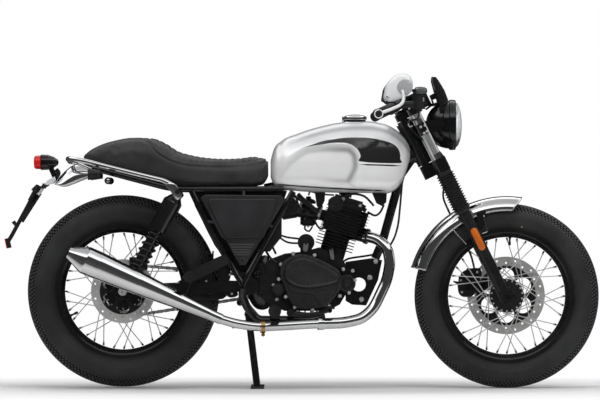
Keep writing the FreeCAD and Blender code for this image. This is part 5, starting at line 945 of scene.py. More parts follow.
clutchCover = {
    "outline": [
        (-0.0713, 0.4296), (-0.075, 0.3897), (-0.0604, 0.3498), (-0.0423, 0.3026), (-0.0278, 0.2827),
        (0.0048, 0.2745), (0.0375, 0.2752), (0.0846, 0.2845), (0.1064, 0.3063), (0.133, 0.3425),
        (0.1365, 0.3716), (0.127, 0.4042), (0.0955, 0.426), (0.0447, 0.45), (0.0012, 0.461), (-0.0351, 0.455),
        (-0.0604, 0.44),
    ],
    "face": [
        (-0.0568, 0.3897), (-0.0525, 0.4133), (-0.0351, 0.4345), (-0.006, 0.444), (0.023, 0.4408),
        (0.0592, 0.4252), (0.0955, 0.407), (0.1195, 0.3897), (0.1225, 0.376), (0.11, 0.364), (0.0774, 0.3552),
        (0.0375, 0.3491), (0.0012, 0.3491), (-0.0278, 0.357), (-0.0478, 0.3716),
    ],
    "lobe": [
        (-0.03, 0.333), (0.006, 0.329), (0.03, 0.327), (0.042, 0.32), (0.047, 0.305), (0.056, 0.293),
        (0.072, 0.288), (0.088, 0.293), (0.098, 0.308), (0.104, 0.326), (0.113, 0.344), (0.109, 0.358),
        (0.07, 0.35), (0.03, 0.346), (-0.015, 0.348), (-0.04, 0.356), (-0.045, 0.345),
    ],
    "lugs": [
        (-0.0727, 0.4267), (-0.08, 0.3753), (-0.056, 0.315), (-0.0252, 0.279), (0.0362, 0.2705),
        (0.093, 0.283), (0.13, 0.318), (0.1417, 0.41), (0.0431, 0.458), (-0.03, 0.462),
    ],
    # Each raised form as (inset, y) levels, outwards.
    "outlineLevels": [(0, -0.069), (0, -0.0955), (0.0012, -0.0985), (0.0035, -0.1005), (0.007, -0.1015)],
    "lobeLevels": [(-0.004, -0.099), (-0.0015, -0.104), (0.001, -0.1062), (0.0035, -0.107)],
    "faceLevels": [
        (-0.008, -0.1), (-0.0045, -0.1085), (-0.002, -0.1145), (0.0, -0.1166), (0.0022, -0.1172),
        (0.0042, -0.116), (0.0058, -0.1136), (0.0075, -0.113),
    ],
    "generator": (0.1535, 0.3607, 0.031), "filler": (-0.0804, 0.3407, 0.0215),
    "boss": (0.0719, 0.315, 0.0235), "lug": [(0.0078, -0.066), (0.0078, -0.0925), (0.007, -0.0938)],
}


def makeClutchCover():
    size = clutchCover
    parts = [sideStack(size[name], size[name + "Levels"]) for name in ("outline", "lobe", "face")]
    x, z, r = size["generator"]
    parts.append(turned([(r, -0.06), (r, -0.083), (r - 0.002, -0.086), (r * 0.74, -0.0872),
                         (r * 0.7, -0.0835), (r * 0.45, -0.0835), (r * 0.42, -0.086), (0.001, -0.087)], x, z,
                        48))
    x, z, r = size["filler"]
    parts.append(turned([(r, -0.062), (r, -0.088), (r - 0.0015, -0.09), (r * 0.72, -0.0905),
                         (r * 0.69, -0.0975), (r * 0.6, -0.099), (0.001, -0.0995)], x, z, 40))
    x, z, r = size["boss"]
    parts.append(turned([(r, -0.103), (r, -0.1085), (r - 0.0015, -0.11), (0.001, -0.1104)], x, z, 40))
    parts += [turned(size["lug"], x, z, 18) for x, z in size["lugs"]]
    addPiece("clutchCover", parts, "coverBlack", "chassis", replacing=["cover_right"], smooth=False)


boltSizes = {
    "lugFace": -0.0938, "caseFace": -0.0865,
    "case": [(0.1741, 0.404), (0.1827, 0.372), (0.162, 0.328), (-0.0982, 0.355), (-0.0865, 0.3057)],
    "plates": [(0.2543, 0.4367), (0.2337, 0.3805), (0.205, 0.305)],
    "head": [(0.1417, 0.6514), (0.1999, 0.6276)],
}


def makeBolts():
    size = boltSizes
    parts = []
    for x, z in clutchCover["lugs"]:
        parts.append(hexBolt((x, size["lugFace"], z), (0, -1, 0), 0.0085, 0.0055))
    for x, z in size["case"]:
        y = reachOf(["crankcase", "engine_plates"], x, z) if x < 0 else size["caseFace"]
        parts.append(hexBolt((x, y, z), (0, -1, 0), 0.008, 0.005))
    for side in (-1, 1):
        for places, node, across, high in (("plates", "engine_plates", 0.012, 0.007),
                                           ("head", "cylinder_head", 0.009, 0.006)):
            for x, z in size[places]:
                parts.append(hexBolt((x, reachOf([node], x, z, side), z), (0, side, 0), across, high))
    addPiece("engineBolts", parts, "steel", "chassis", smooth=False)


rearCasting = {
    "plate": [(-0.196, 0.425), (-0.15, 0.452), (-0.112, 0.446), (-0.098, 0.33), (-0.116, 0.276),
              (-0.16, 0.276), (-0.19, 0.33)],
    "caps": [(-0.153, 0.3915, 0.0135), (-0.1675, 0.3591, 0.013), (-0.144, 0.3226, 0.0095)],
    "y": (-0.06, -0.067), "hoses": [
        ([(-0.115, -0.045, 0.56), (-0.093, -0.04, 0.535), (-0.055, -0.032, 0.52), (-0.012, -0.028, 0.514)],
         0.0034),
        ([(-0.12, -0.05, 0.545), (-0.085, -0.048, 0.524), (-0.05, -0.042, 0.502), (-0.006, -0.034, 0.498)],
         0.0034),
        ([(-0.15, -0.06, 0.52), (-0.128, -0.066, 0.48), (-0.11, -0.068, 0.45), (-0.085, -0.07, 0.43)],
         0.0042),
        ([(-0.17, -0.052, 0.5), (-0.15, -0.062, 0.462), (-0.135, -0.066, 0.432), (-0.118, -0.066, 0.4)],
         0.004),
        ([(-0.062, -0.05, 0.64), (-0.08, -0.052, 0.6), (-0.098, -0.052, 0.56), (-0.104, -0.055, 0.5),
          (-0.09, -0.062, 0.462)], 0.004),
    ],
}


def makeRearCasting():
    size = rearCasting
    inner, outer = size["y"]
    parts = [sideStack(size["plate"], [(0.001, inner), (0, inner - 0.001), (0, outer + 0.0015),
                                       (0.0018, outer)], 5)]
    for x, z, r in size["caps"]:
        parts.append(turned([(r, outer), (r, outer - 0.01), (r * 0.9, outer - 0.0125),
                             (r * 0.62, outer - 0.013), (r * 0.56, outer - 0.0095),
                            (0.001, outer - 0.0095)], x, z, 32))
        parts.append(hexBolt((x, outer - 0.0095, z), (0, -1, 0), r * 0.62, 0.004))
    for path, radius in size["hoses"]:
        parts.append(softTube(path, radius))
    addPiece("rearCasting", parts, "glossBlack", "chassis")


bracketSizes = {"leaves": [((0.0124, 0.4846), (0.0085, 0.014), -8), ((0.1027, 0.4608), (0.0065, 0.019), 10)],
                "y": -0.074, "thick": 0.002, "foot": 0.01,
                "leaf": [(-1, -0.7), (-0.5, -1), (0.6, -1), (1, -0.5), (1, 1), (0.3, 1), (0.2, 0.55),
                         (-0.3, 0.55), (-0.4, 1), (-1, 0.9)]}


def makeBrackets():
    size = bracketSizes
    parts = []
    for centre, (halfX, halfZ), tip in size["leaves"]:
        outline = [turnedAbout(centre, u * halfX, v * halfZ, tip) for u, v in size["leaf"]]
        y = min(reachOf(["crankcase", "cylinder_barrel"], *centre), size["y"])
        parts.append(sideStack(outline, [(0, y), (0, y - size["thick"])], 0))
        parts.append(sideStack(outline[:4] + outline[-1:], [(0, y - size["foot"]), (0, y)], 0))
    addPiece("cableBrackets", parts, "alloy", "chassis", smooth=False)


makeFins()
makeClutchCover()
makeBolts()
makeRearCasting()
makeBrackets()
print("engine pieces made")


# Front guard: a crowned blade round the tyre with a rolled wire edge, cut slanting at both ends.
guardSizes = {
    "axle": (0.705, 0.3175), "radius": 0.343, "depth": 0.049, "half": 0.0655, "thick": 0.0014, "wire": 0.0024,
    "start": 81.5, "end": 163.2, "slant": 5.5, "rearSlant": 0.6, "steps": 96, "across": 28, "crown": 0.86,
}


def guardPoint(angle, radius, y):
    turn = math.radians(angle)
    x, z = guardSizes["axle"]
    return (x + radius * math.cos(turn), y, z + radius * math.sin(turn))


def guardSection(inset):
    section = []
    for k in range(guardSizes["across"] + 1):
        share = 2 * k / guardSizes["across"] - 1
        bend = abs(share) ** 1.5
        angle = bend * math.radians(90)
        y = math.copysign((guardSizes["half"] - inset) * math.sin(angle) ** guardSizes["crown"], share)
        section.append((guardSizes["radius"] - inset - (guardSizes["depth"] - inset) * (1 - math.cos(angle)),
                        y))
    return section


# Start and end angle of the blade where its edge has fallen by a share of the depth.
def guardEnds(fall):
    start = guardSizes["start"] + guardSizes["slant"] * fall ** 1.4
    return start, guardSizes["end"] - guardSizes["rearSlant"] * fall


def makeGuard():
    size = guardSizes
    outer, inner = guardSection(0.0), guardSection(size["thick"])
    low = size["radius"] - size["depth"]
    rings = []
    edges = {-1: [], 1: []}
    for i in range(size["steps"] + 1):
        share = i / size["steps"]
        ring = []
        for radius, y in outer + inner[::-1]:
            start, end = guardEnds((size["radius"] - radius) / size["depth"])
            ring.append(guardPoint(start + (end - start) * share, radius, y))
        rings.append(ring)
        start, end = guardEnds(1.0)
        for side, line in edges.items():
            line.append(guardPoint(start + (end - start) * share, low, side * (size["half"] - 0.0006)))
    parts = [stacked(rings)] + [tubeAlong(line, size["wire"], 8) for line in edges.values()]
    # Wire round the slanting front end and the rear end.
    for which in (0, 1):
        rim = [guardPoint(guardEnds((size["radius"] - radius) / size["depth"])[which], radius, y)
               for radius, y in outer]
        parts.append(tubeAlong(rim, size["wire"] * 0.9, 8))
    addPiece("frontGuardBlade", parts, "chrome", "steering", replacing=["front_guard"])


staySizes = {"wire": 0.0022, "runs": [
    [(0.52, 0.07, 0.5439), (0.5445, 0.0735, 0.518), (0.5652, 0.076, 0.4956)],
    [(0.624, 0.069, 0.596), (0.632, 0.073, 0.556), (0.637, 0.074, 0.54), (0.615, 0.0745, 0.53)],
], "bracket": [(0.6, 0.604), (0.632, 0.612), (0.629, 0.566), (0.618, 0.545), (0.6, 0.552)],
             "bracketSides": (0.0665, 0.07)}


def makeGuardStays():
    stays, brackets = [], []
    for side in (-1, 1):
        for run in staySizes["runs"]:
            stays.append(softTube([(x, side * y, z) for x, y, z in run], staySizes["wire"], 5, 8))
        brackets.append(sideStack(staySizes["bracket"],
                                  [(0, side * y) for y in staySizes["bracketSides"]], 0))
    addPiece("guardStays", stays, "chrome", "steering")
    addPiece("guardBrackets", brackets, "frameBlack", "steering", smooth=False)


# Fork: a point by its distance forward of, beside and up the leg from the axle.
def onFork(f, y, a):
    rake = math.radians(26)
    return (0.705 + f * math.cos(rake) - a * math.sin(rake), y,
            0.3175 + f * math.sin(rake) + a * math.cos(rake))


reflectorSizes = {"centre": (0.6038, 0.5129), "long": 0.083, "wide": 0.024, "rise": 0.004, "turn": 26.0}


def makeReflectors():
    size = reflectorSizes
    half = size["long"] / 2 - size["wide"] / 2
    parts, frames = [], []
    for side in (-1, 1):
        reach = reachOf(["fork_lowers"], *size["centre"], side)
        for grow, group, low, high in ((0.0022, frames, -0.004, 0.0015), (0.0, parts, 0.0, size["rise"])):
            outline = []
            for k in range(40):
                angle = 2 * math.pi * k / 40
                u, v = [(size["wide"] / 2 + grow) * value for value in (math.cos(angle), math.sin(angle))]
                outline.append(turnedAbout(size["centre"], u,
                                           v + math.copysign(half, math.sin(angle)), size["turn"]))
            levels = [(0, low), (0, high - 0.001), (0.0012, high)]
            group.append(sideStack(outline, [(inset, reach + side * out) for inset, out in levels], 0))
    addPiece("sideReflectors", parts, "amber", "steering")
    addPiece("reflectorFrames", frames, "blackPlastic", "steering")


makeGuard()
makeGuardStays()
makeReflectors()
print("front guard made")


# Wheels: spoke heads round the hub flanges, and a valve.
wheelSizes = {
    "front": {"axle": (0.705, 0.3175), "heads": 0.053, "flange": 0.03, "valve": 86.7, "count": 18},
    "rear": {"axle": (-0.615, 0.334), "heads": 0.061, "flange": 0.034, "valve": 205.0, "count": 18},
}


def makeWheelTrim(name):
    size = wheelSizes[name]
    x, z = size["axle"]
    parts = []
    for side in (-1, 1):
        for i in range(size["count"]):
            angle = 2 * math.pi * (i + 0.5) / size["count"]
            headX, headZ = x + size["heads"] * math.cos(angle), z + size["heads"] * math.sin(angle)
            at = (headX, reachOf([name + "_hub"], headX, headZ, side), headZ)
            parts.append(lathe([(0.0036, 0), (0.0034, 0.0016), (0.0018, 0.0026)], at, (0, side, 0), 10))
    addPiece(name + "SpokeHeads", parts, "steel", name + "_wheel")
    turn = math.radians(size["valve"])
    out = Vector((math.cos(turn), 0, math.sin(turn)))
    foot = Vector((x, 0, z)) + out * 0.2025
    stem = lathe([(0.0052, 0), (0.005, 0.004), (0.0034, 0.007), (0.0032, 0.016), (0.0046, 0.0165),
                  (0.0046, 0.027), (0.0036, 0.029)],
                 foot, -out, 16)
    addPiece(name + "Valve", [stem], "rubber", name + "_wheel")


for wheelSide in ("front", "rear"):
    makeWheelTrim(wheelSide)


# Discs: bright band with brushed rings, black carrier inside.
def makeDiscFinish(name, axle, carrier):
    finish = makeFinish(name, dict(finishLooks["steel"], rough=(0.26, 0.4)))
    tree = finish.node_tree
    shader = tree.nodes["Principled BSDF"]
    radius = fromAxle(tree, axle)[2]
    inside = spread(tree, radius, carrier - 0.0003, carrier + 0.0003, 1.0, 0.0)
    bare = shader.inputs["Base Color"].links[0].from_socket
    tree.links.new(mixColour(tree, inside, bare, rgb((0.008, 0.008, 0.009))), shader.inputs["Base Color"])
    tree.links.new(spread(tree, inside, 0.0, 1.0, 0.5, 0.0), shader.inputs["Metallic"])
    return finish


# Spokes: bright wire with black nipples near the rim.
def makeSpokeFinish(name, axle, edge):
    finish = makeDiscFinish(name, axle, edge)
    shader = finish.node_tree.nodes["Principled BSDF"]
    mix = shader.inputs["Base Color"].links[0].from_node
    inside = mix.inputs[0].links[0].from_node
    inside.inputs[3].default_value, inside.inputs[4].default_value = 0.0, 1.0
    return finish


for wheelSide in ("front", "rear"):
    spokeFinish = makeSpokeFinish(wheelSide + "SpokeWire", wheelSizes[wheelSide]["axle"], 0.193)
    for holder in nodes[wheelSide + "_spokes"].material_slots:
        holder.material = spokeFinish

discSizes = {"front": 0.103, "rear": 0.08}
for wheelSide, carrier in discSizes.items():
    discFinish = makeDiscFinish(wheelSide + "DiscSteel", wheelSizes[wheelSide]["axle"], carrier)
    for holder in nodes[wheelSide + "_disc"].material_slots:
        holder.material = discFinish
print("wheel pieces made")


# Loft between a crown line and an edge line, both in the side view, bent over to both sides.
def bladeLoft(crown, edge, half, thick, per=6, across=20):
    crownLine, edgeLine = [smoothLine(doubled(line), per)[:-2 * per + 1] for line in (crown, edge)]
    rings = []
    for (cx, cz), (ex, ez) in zip(crownLine, edgeLine):
        outer, inner = [], []
        for k in range(across + 1):
            share = 2 * k / across - 1
            angle = abs(share) ** 1.4 * math.radians(90)
            fall = 1 - math.cos(angle)
            y = math.copysign(half * math.sin(angle) ** 0.85, share)
            outer.append((cx + (ex - cx) * fall, y, cz + (ez - cz) * fall))
            slim = 1 - thick / half
            drop = thick / max(math.hypot(ex - cx, ez - cz), 1e-6)
            inner.append((cx + (ex - cx) * (fall + drop * (1 - fall)), y * slim,
                          cz + (ez - cz) * (fall + drop * (1 - fall))))
        rings.append(outer + inner[::-1])
    return stacked(rings), edgeLine


# Whole curves between end points: the ends are doubled so that the smooth line reaches them.
def doubled(line):
    first = (2 * line[0][0] - line[1][0], 2 * line[0][1] - line[1][1])
    last = (2 * line[-1][0] - line[-2][0], 2 * line[-1][1] - line[-2][1])
    return line + [last, first]


tailSizes = {
    "crown": [(-0.852, 0.706), (-0.8265, 0.7365), (-0.8045, 0.7571), (-0.783, 0.769), (-0.75, 0.7715),
              (-0.733, 0.769)],
    "edge": [(-0.85, 0.702), (-0.821, 0.6945), (-0.7935, 0.7022), (-0.766, 0.7132), (-0.745, 0.7215),
             (-0.733, 0.7265)],
    "half": 0.056, "thick": 0.0016, "wire": 0.002,
    "sleeve": [(-0.9034, 0.6719), (-0.935, 0.6225), (-0.9666, 0.573)],
    "box": [(-0.933, 0.683), (-0.915, 0.701), (-0.8985, 0.693), (-0.913, 0.669)],
    "clip": [(-1.001, 0.57), (-0.99, 0.577), (-0.978, 0.56), (-0.986, 0.553)],
    "housing": [(-1.0215, 0.514), (-1.009, 0.515), (-1.002, 0.483), (-1.015, 0.4805)],
    "stud": (-0.6644, 0.7132), "studRadius": 0.0122,
    "end": [(-0.466, 0.6995), (-0.438, 0.704), (-0.414, 0.672), (-0.412, 0.66), (-0.428, 0.648),
            (-0.4495, 0.676)],
}


def makeTail():
    size = tailSizes
    blade, edgeLine = bladeLoft(size["crown"], size["edge"], size["half"], size["thick"])
    parts = [blade]
    for side in (-1, 1):
        parts.append(tubeAlong([Vector((x, side * size["half"], z)) for x, z in edgeLine], size["wire"], 8))
    addPiece("tailGuardBlade", parts, "chrome", "chassis", replacing=["tail_guard"])
    inside = [(x + 0.001, z - 0.0035) for x, z in size["crown"]]
    lining, edgeLine = bladeLoft(inside, size["edge"], size["half"] - 0.0022, 0.001)
    addPiece("tailGuardLining", [lining], "blackPlastic", "chassis")
    parts = [softTube([(x, 0, z) for x, z in size["sleeve"]], 0.0078, 6, 16)]
    for outline, half in ((size["box"], 0.022), (size["clip"], 0.012)):
        parts.append(slab(outline, half, 0.0015, 0.0012))
    addPiece("plateStalkSleeve", parts, "blackPlastic", "chassis", smooth=False)
    housing = slab(size["housing"], 0.031, 0.001)
    addPiece("reflectorHousing", [housing], "blackPlastic", "chassis", smooth=False)
    studs, centres = [], []
    x, z = size["stud"]
    r = size["studRadius"]
    for side in (-1, 1):
        studs.append(turned([(r, 0.118), (r, 0.15), (r * 0.86, 0.153), (r * 0.72, 0.153), (r * 0.7, 0.149),
                             (0.001, 0.149)], x, z, 28, side))
        studs.append(turned([(0.006, 0.085), (0.006, 0.12)], x, z, 16, side))
        centres.append(turned([(r * 0.6, 0.1485), (r * 0.6, 0.1535), (r * 0.4, 0.1555), (0.001, 0.156)],
                              x, z, 20, side))
    addPiece("railStuds", studs, "blackPlastic", "chassis")
    addPiece("railStudCentres", centres, "chrome", "chassis")
    ends = []
    for side in (-1, 1):
        ends.append(sideStack(size["end"], [(0.0006, side * 0.1605), (0, side * 0.161), (0, side * 0.164),
                                            (0.0008, side * 0.1646)], 5))
    addPiece("grabRailEnds", ends, "chrome", "chassis")
    bolts = []
    for side in (-1, 1):
        bolts.append(hexBolt((-0.426, side * 0.1646, 0.676), (0, side, 0), 0.013, 0.008))
    addPiece("grabRailBolts", bolts, "engineBlack", "chassis", smooth=False)


makeTail()
print("tail made")


# Headlamp: a smooth bowl and rim, with the reflector and bulb behind the glass.
lampSizes = {
    "axis": 0.906, "back": 0.4268, "mouth": 0.508, "bowl": 0.0815, "rim": 0.0868, "rimBack": 0.5055,
    "rimFront": 0.5275, "reflector": (0.455, 0.5185, 0.071), "bulb": (0.47, 0.5, 0.01),
}


def makeHeadlamp():
    size = lampSizes
    bowl = []
    deep = size["mouth"] - size["back"]
    for k in range(25):
        angle = math.radians(90 * k / 24)
        bowl.append((size["bowl"] * math.sin(angle) ** 0.92, size["back"] + deep * (1 - math.cos(angle))))
    rimProfile = [(size["rim"] - 0.006, size["rimBack"]), (size["rim"] - 0.0015, size["rimBack"] + 0.0012),
                  (size["rim"], size["rimBack"] + 0.004), (size["rim"], size["rimFront"] - 0.006),
                  (size["rim"] - 0.002, size["rimFront"] - 0.0015), (size["rim"] - 0.006, size["rimFront"]),
                  (size["rim"] - 0.0105, size["rimFront"] - 0.001), (size["rim"] - 0.0105, size["rimBack"])]
    axis = (0, 0, size["axis"])
    addPiece("lampShell", [lathe(bowl + [(size["bowl"] - 0.004, size["mouth"])], axis, (1, 0, 0), 96),
                                   lathe(rimProfile, axis, (1, 0, 0), 96, True)], "glossBlack", "steering")
    start, end, wide = size["reflector"]
    dish = [(wide * math.sqrt(k / 20), start + (end - start) * k / 20) for k in range(21)]
    back = [(r - 0.0008, x - 0.001) for r, x in dish[::-1]]
    addPiece("lampReflector", [lathe(dish + back, axis, (1, 0, 0), 64)], "chrome", "steering")
    start, end, wide = size["bulb"]
    bulb = [(0.004, start), (wide * 0.7, start + 0.002), (wide, start + 0.01), (wide, end - 0.008),
            (wide * 0.6, end - 0.002), (0.0005, end)]
    addPiece("lampBulb", [lathe(bulb, axis, (1, 0, 0), 32)], "silverPlastic", "steering")


mirrorSizes = {
    "outline": [
        (0.2765, 0.9936), (0.279, 1.0145), (0.2832, 1.0333), (0.2936, 1.0498), (0.308, 1.0642),
        (0.3226, 1.0742), (0.341, 1.0782), (0.3555, 1.0755), (0.3662, 1.0683), (0.3742, 1.0558),
        (0.3772, 1.0392), (0.3742, 1.0228), (0.3662, 1.0103), (0.3539, 0.9999), (0.331, 0.9894),
        (0.305, 0.9815), (0.2915, 0.9815), (0.285, 0.9873),
    ],
    "inner": 0.292, "outer": 0.314,
    "disc": (0.3495, 1.0305, 0.0265, 0.0275, -8.0),
    "arm": [(0.264, 0.352, 0.942), (0.28, 0.35, 0.947), (0.308, 0.342, 0.9575), (0.333, 0.333, 0.97),
            (0.344, 0.325, 0.985), (0.344, 0.319, 1.005), (0.3405, 0.315, 1.02)],
    "armRadius": 0.0056, "ring": (0.2599, 0.9393, 0.0158),
}


def makeMirrors():
    size = mirrorSizes
    shells, rims, glasses, shadeDiscs, arms, plugs = [], [], [], [], [], []
    for side in (-1, 1):
        inner, outer = size["inner"], size["outer"]
        levels = [(0.0015, inner), (0, inner + 0.002), (0.0008, inner + 0.008), (0.003, inner + 0.0125),
                  (0.006, inner + 0.016), (0.0095, inner + 0.0185), (0.013, inner + 0.0198)]
        shells.append(sideStack(size["outline"], [(inset, side * y) for inset, y in levels]))
        rims.append(sideStack(size["outline"], [(0.0014, side * (inner - 0.003)),
                                                (0.0004, side * (inner - 0.002)),
                                                (0.0002, side * (inner + 0.0015)),
                                                (0.0012, side * (inner + 0.0025))]))
        glasses.append(sideStack(size["outline"],
                                 [(0.004, side * (inner - 0.0036)), (0.0035, side * (inner - 0.002))]))
        # A darker raised disc on the shell's face, in darker silver: painted shade on the shell.
        x, z, wide, high, tip = size["disc"]
        turns = [2 * math.pi * k / 40 for k in range(40)]
        ring = [turnedAbout((x, z), wide * math.cos(turn), high * math.sin(turn), tip) for turn in turns]
        shadeDiscs.append(sideStack(ring, [(0, side * (inner + 0.006)), (0, side * (outer - 0.0022)),
                                      (0.0008, side * (outer - 0.0008)), (0.004, side * outer)], 0))
        arms.append(softTube([(x, side * y, z) for x, y, z in size["arm"]], size["armRadius"], 8, 14))
        x, z, r = size["ring"]
        arms.append(turned([(r, 0.3465), (r, 0.3565), (r - 0.0015, 0.358), (r - 0.004, 0.358),
                            (r - 0.0045, 0.3465)], x, z, 36, side, True))
        plugs.append(turned([(r - 0.0046, 0.345), (r - 0.0046, 0.3575), (r - 0.0065, 0.359), (0.004, 0.3592),
                             (0.0035, 0.356), (0.0005, 0.356)], x, z, 28, side))
    addPiece("mirrorShells", shells, "silverPlastic", "steering", replacing=["mirrors"])
    addPiece("mirrorShadeDiscs", shadeDiscs, "shadedMirrorSilver", "steering")
    addPiece("mirrorRims", rims, "rubber", "steering")
    addPiece("mirrorGlasses", glasses, "chrome", "steering")
    addPiece("mirrorArms", arms, "silverPlastic", "steering")
    addPiece("barEndPlugs", plugs, "rubber", "steering")


controlSizes = {
    "reservoir": (0.4045, -0.183, 0.9985), "lid": 0.0222,
    "bracket": [(0.4385, 1.0065), (0.4625, 1.019), (0.473, 1.002), (0.446, 0.9895)],
    "rod": [(0.448, 0.0, 0.99), (0.45, 0.0, 0.9775), (0.426, 0.0, 0.959)],
    "clampBolts": [(0.4072, 0.8976), (0.4218, 0.9038), (0.4187, 0.8767), (0.4281, 0.883)],
}


def makeControls():
    size = controlSizes
    x, y, z = size["reservoir"]
    r = size["lid"]
    lid = lathe([(r, 0.018), (r, 0.029), (r - 0.001, 0.0308), (r * 0.82, 0.032), (r * 0.78, 0.031),
                 (0.001, 0.0316)], (x, y, z), (0.05, -0.3, 1), 44)
    addPiece("reservoirLid", [lid], "lidGrey", "steering", smooth=False)
    parts = [lathe([(r * 0.8, -0.026), (r * 0.86, -0.022), (r * 0.92, 0.014)], (x, y, z),
                   (0.05, -0.3, 1), 40)]
    parts.append(slab(size["bracket"], 0.018))
    parts.append(softTube(size["rod"], 0.0034, 5, 10))
    addPiece("reservoirAndBracket", parts, "blackPlastic", "steering", smooth=False)
    screws = []
    for turn in (35, 215):
        angle = math.radians(turn)
        screws.append(hexBolt((x + r * 0.7 * math.cos(angle), y - 0.0095 + r * 0.7 * math.sin(angle),
                               z + 0.0305 + 0.2 * r * math.sin(angle)),
                              (0.05, -0.3, 1), 0.005, 0.0022))
    for rise in (-0.005, -0.012):
        screws.append(lathe([(0.0028, 0), (0.0028, 0.0015), (0.002, 0.002)],
                            (x + 0.01, y - r * 0.84, z + rise), (0, -1, 0), 14))
    for side in (-1, 1):
        screws.append(lathe([(0.01, -0.004), (0.01, 0.001), (0.0085, 0.002)], (0.4782, side * 0.086, 0.907),
                            (0, side, 0), 24))
        screws.append(hexBolt((0.4782, side * 0.088, 0.907), (0, side, 0), 0.012, 0.005))
        screws.append(softTube([(0.4437, side * 0.09, 0.919), (0.46, side * 0.091, 0.917),
                                (0.476, side * 0.0905, 0.9135)], 0.0026))
    for bx, bz in size["clampBolts"]:
        for side in (-1, 1):
            screws.append(lathe([(0.0046, -0.004), (0.0046, 0.003), (0.0034, 0.0045), (0.001, 0.005)],
                                (bx, side * 0.1165, bz), (0, side, 0), 18))
    addPiece("controlScrews", screws, "steel", "steering")


makeHeadlamp()
makeMirrors()
makeControls()
print("lamp and bar pieces made")


# Filler cap: a chrome base ring, a black band and a domed lid with a hinge.
capSizes = {"centre": (0.183, 0.0), "base": 0.9085, "radius": 0.04}


def makeCap():
    x, y = capSizes["centre"]
    foot, r = capSizes["base"], capSizes["radius"]
    at = (x, y, foot)
    chrome = [
        lathe([(r + 0.0045, 0.001), (r + 0.005, 0.004), (r + 0.0025, 0.0075), (r - 0.004, 0.0085),
               (r - 0.006, 0.001)], at, (0, 0, 1), 64, True),
        lathe([(r - 0.0015, 0.0145), (r, 0.0165), (r, 0.0235), (r - 0.002, 0.0265), (r * 0.72, 0.03),
               (r * 0.35, 0.0325), (0.001, 0.0332)],
              at, (0, 0, 1), 64),
        lathe([(0.006, 0.004), (0.006, 0.026), (0.0045, 0.0275)], (x - r + 0.001, y, foot), (0, 0, 1), 20),
    ]
    addPiece("fillerLid", chrome, "chrome", "chassis", replacing=["filler_cap"])
    addPiece("fillerBand", [lathe([(r - 0.004, 0.002), (r - 0.0035, 0.0155)], at, (0, 0, 1), 48)],
             "blackPlastic", "chassis")


# Carburettor dress: cap, float bowl, clamps, cables and the odds under the tank.
carbSizes = {
    "cap": (0.0225, 0.0, 0.634), "bowl": (0.0215, 0.0, 0.578), "plug": (0.0748, -0.026, 0.5594),
    "capProfile": [(0.0245, 0), (0.025, 0.003), (0.025, 0.008), (0.0215, 0.013), (0.012, 0.0175),
                   (0.009, 0.018), (0.009, 0.024), (0.006, 0.026)],
    # The bowl's plan, then the levels of its body and lip as (growth, growth of the corner, height).
    "bowlPlan": (0.024, 0.0225, 0.009),
    "bowlLevels": [(0.0, 0.0, 0.0), (0.0, 0.0, -0.014), (-0.003, -0.0015, -0.018), (-0.008, -0.004, -0.0205)],
    "lipLevels": [(0.003, 0.0, 0.0), (0.003, 0.0, 0.004)],
    "drain": [(0.01, -0.024), (0.01, -0.034), (0.006, -0.036), (0.006, -0.041)],
    "clamps": [((-0.006, 0, 0.6245), 0.0262), ((0.061, 0, 0.604), 0.0235)], "tip": (0.956, 0, -0.292),
    "cables": [
        ([(0.0225, 0.0, 0.664), (0.03, -0.01, 0.676), (0.06, -0.04, 0.668), (0.11, -0.058, 0.664)], 0.003),
        ([(0.0, -0.03, 0.6), (-0.012, -0.04, 0.628), (-0.02, -0.048, 0.655), (-0.034, -0.05, 0.676)], 0.0036),
        ([(0.04, -0.028, 0.585), (0.052, -0.04, 0.56), (0.066, -0.045, 0.548), (0.083, -0.052, 0.556)],
         0.0036),
        ([(0.012, -0.026, 0.562), (0.01, -0.036, 0.548), (0.024, -0.042, 0.54), (0.036, -0.034, 0.556)],
         0.0032),
        ([(-0.04, -0.054, 0.668), (-0.01, -0.056, 0.65), (0.03, -0.056, 0.625), (0.058, -0.058, 0.602)],
         0.0052),
        ([(0.226, -0.03, 0.606), (0.25, -0.036, 0.594), (0.268, -0.036, 0.604), (0.282, -0.03, 0.63)],
         0.0036),
        ([(-0.014, -0.048, 0.668), (0.004, -0.052, 0.65), (0.03, -0.053, 0.628), (0.056, -0.048, 0.604)],
         0.0068),
        ([(-0.052, -0.05, 0.612), (-0.03, -0.054, 0.604), (-0.01, -0.052, 0.61), (0.006, -0.044, 0.618)],
         0.0046),
        ([(0.15, -0.044, 0.662), (0.18, -0.05, 0.668), (0.214, -0.048, 0.66), (0.236, -0.04, 0.64),
          (0.246, -0.032, 0.628)], 0.004),
    ],
    "coil": [(-0.0604, 0.6509), (-0.0278, 0.6545), (-0.0133, 0.6219), (-0.0278, 0.601), (-0.0604, 0.6074)],
    "bracket": [(0.044, 0.674), (0.08, 0.674), (0.078, 0.645), (0.062, 0.61), (0.05, 0.628)],
    "regulator": [(0.24, 0.674), (0.292, 0.674), (0.29, 0.64), (0.276, 0.626), (0.256, 0.636)],
    "ribs": {"count": 7, "start": -0.052, "pitch": 0.0075, "thick": 0.0028},
}


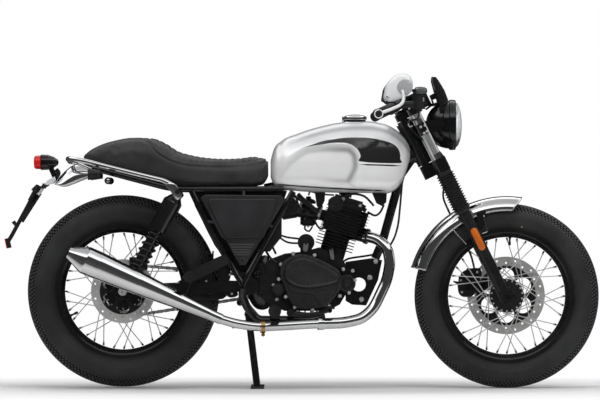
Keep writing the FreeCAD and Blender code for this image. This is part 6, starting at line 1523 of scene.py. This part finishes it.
def makeCarb():
    size = carbSizes
    tip = Vector(size["tip"])
    parts = [lathe(size["capProfile"], size["cap"], (0, 0, 1), 40)]
    bx, by, bz = size["bowl"]
    halfX, halfY, corner = size["bowlPlan"]
    for levels in (size["bowlLevels"], size["lipLevels"]):
        rings = []
        for grow, turn, rise in levels:
            plan = roundedPlan(halfX + grow, halfY + grow, corner + turn)
            rings.append([(bx + f, by + y, bz + rise) for f, y in plan])
        parts.append(stacked(rings))
    parts.append(turned(size["drain"], bx - 0.004, bz + 0.03, 20))
    for path, radius in size["cables"]:
        parts.append(softTube(path, radius))
    parts.append(sideStack(size["bracket"], [(0, -0.03), (0, -0.034)], 0))
    parts.append(sideStack(size["coil"], [(0, -0.034), (0, -0.054), (0.003, -0.056)], 4))
    ribs = size["ribs"]
    for i in range(ribs["count"]):
        y = ribs["start"] + i * ribs["pitch"]
        parts.append(sideStack(size["regulator"], [(0, y), (0, y + ribs["thick"])], 0))
    core = [(px * 0.94 + 0.016, pz * 0.97 + 0.0196) for px, pz in size["regulator"]]
    parts.append(sideStack(core, [(0, -0.05), (0, -0.004)], 0))
    addPiece("carburettorDress", parts, "engineBlack", "chassis", smooth=False)
    rings = []
    for centre, r in size["clamps"]:
        rings.append(lathe([(r, -0.005), (r + 0.0012, -0.005), (r + 0.0012, 0.005), (r, 0.005)],
                           centre, tip, 40, True))
        rings.append(lathe([(0.003, -0.006), (0.003, 0.006)],
                           (centre[0], -r - 0.002, centre[2] + 0.004), (0, 0, 1), 10))
    for rise in (-0.021, -0.0225):
        rings.append(lathe([(0.0034, 0), (0.0034, -0.003)], (bx, by, bz + rise), (0, 0, 1), 8))
    addPiece("hoseClamps", rings, "steel", "chassis")
    px, py, pz = size["plug"]
    brass = [lathe([(0.0046, 0.0), (0.0046, -0.014), (0.0036, -0.0155)], (px, py, pz), (0, 1, 0), 12),
             lathe([(0.0036, 0.0), (0.0036, -0.01)], (bx - 0.012, -0.02, bz + 0.006), (0, 1, 0), 8)]
    addPiece("brassPlugs", brass, "brass", "chassis")


makeCap()
makeCarb()
print("cap and carburettor made")


# Side covers: raised border, louvres and the boss at the foot of the right cover.
sideCoverSizes = {
    "face": [(-0.3185, 0.64), (-0.3165, 0.645), (-0.312, 0.6475), (-0.096, 0.647), (-0.0915, 0.6445),
             (-0.0905, 0.639), (-0.145, 0.529), (-0.148, 0.524), (-0.153, 0.5215), (-0.256, 0.5215),
             (-0.261, 0.524), (-0.264, 0.529)],
    "louvres": [(0.4945, 0.044), (0.486, 0.04), (0.4775, 0.036), (0.469, 0.032), (0.4605, 0.028)],
    "middle": -0.207,
}


def makeSideCovers():
    size = sideCoverSizes
    parts = []
    for side in (-1, 1):
        near = abs(reachOf(["side_covers"], -0.2, 0.6, side))
        levels = [(-0.005, near - 0.002), (-0.0036, near + 0.0014), (-0.0008, near + 0.0026),
                  (0.0, near + 0.0026)]
        parts.append(sideStack(size["face"], [(inset, side * y) for inset, y in levels], 0))
        for z, half in size["louvres"]:
            near = abs(reachOf(["side_covers"], size["middle"], z, side))
            slat = [(size["middle"] - half, z + 0.003), (size["middle"] + half, z + 0.003),
                    (size["middle"] + half - 0.003, z - 0.003), (size["middle"] - half + 0.003, z - 0.003)]
            rings = [[(x, side * (near - 0.001), zz) for x, zz in slat]]
            outer = [near + (0.0006 if i < 2 else 0.0032) for i in range(4)]
            rings.append([(x, side * y, zz) for (x, zz), y in zip(slat, outer)])
            parts.append(stacked(rings))
        x, z = size["middle"] + 0.002, 0.44
        near = abs(reachOf(["side_covers"], x, z, side))
        parts.append(turned([(0.0105, near - 0.002), (0.01, near + 0.003), (0.008, near + 0.0045),
                             (0.005, near + 0.0045), (0.004, near + 0.002),
                            (0.0005, near + 0.002)], x, z, 28, side))
    addPiece("sideCoverDress", parts, "coverGrey", "chassis", smooth=False)


# Pipe clamps, the rear brake's hose and the pivots near the swingarm.
runGear = {
    "hoses": [
        ([(-0.33, -0.086, 0.47), (-0.318, -0.092, 0.432), (-0.3, -0.094, 0.405), (-0.31, -0.09, 0.378),
          (-0.345, -0.084, 0.372)], 0.0042),
        ([(-0.35, -0.09, 0.452), (-0.336, -0.094, 0.42), (-0.322, -0.092, 0.398), (-0.336, -0.086, 0.386)],
         0.0036),
        ([(-0.366, -0.092, 0.396), (-0.32, -0.096, 0.42), (-0.268, -0.092, 0.446)], 0.0048),
    ],
    "caps": [(-0.3836, 0.3874, 0.017), (-0.2127, 0.2957, 0.012)],
    "clamp": -0.133,
}


def makeRunGear():
    parts = []
    for path, radius in runGear["hoses"]:
        parts.append(softTube(path, radius))
    for x, z, r in runGear["caps"]:
        y = min(reachOf(["swingarm", "frame_sides", "frame_rails", "silencer"], x, z), -0.1) - 0.004
        parts.append(turned([(r, y + 0.02), (r, y + 0.003), (r * 0.88, y), (r * 0.6, y),
                             (r * 0.55, y + 0.003), (0.001, y + 0.003)], x, z, 32))
    addPiece("swingarmDress", parts, "glossBlack", "chassis")
    x = runGear["clamp"]
    heights = [z for z in np.arange(0.17, 0.26, 0.0015) if abs(reachOf(["exhaust_pipe"], x, float(z))) > 0.01]
    if heights:
        z = float(np.mean(heights))
        r = (max(heights) - min(heights)) / 2
        y = -abs(reachOf(["exhaust_pipe"], x, z)) + r
        band = [lathe([(r + 0.0005, -0.007), (r + 0.0022, -0.007), (r + 0.0022, 0.007), (r + 0.0005, 0.007)],
                      (x, y, z), (1, 0, 0.02), 48, True),
                lathe([(0.0045, -0.01), (0.0045, 0.012)], (x, y, z - r - 0.007), (0, 1, 0), 16),
                hexBolt((x, y - 0.01, z - r - 0.007), (0, -1, 0), 0.009, 0.006)]
        addPiece("pipeClamp", band, "brass", "chassis", smooth=False)


makeSideCovers()
makeRunGear()
print("side pieces made")


# Dark lining behind the right cover, the hanger's cover and what stands between frame and wheel.
fillSizes = {
    "lining": [(-0.3836, 0.6788), (-0.051, 0.6788), (-0.0697, 0.6228), (-0.2005, 0.3799), (-0.2191, 0.3799),
               (-0.3013, 0.492), (-0.3686, 0.6265)],
    "hanger": [(-0.4097, 0.3836), (-0.3779, 0.365), (-0.3985, 0.3201), (-0.4377, 0.3295)],
    "blocks": [
        ([(-0.35, 0.404), (-0.315, 0.408), (-0.295, 0.35), (-0.302, 0.325), (-0.338, 0.33), (-0.356, 0.372)],
         -0.078, -0.1),
        ([(-0.298, 0.432), (-0.256, 0.426), (-0.244, 0.39), (-0.26, 0.356), (-0.286, 0.36)], -0.076, -0.096),
        ([(-0.44, 0.356), (-0.276, 0.356), (-0.27, 0.308), (-0.4, 0.31)], -0.079, -0.088),
        ([(-0.27, 0.37), (-0.235, 0.356), (-0.22, 0.32), (-0.256, 0.316)], -0.078, -0.094),
    ],
    "rods": [([(-0.3686, -0.101, 0.3948), (-0.313, -0.103, 0.421), (-0.2602, -0.101, 0.4472)], 0.0022),
             ([(-0.32, -0.1, 0.47), (-0.327, -0.104, 0.44), (-0.318, -0.103, 0.408), (-0.298, -0.101, 0.37),
               (-0.28, -0.1, 0.33)], 0.0034),
             ([(-0.305, -0.101, 0.472), (-0.306, -0.104, 0.445), (-0.301, -0.103, 0.412),
               (-0.284, -0.101, 0.376)], 0.003)],
    "dots": [(-0.3287, 0.3687), (-0.3031, 0.335), (-0.247, 0.391), (-0.264, 0.332), (-0.241, 0.326)],
}


def makeFill():
    size = fillSizes
    parts = [sideStack(size["lining"], [(0.001, -0.052), (0, -0.05), (0, -0.046)], 0)]
    for outline, inner, outer in size["blocks"]:
        parts.append(sideStack(outline, [(0, inner), (0, outer + 0.003), (0.003, outer)], 4))
    addPiece("frameLining", parts, "engineBlack", "chassis", smooth=False)
    reach = reachOf(["silencer"], -0.405, 0.35)
    cover = sideStack(size["hanger"], [(0, reach + 0.004), (0, reach - 0.0012), (0.0015, reach - 0.0025)], 0)
    parts = [softTube(path, radius) for path, radius in size["rods"]]
    addPiece("silencerHangerCover", [cover] + parts, "glossBlack", "chassis", smooth=False)
    dots = [lathe([(0.0042, 0.006), (0.0042, -0.002), (0.003, -0.0035), (0.001, -0.004)], (x, -0.099, z),
                  (0, 1, 0), 14) for x, z in size["dots"]]
    addPiece("brakeLinkPins", dots, "steel", "chassis")


# Front caliper: two halves over the disc, joined by a bridge beyond its edge.
caliperSizes = {
    "outline": [(0.5536, 0.3978), (0.5789, 0.41), (0.615, 0.41), (0.6195, 0.3839), (0.5974, 0.3655),
                (0.5928, 0.32), (0.5605, 0.312), (0.5425, 0.3239), (0.5385, 0.3562), (0.5466, 0.3839)],
    "bridge": [(0.541, 0.385), (0.564, 0.385), (0.56, 0.325), (0.542, 0.325)],
    "pistons": [(0.576, 0.378, 0.015), (0.572, 0.343, 0.015)],
    "bolts": [(0.548, 0.37), (0.552, 0.329), (0.605, 0.398)],
}


def makeCaliper():
    size = caliperSizes
    parts = [sideStack(size["outline"], [(0.004, 0.0385), (0.001, 0.0395), (0, 0.042), (0, 0.0505)], 4),
             sideStack(size["outline"], [(0, 0.0615), (0, 0.076), (0.001, 0.0795), (0.005, 0.0815)], 4),
             sideStack(size["bridge"], [(0, 0.048), (0, 0.064)], 0)]
    for x, z, r in size["pistons"]:
        parts.append(turned([(r, 0.079), (r, 0.0835), (r - 0.002, 0.085), (0.001, 0.0852)], x, z, 28))
        parts.append(turned([(r - 0.001, 0.04), (r - 0.001, 0.0378), (r - 0.003, 0.0372), (0.001, 0.0372)], x,
                            z, 28))
    parts.append(lathe([(0.0045, 0.0), (0.0045, 0.01), (0.003, 0.012), (0.003, 0.018)], (0.54, 0.06, 0.36),
                       (-1, 0, 0.35), 12))
    for rib in range(4):
        z = 0.336 + rib * 0.0105
        parts.append(sideStack([(0.542, z), (0.59, z), (0.59, z + 0.0035), (0.542, z + 0.0035)],
                               [(0, 0.0395), (0.0004, 0.0372)], 0))
    addPiece("frontCaliperBody", parts, "engineBlack", "steering", smooth=False)
    bolts = []
    for x, z in size["bolts"]:
        bolts.append(turned([(0.0044, 0.04), (0.0044, 0.0365), (0.0034, 0.0355), (0.001, 0.0355)], x, z, 12))
        bolts.append(hexBolt((x, 0.081, z), (0, 1, 0), 0.01, 0.005))
    addPiece("caliperBolts", bolts, "steel", "steering", smooth=False)


# Fork tubes' ridges and a silver line down them, a painted reflection of the gaiters in the chrome, the wire
# guide and the dark shroud round the head tube.
forkTrim = {
    "runs": [(0.548, 0.629), (0.682, 0.706)], "pitch": 0.004, "radius": 0.0166,
    "wire": [(0.3873, -0.1, 0.9425), (0.3748, -0.103, 0.933), (0.3654, -0.104, 0.908),
             (0.3706, -0.103, 0.8986), (0.379, -0.101, 0.9017)],
    "shroud": [(0.3247, 0.9017), (0.3393, 0.8767), (0.356, 0.86), (0.3685, 0.8412), (0.3769, 0.7748),
               (0.402, 0.7748), (0.3852, 0.8412), (0.3685, 0.8934), (0.356, 0.9038)],
}


def makeForkTrim():
    size = forkTrim
    # Silver ridges and a line down each fork tube: a painted reflection of the ribbed gaiters in the chrome.
    rings = []
    for side in (-1, 1):
        for start, end in size["runs"]:
            for a in np.arange(start, end, size["pitch"]):
                low, high = Vector(onFork(-0.008, side * 0.092,
                                          a)), Vector(onFork(-0.008, side * 0.092, a + 0.0018))
                r = size["radius"]
                rings.append(lathe([(r - 0.001, 0), (r, 0.0002), (r, 0.0011), (r - 0.001, 0.0013)], low,
                                   high - low, 36, True))
        line = [onFork(0.004, side * 0.1085, a) for a in np.linspace(0.548, 0.706, 5)]
        rings.append(softTube(line, 0.0019, 3, 8))
    addPiece("forkReflectionRidges", rings, "silverPlastic", "steering", smooth=False)
    addPiece("forkWireGuide", [softTube(size["wire"], 0.0022)], "steel", "steering")
    shroud = slab(size["shroud"], 0.016, 0.003, 0.004)
    cables = [softTube([(0.336, -0.014, 0.892), (0.346, -0.018, 0.866), (0.36, -0.02, 0.838),
                        (0.368, -0.018, 0.79)], 0.0038),
              softTube([(0.336, 0.014, 0.892), (0.346, 0.018, 0.866), (0.36, 0.02, 0.838),
                        (0.368, 0.018, 0.79)], 0.0038)]
    addPiece("headShroud", [shroud] + cables, "rubber", "chassis", smooth=False)


# Rear: lamp neck, silver bracket, link and the thick loop at the end of the rail.
neckSizes = {
    "neck": [(-0.8485, 0, 0.753), (-0.839, 0, 0.74), (-0.8485, 0, 0.723), (-0.8622, 0, 0.708)], "ridges": 6,
    "silver": [(-0.8512, 0.7283), (-0.8471, 0.7159), (-0.856, 0.704), (-0.878, 0.6985), (-0.889, 0.702),
               (-0.876, 0.7159)],
    "link": [(-0.874, 0.704), (-0.884, 0.686), (-0.899, 0.69), (-0.893, 0.705)],
    "lower": [(-0.896, 0.69), (-0.89, 0.682), (-0.906, 0.662), (-0.914, 0.668)],
    "loop": [(-0.77, -0.0855, 0.778), (-0.786, -0.079, 0.78), (-0.795, -0.056, 0.7815), (-0.7985, 0.0, 0.782),
             (-0.795, 0.056, 0.7815), (-0.786, 0.079, 0.78), (-0.77, 0.0855, 0.778)],
}


def makeRear():
    size = neckSizes
    parts = [softTube(size["neck"], 0.0075, 6, 16)]
    line = [Vector(p) for p in size["neck"]]
    for k in range(size["ridges"]):
        share = (k + 0.5) / size["ridges"] * (len(line) - 1)
        piece = min(int(share), len(line) - 2)
        at = line[piece].lerp(line[piece + 1], share - piece)
        parts.append(lathe([(0.0075, -0.0012), (0.0096, -0.0008), (0.0096, 0.0008), (0.0075, 0.0012)], at,
                           line[piece + 1] - line[piece], 24, True))
    parts.append(slab(size["link"], 0.015))
    addPiece("lampNeck", parts, "rubber", "chassis", smooth=False)
    parts = [slab(size["silver"], 0.017),
             slab(size["lower"], 0.011, 0.001)]
    addPiece("lampBracket", parts, "silverPlastic", "chassis", smooth=False)
    addPiece("railLoop", [softTube(size["loop"], 0.0112, 8, 20)], "chrome", "chassis")


# The paint dot on the front tyre.
def makeTyreDot():
    x, z = 0.7566, 0.556
    rayTrees["front_tyre"] = BVHTree.FromObject(bpy.data.objects["frontTyreTread"],
                                                bpy.context.evaluated_depsgraph_get())
    y = reachOf(["front_tyre"], x, z) - 0.0007
    dot = lathe([(0.0042, 0.0015), (0.0042, -0.0002), (0.003, -0.0008), (0.001, -0.0009)], (x, y, z),
                (0, 1, 0.25), 16)
    addPiece("tyrePaintDot", [dot], "brass", "front_wheel")


makeFill()
makeCaliper()
makeForkTrim()
makeRear()
makeTyreDot()
print("fill and trim made")


# Floor and light.
stageSizes = {
    "floor": 60.0, "paper": [(0.86, 0.86, 0.86), (0.88, 0.88, 0.88)],
    # Ovals about the machine: how slim each is, and where it starts and ends.
    "fade": (0.62, 0.775, 1.426), "shade": (0.74, 0.5, 0.86), "shadeShare": 0.45,
    "shadeTone": (0.34, 0.34, 0.34), "glossShare": 0.4, "glossTone": (0.6, 0.59, 0.57), "glossCut": 0.93,
}


# Share across an oval on the floor, from one share at its start to another at its end.
def ovalShare(tree, x, y, oval, first, last):
    slim, start, end = oval
    return spread(tree, hypotNode(tree, mathNode(tree, "MULTIPLY", x, slim), y), start, end, first, last)


def makeFloor():
    size = stageSizes
    half = size["floor"] / 2
    corners = [(-half, -half, 0), (half, -half, 0), (half, half, 0), (-half, half, 0)]
    floor = rawMesh("studioFloor", corners, [(0, 1, 2, 3)])
    paint = bpy.data.materials.new("floorPaint")
    paint.use_nodes = True
    tree = paint.node_tree
    shader = tree.nodes["Principled BSDF"]
    shader.inputs["Roughness"].default_value = 0.7
    shader.inputs["Specular IOR Level"].default_value = 0.2
    x, y, z = ownPlace(tree)
    path = addNode(tree, "ShaderNodeLightPath").outputs
    gloss = path["Is Glossy Ray"]
    pale = mixColour(tree, noise(tree, place(tree), 2.0), *[rgb(tone) for tone in size["paper"]])
    # Under the machine a painted shadow darkens the paper, and reflections see it darker still.
    under = ovalShare(tree, x, y, size["shade"], size["shadeShare"], 0.0)
    pale = mixColour(tree, under, pale, rgb(size["shadeTone"]))
    inGloss = mathNode(tree, "MULTIPLY", gloss, size["glossShare"])
    tree.links.new(mixColour(tree, inGloss, pale, rgb(size["glossTone"])), shader.inputs["Base Color"])
    # Far out the floor is plain white to the camera and to reflections.
    shine = mathNode(tree, "SUBTRACT", 1.0, mathNode(tree, "MULTIPLY", gloss, size["glossCut"]))
    white = addNode(tree, "ShaderNodeEmission", {"Color": (1, 1, 1, 1), "Strength": shine})
    seen = mathNode(tree, "MAXIMUM", path["Is Camera Ray"],
                    mathNode(tree, "MAXIMUM", gloss, path["Is Transmission Ray"]))
    far = mathNode(tree, "MULTIPLY", ovalShare(tree, x, y, size["fade"], 0.0, 1.0), seen)
    both = addNode(tree, "ShaderNodeMixShader", {0: far, 1: shader.outputs[0], 2: white.outputs[0]})
    tree.links.new(both.outputs[0], tree.nodes["Material Output"].inputs["Surface"])
    floor.data.materials.append(paint)


# The light all round, and the grey steps from below to above that only reflections see.
skySizes = {
    "plain": 0.42, "gloss": 1.8,
    "steps": [(0.0, 0.6), (0.3, 0.5), (0.42, 0.3), (0.46, 0.03), (0.77, 0.025), (0.81, 0.8), (0.87, 1.0),
              (0.92, 0.45), (0.97, 0.28), (1.0, 0.26)],
}


def makeWorld():
    world = bpy.data.worlds.new("studio")
    stageScene.world = world
    world.use_nodes = True
    tree = world.node_tree
    tree.nodes.clear()
    path = addNode(tree, "ShaderNodeLightPath").outputs
    way = addNode(tree, "ShaderNodeTexCoord").outputs["Generated"]
    height = addNode(tree, "ShaderNodeSeparateXYZ", {0: way}).outputs[2]
    ramp = addNode(tree, "ShaderNodeValToRGB", {0: spread(tree, height, -1.0, 1.0, 0.0, 1.0)})
    band = ramp.color_ramp
    steps = skySizes["steps"]
    for end in (0, -1):
        band.elements[end].position, value = steps[end]
        band.elements[end].color = (value, value, value, 1)
    for position, value in steps[1:-1]:
        band.elements.new(position).color = (value, value, value, 1)
    plain, gloss, white = [
        addNode(tree, "ShaderNodeBackground", {"Color": colour, "Strength": strength}).outputs[0]
        for colour, strength in (((1, 1, 1, 1), skySizes["plain"]), (ramp.outputs[0], skySizes["gloss"]),
                                 ((1, 1, 1, 1), 1.0))
    ]
    glossMix = addNode(tree, "ShaderNodeMixShader", {0: path["Is Glossy Ray"], 1: plain, 2: gloss})
    seen = mathNode(tree, "MAXIMUM", path["Is Camera Ray"], path["Is Transmission Ray"])
    whole = addNode(tree, "ShaderNodeMixShader", {0: seen, 1: glossMix.outputs[0], 2: white})
    out = addNode(tree, "ShaderNodeOutputWorld")
    tree.links.new(whole.outputs[0], out.inputs["Surface"])


lightSizes = {
    "above": {"at": (0.2, -1.0, 4.2), "aim": (0.0, 0.0, 0.4), "size": 3.0, "power": 84},
    "front": {"at": (2.4, -4.4, 2.2), "aim": (0.2, 0.0, 0.5), "size": 2.4, "power": 84},
    "left": {"at": (-3.4, -3.8, 1.9), "aim": (-0.2, 0.0, 0.5), "size": 2.4, "power": 46},
    "behind": {"at": (-0.8, 4.2, 2.8), "aim": (0.0, 0.0, 0.5), "size": 3.0, "power": 30},
}


def makeLights():
    for name, size in lightSizes.items():
        lamp = bpy.data.lights.new(name + "Softbox", "AREA")
        lamp.size = size["size"]
        lamp.energy = size["power"]
        holder = bpy.data.objects.new(name + "Softbox", lamp)
        holder.location = size["at"]
        aim = Vector(size["aim"]) - Vector(size["at"])
        holder.rotation_euler = aim.to_track_quat("-Z", "Y").to_euler()
        holder.visible_glossy = False
        stageScene.collection.objects.link(holder)


makeFloor()
makeWorld()
makeLights()
print("stage made")
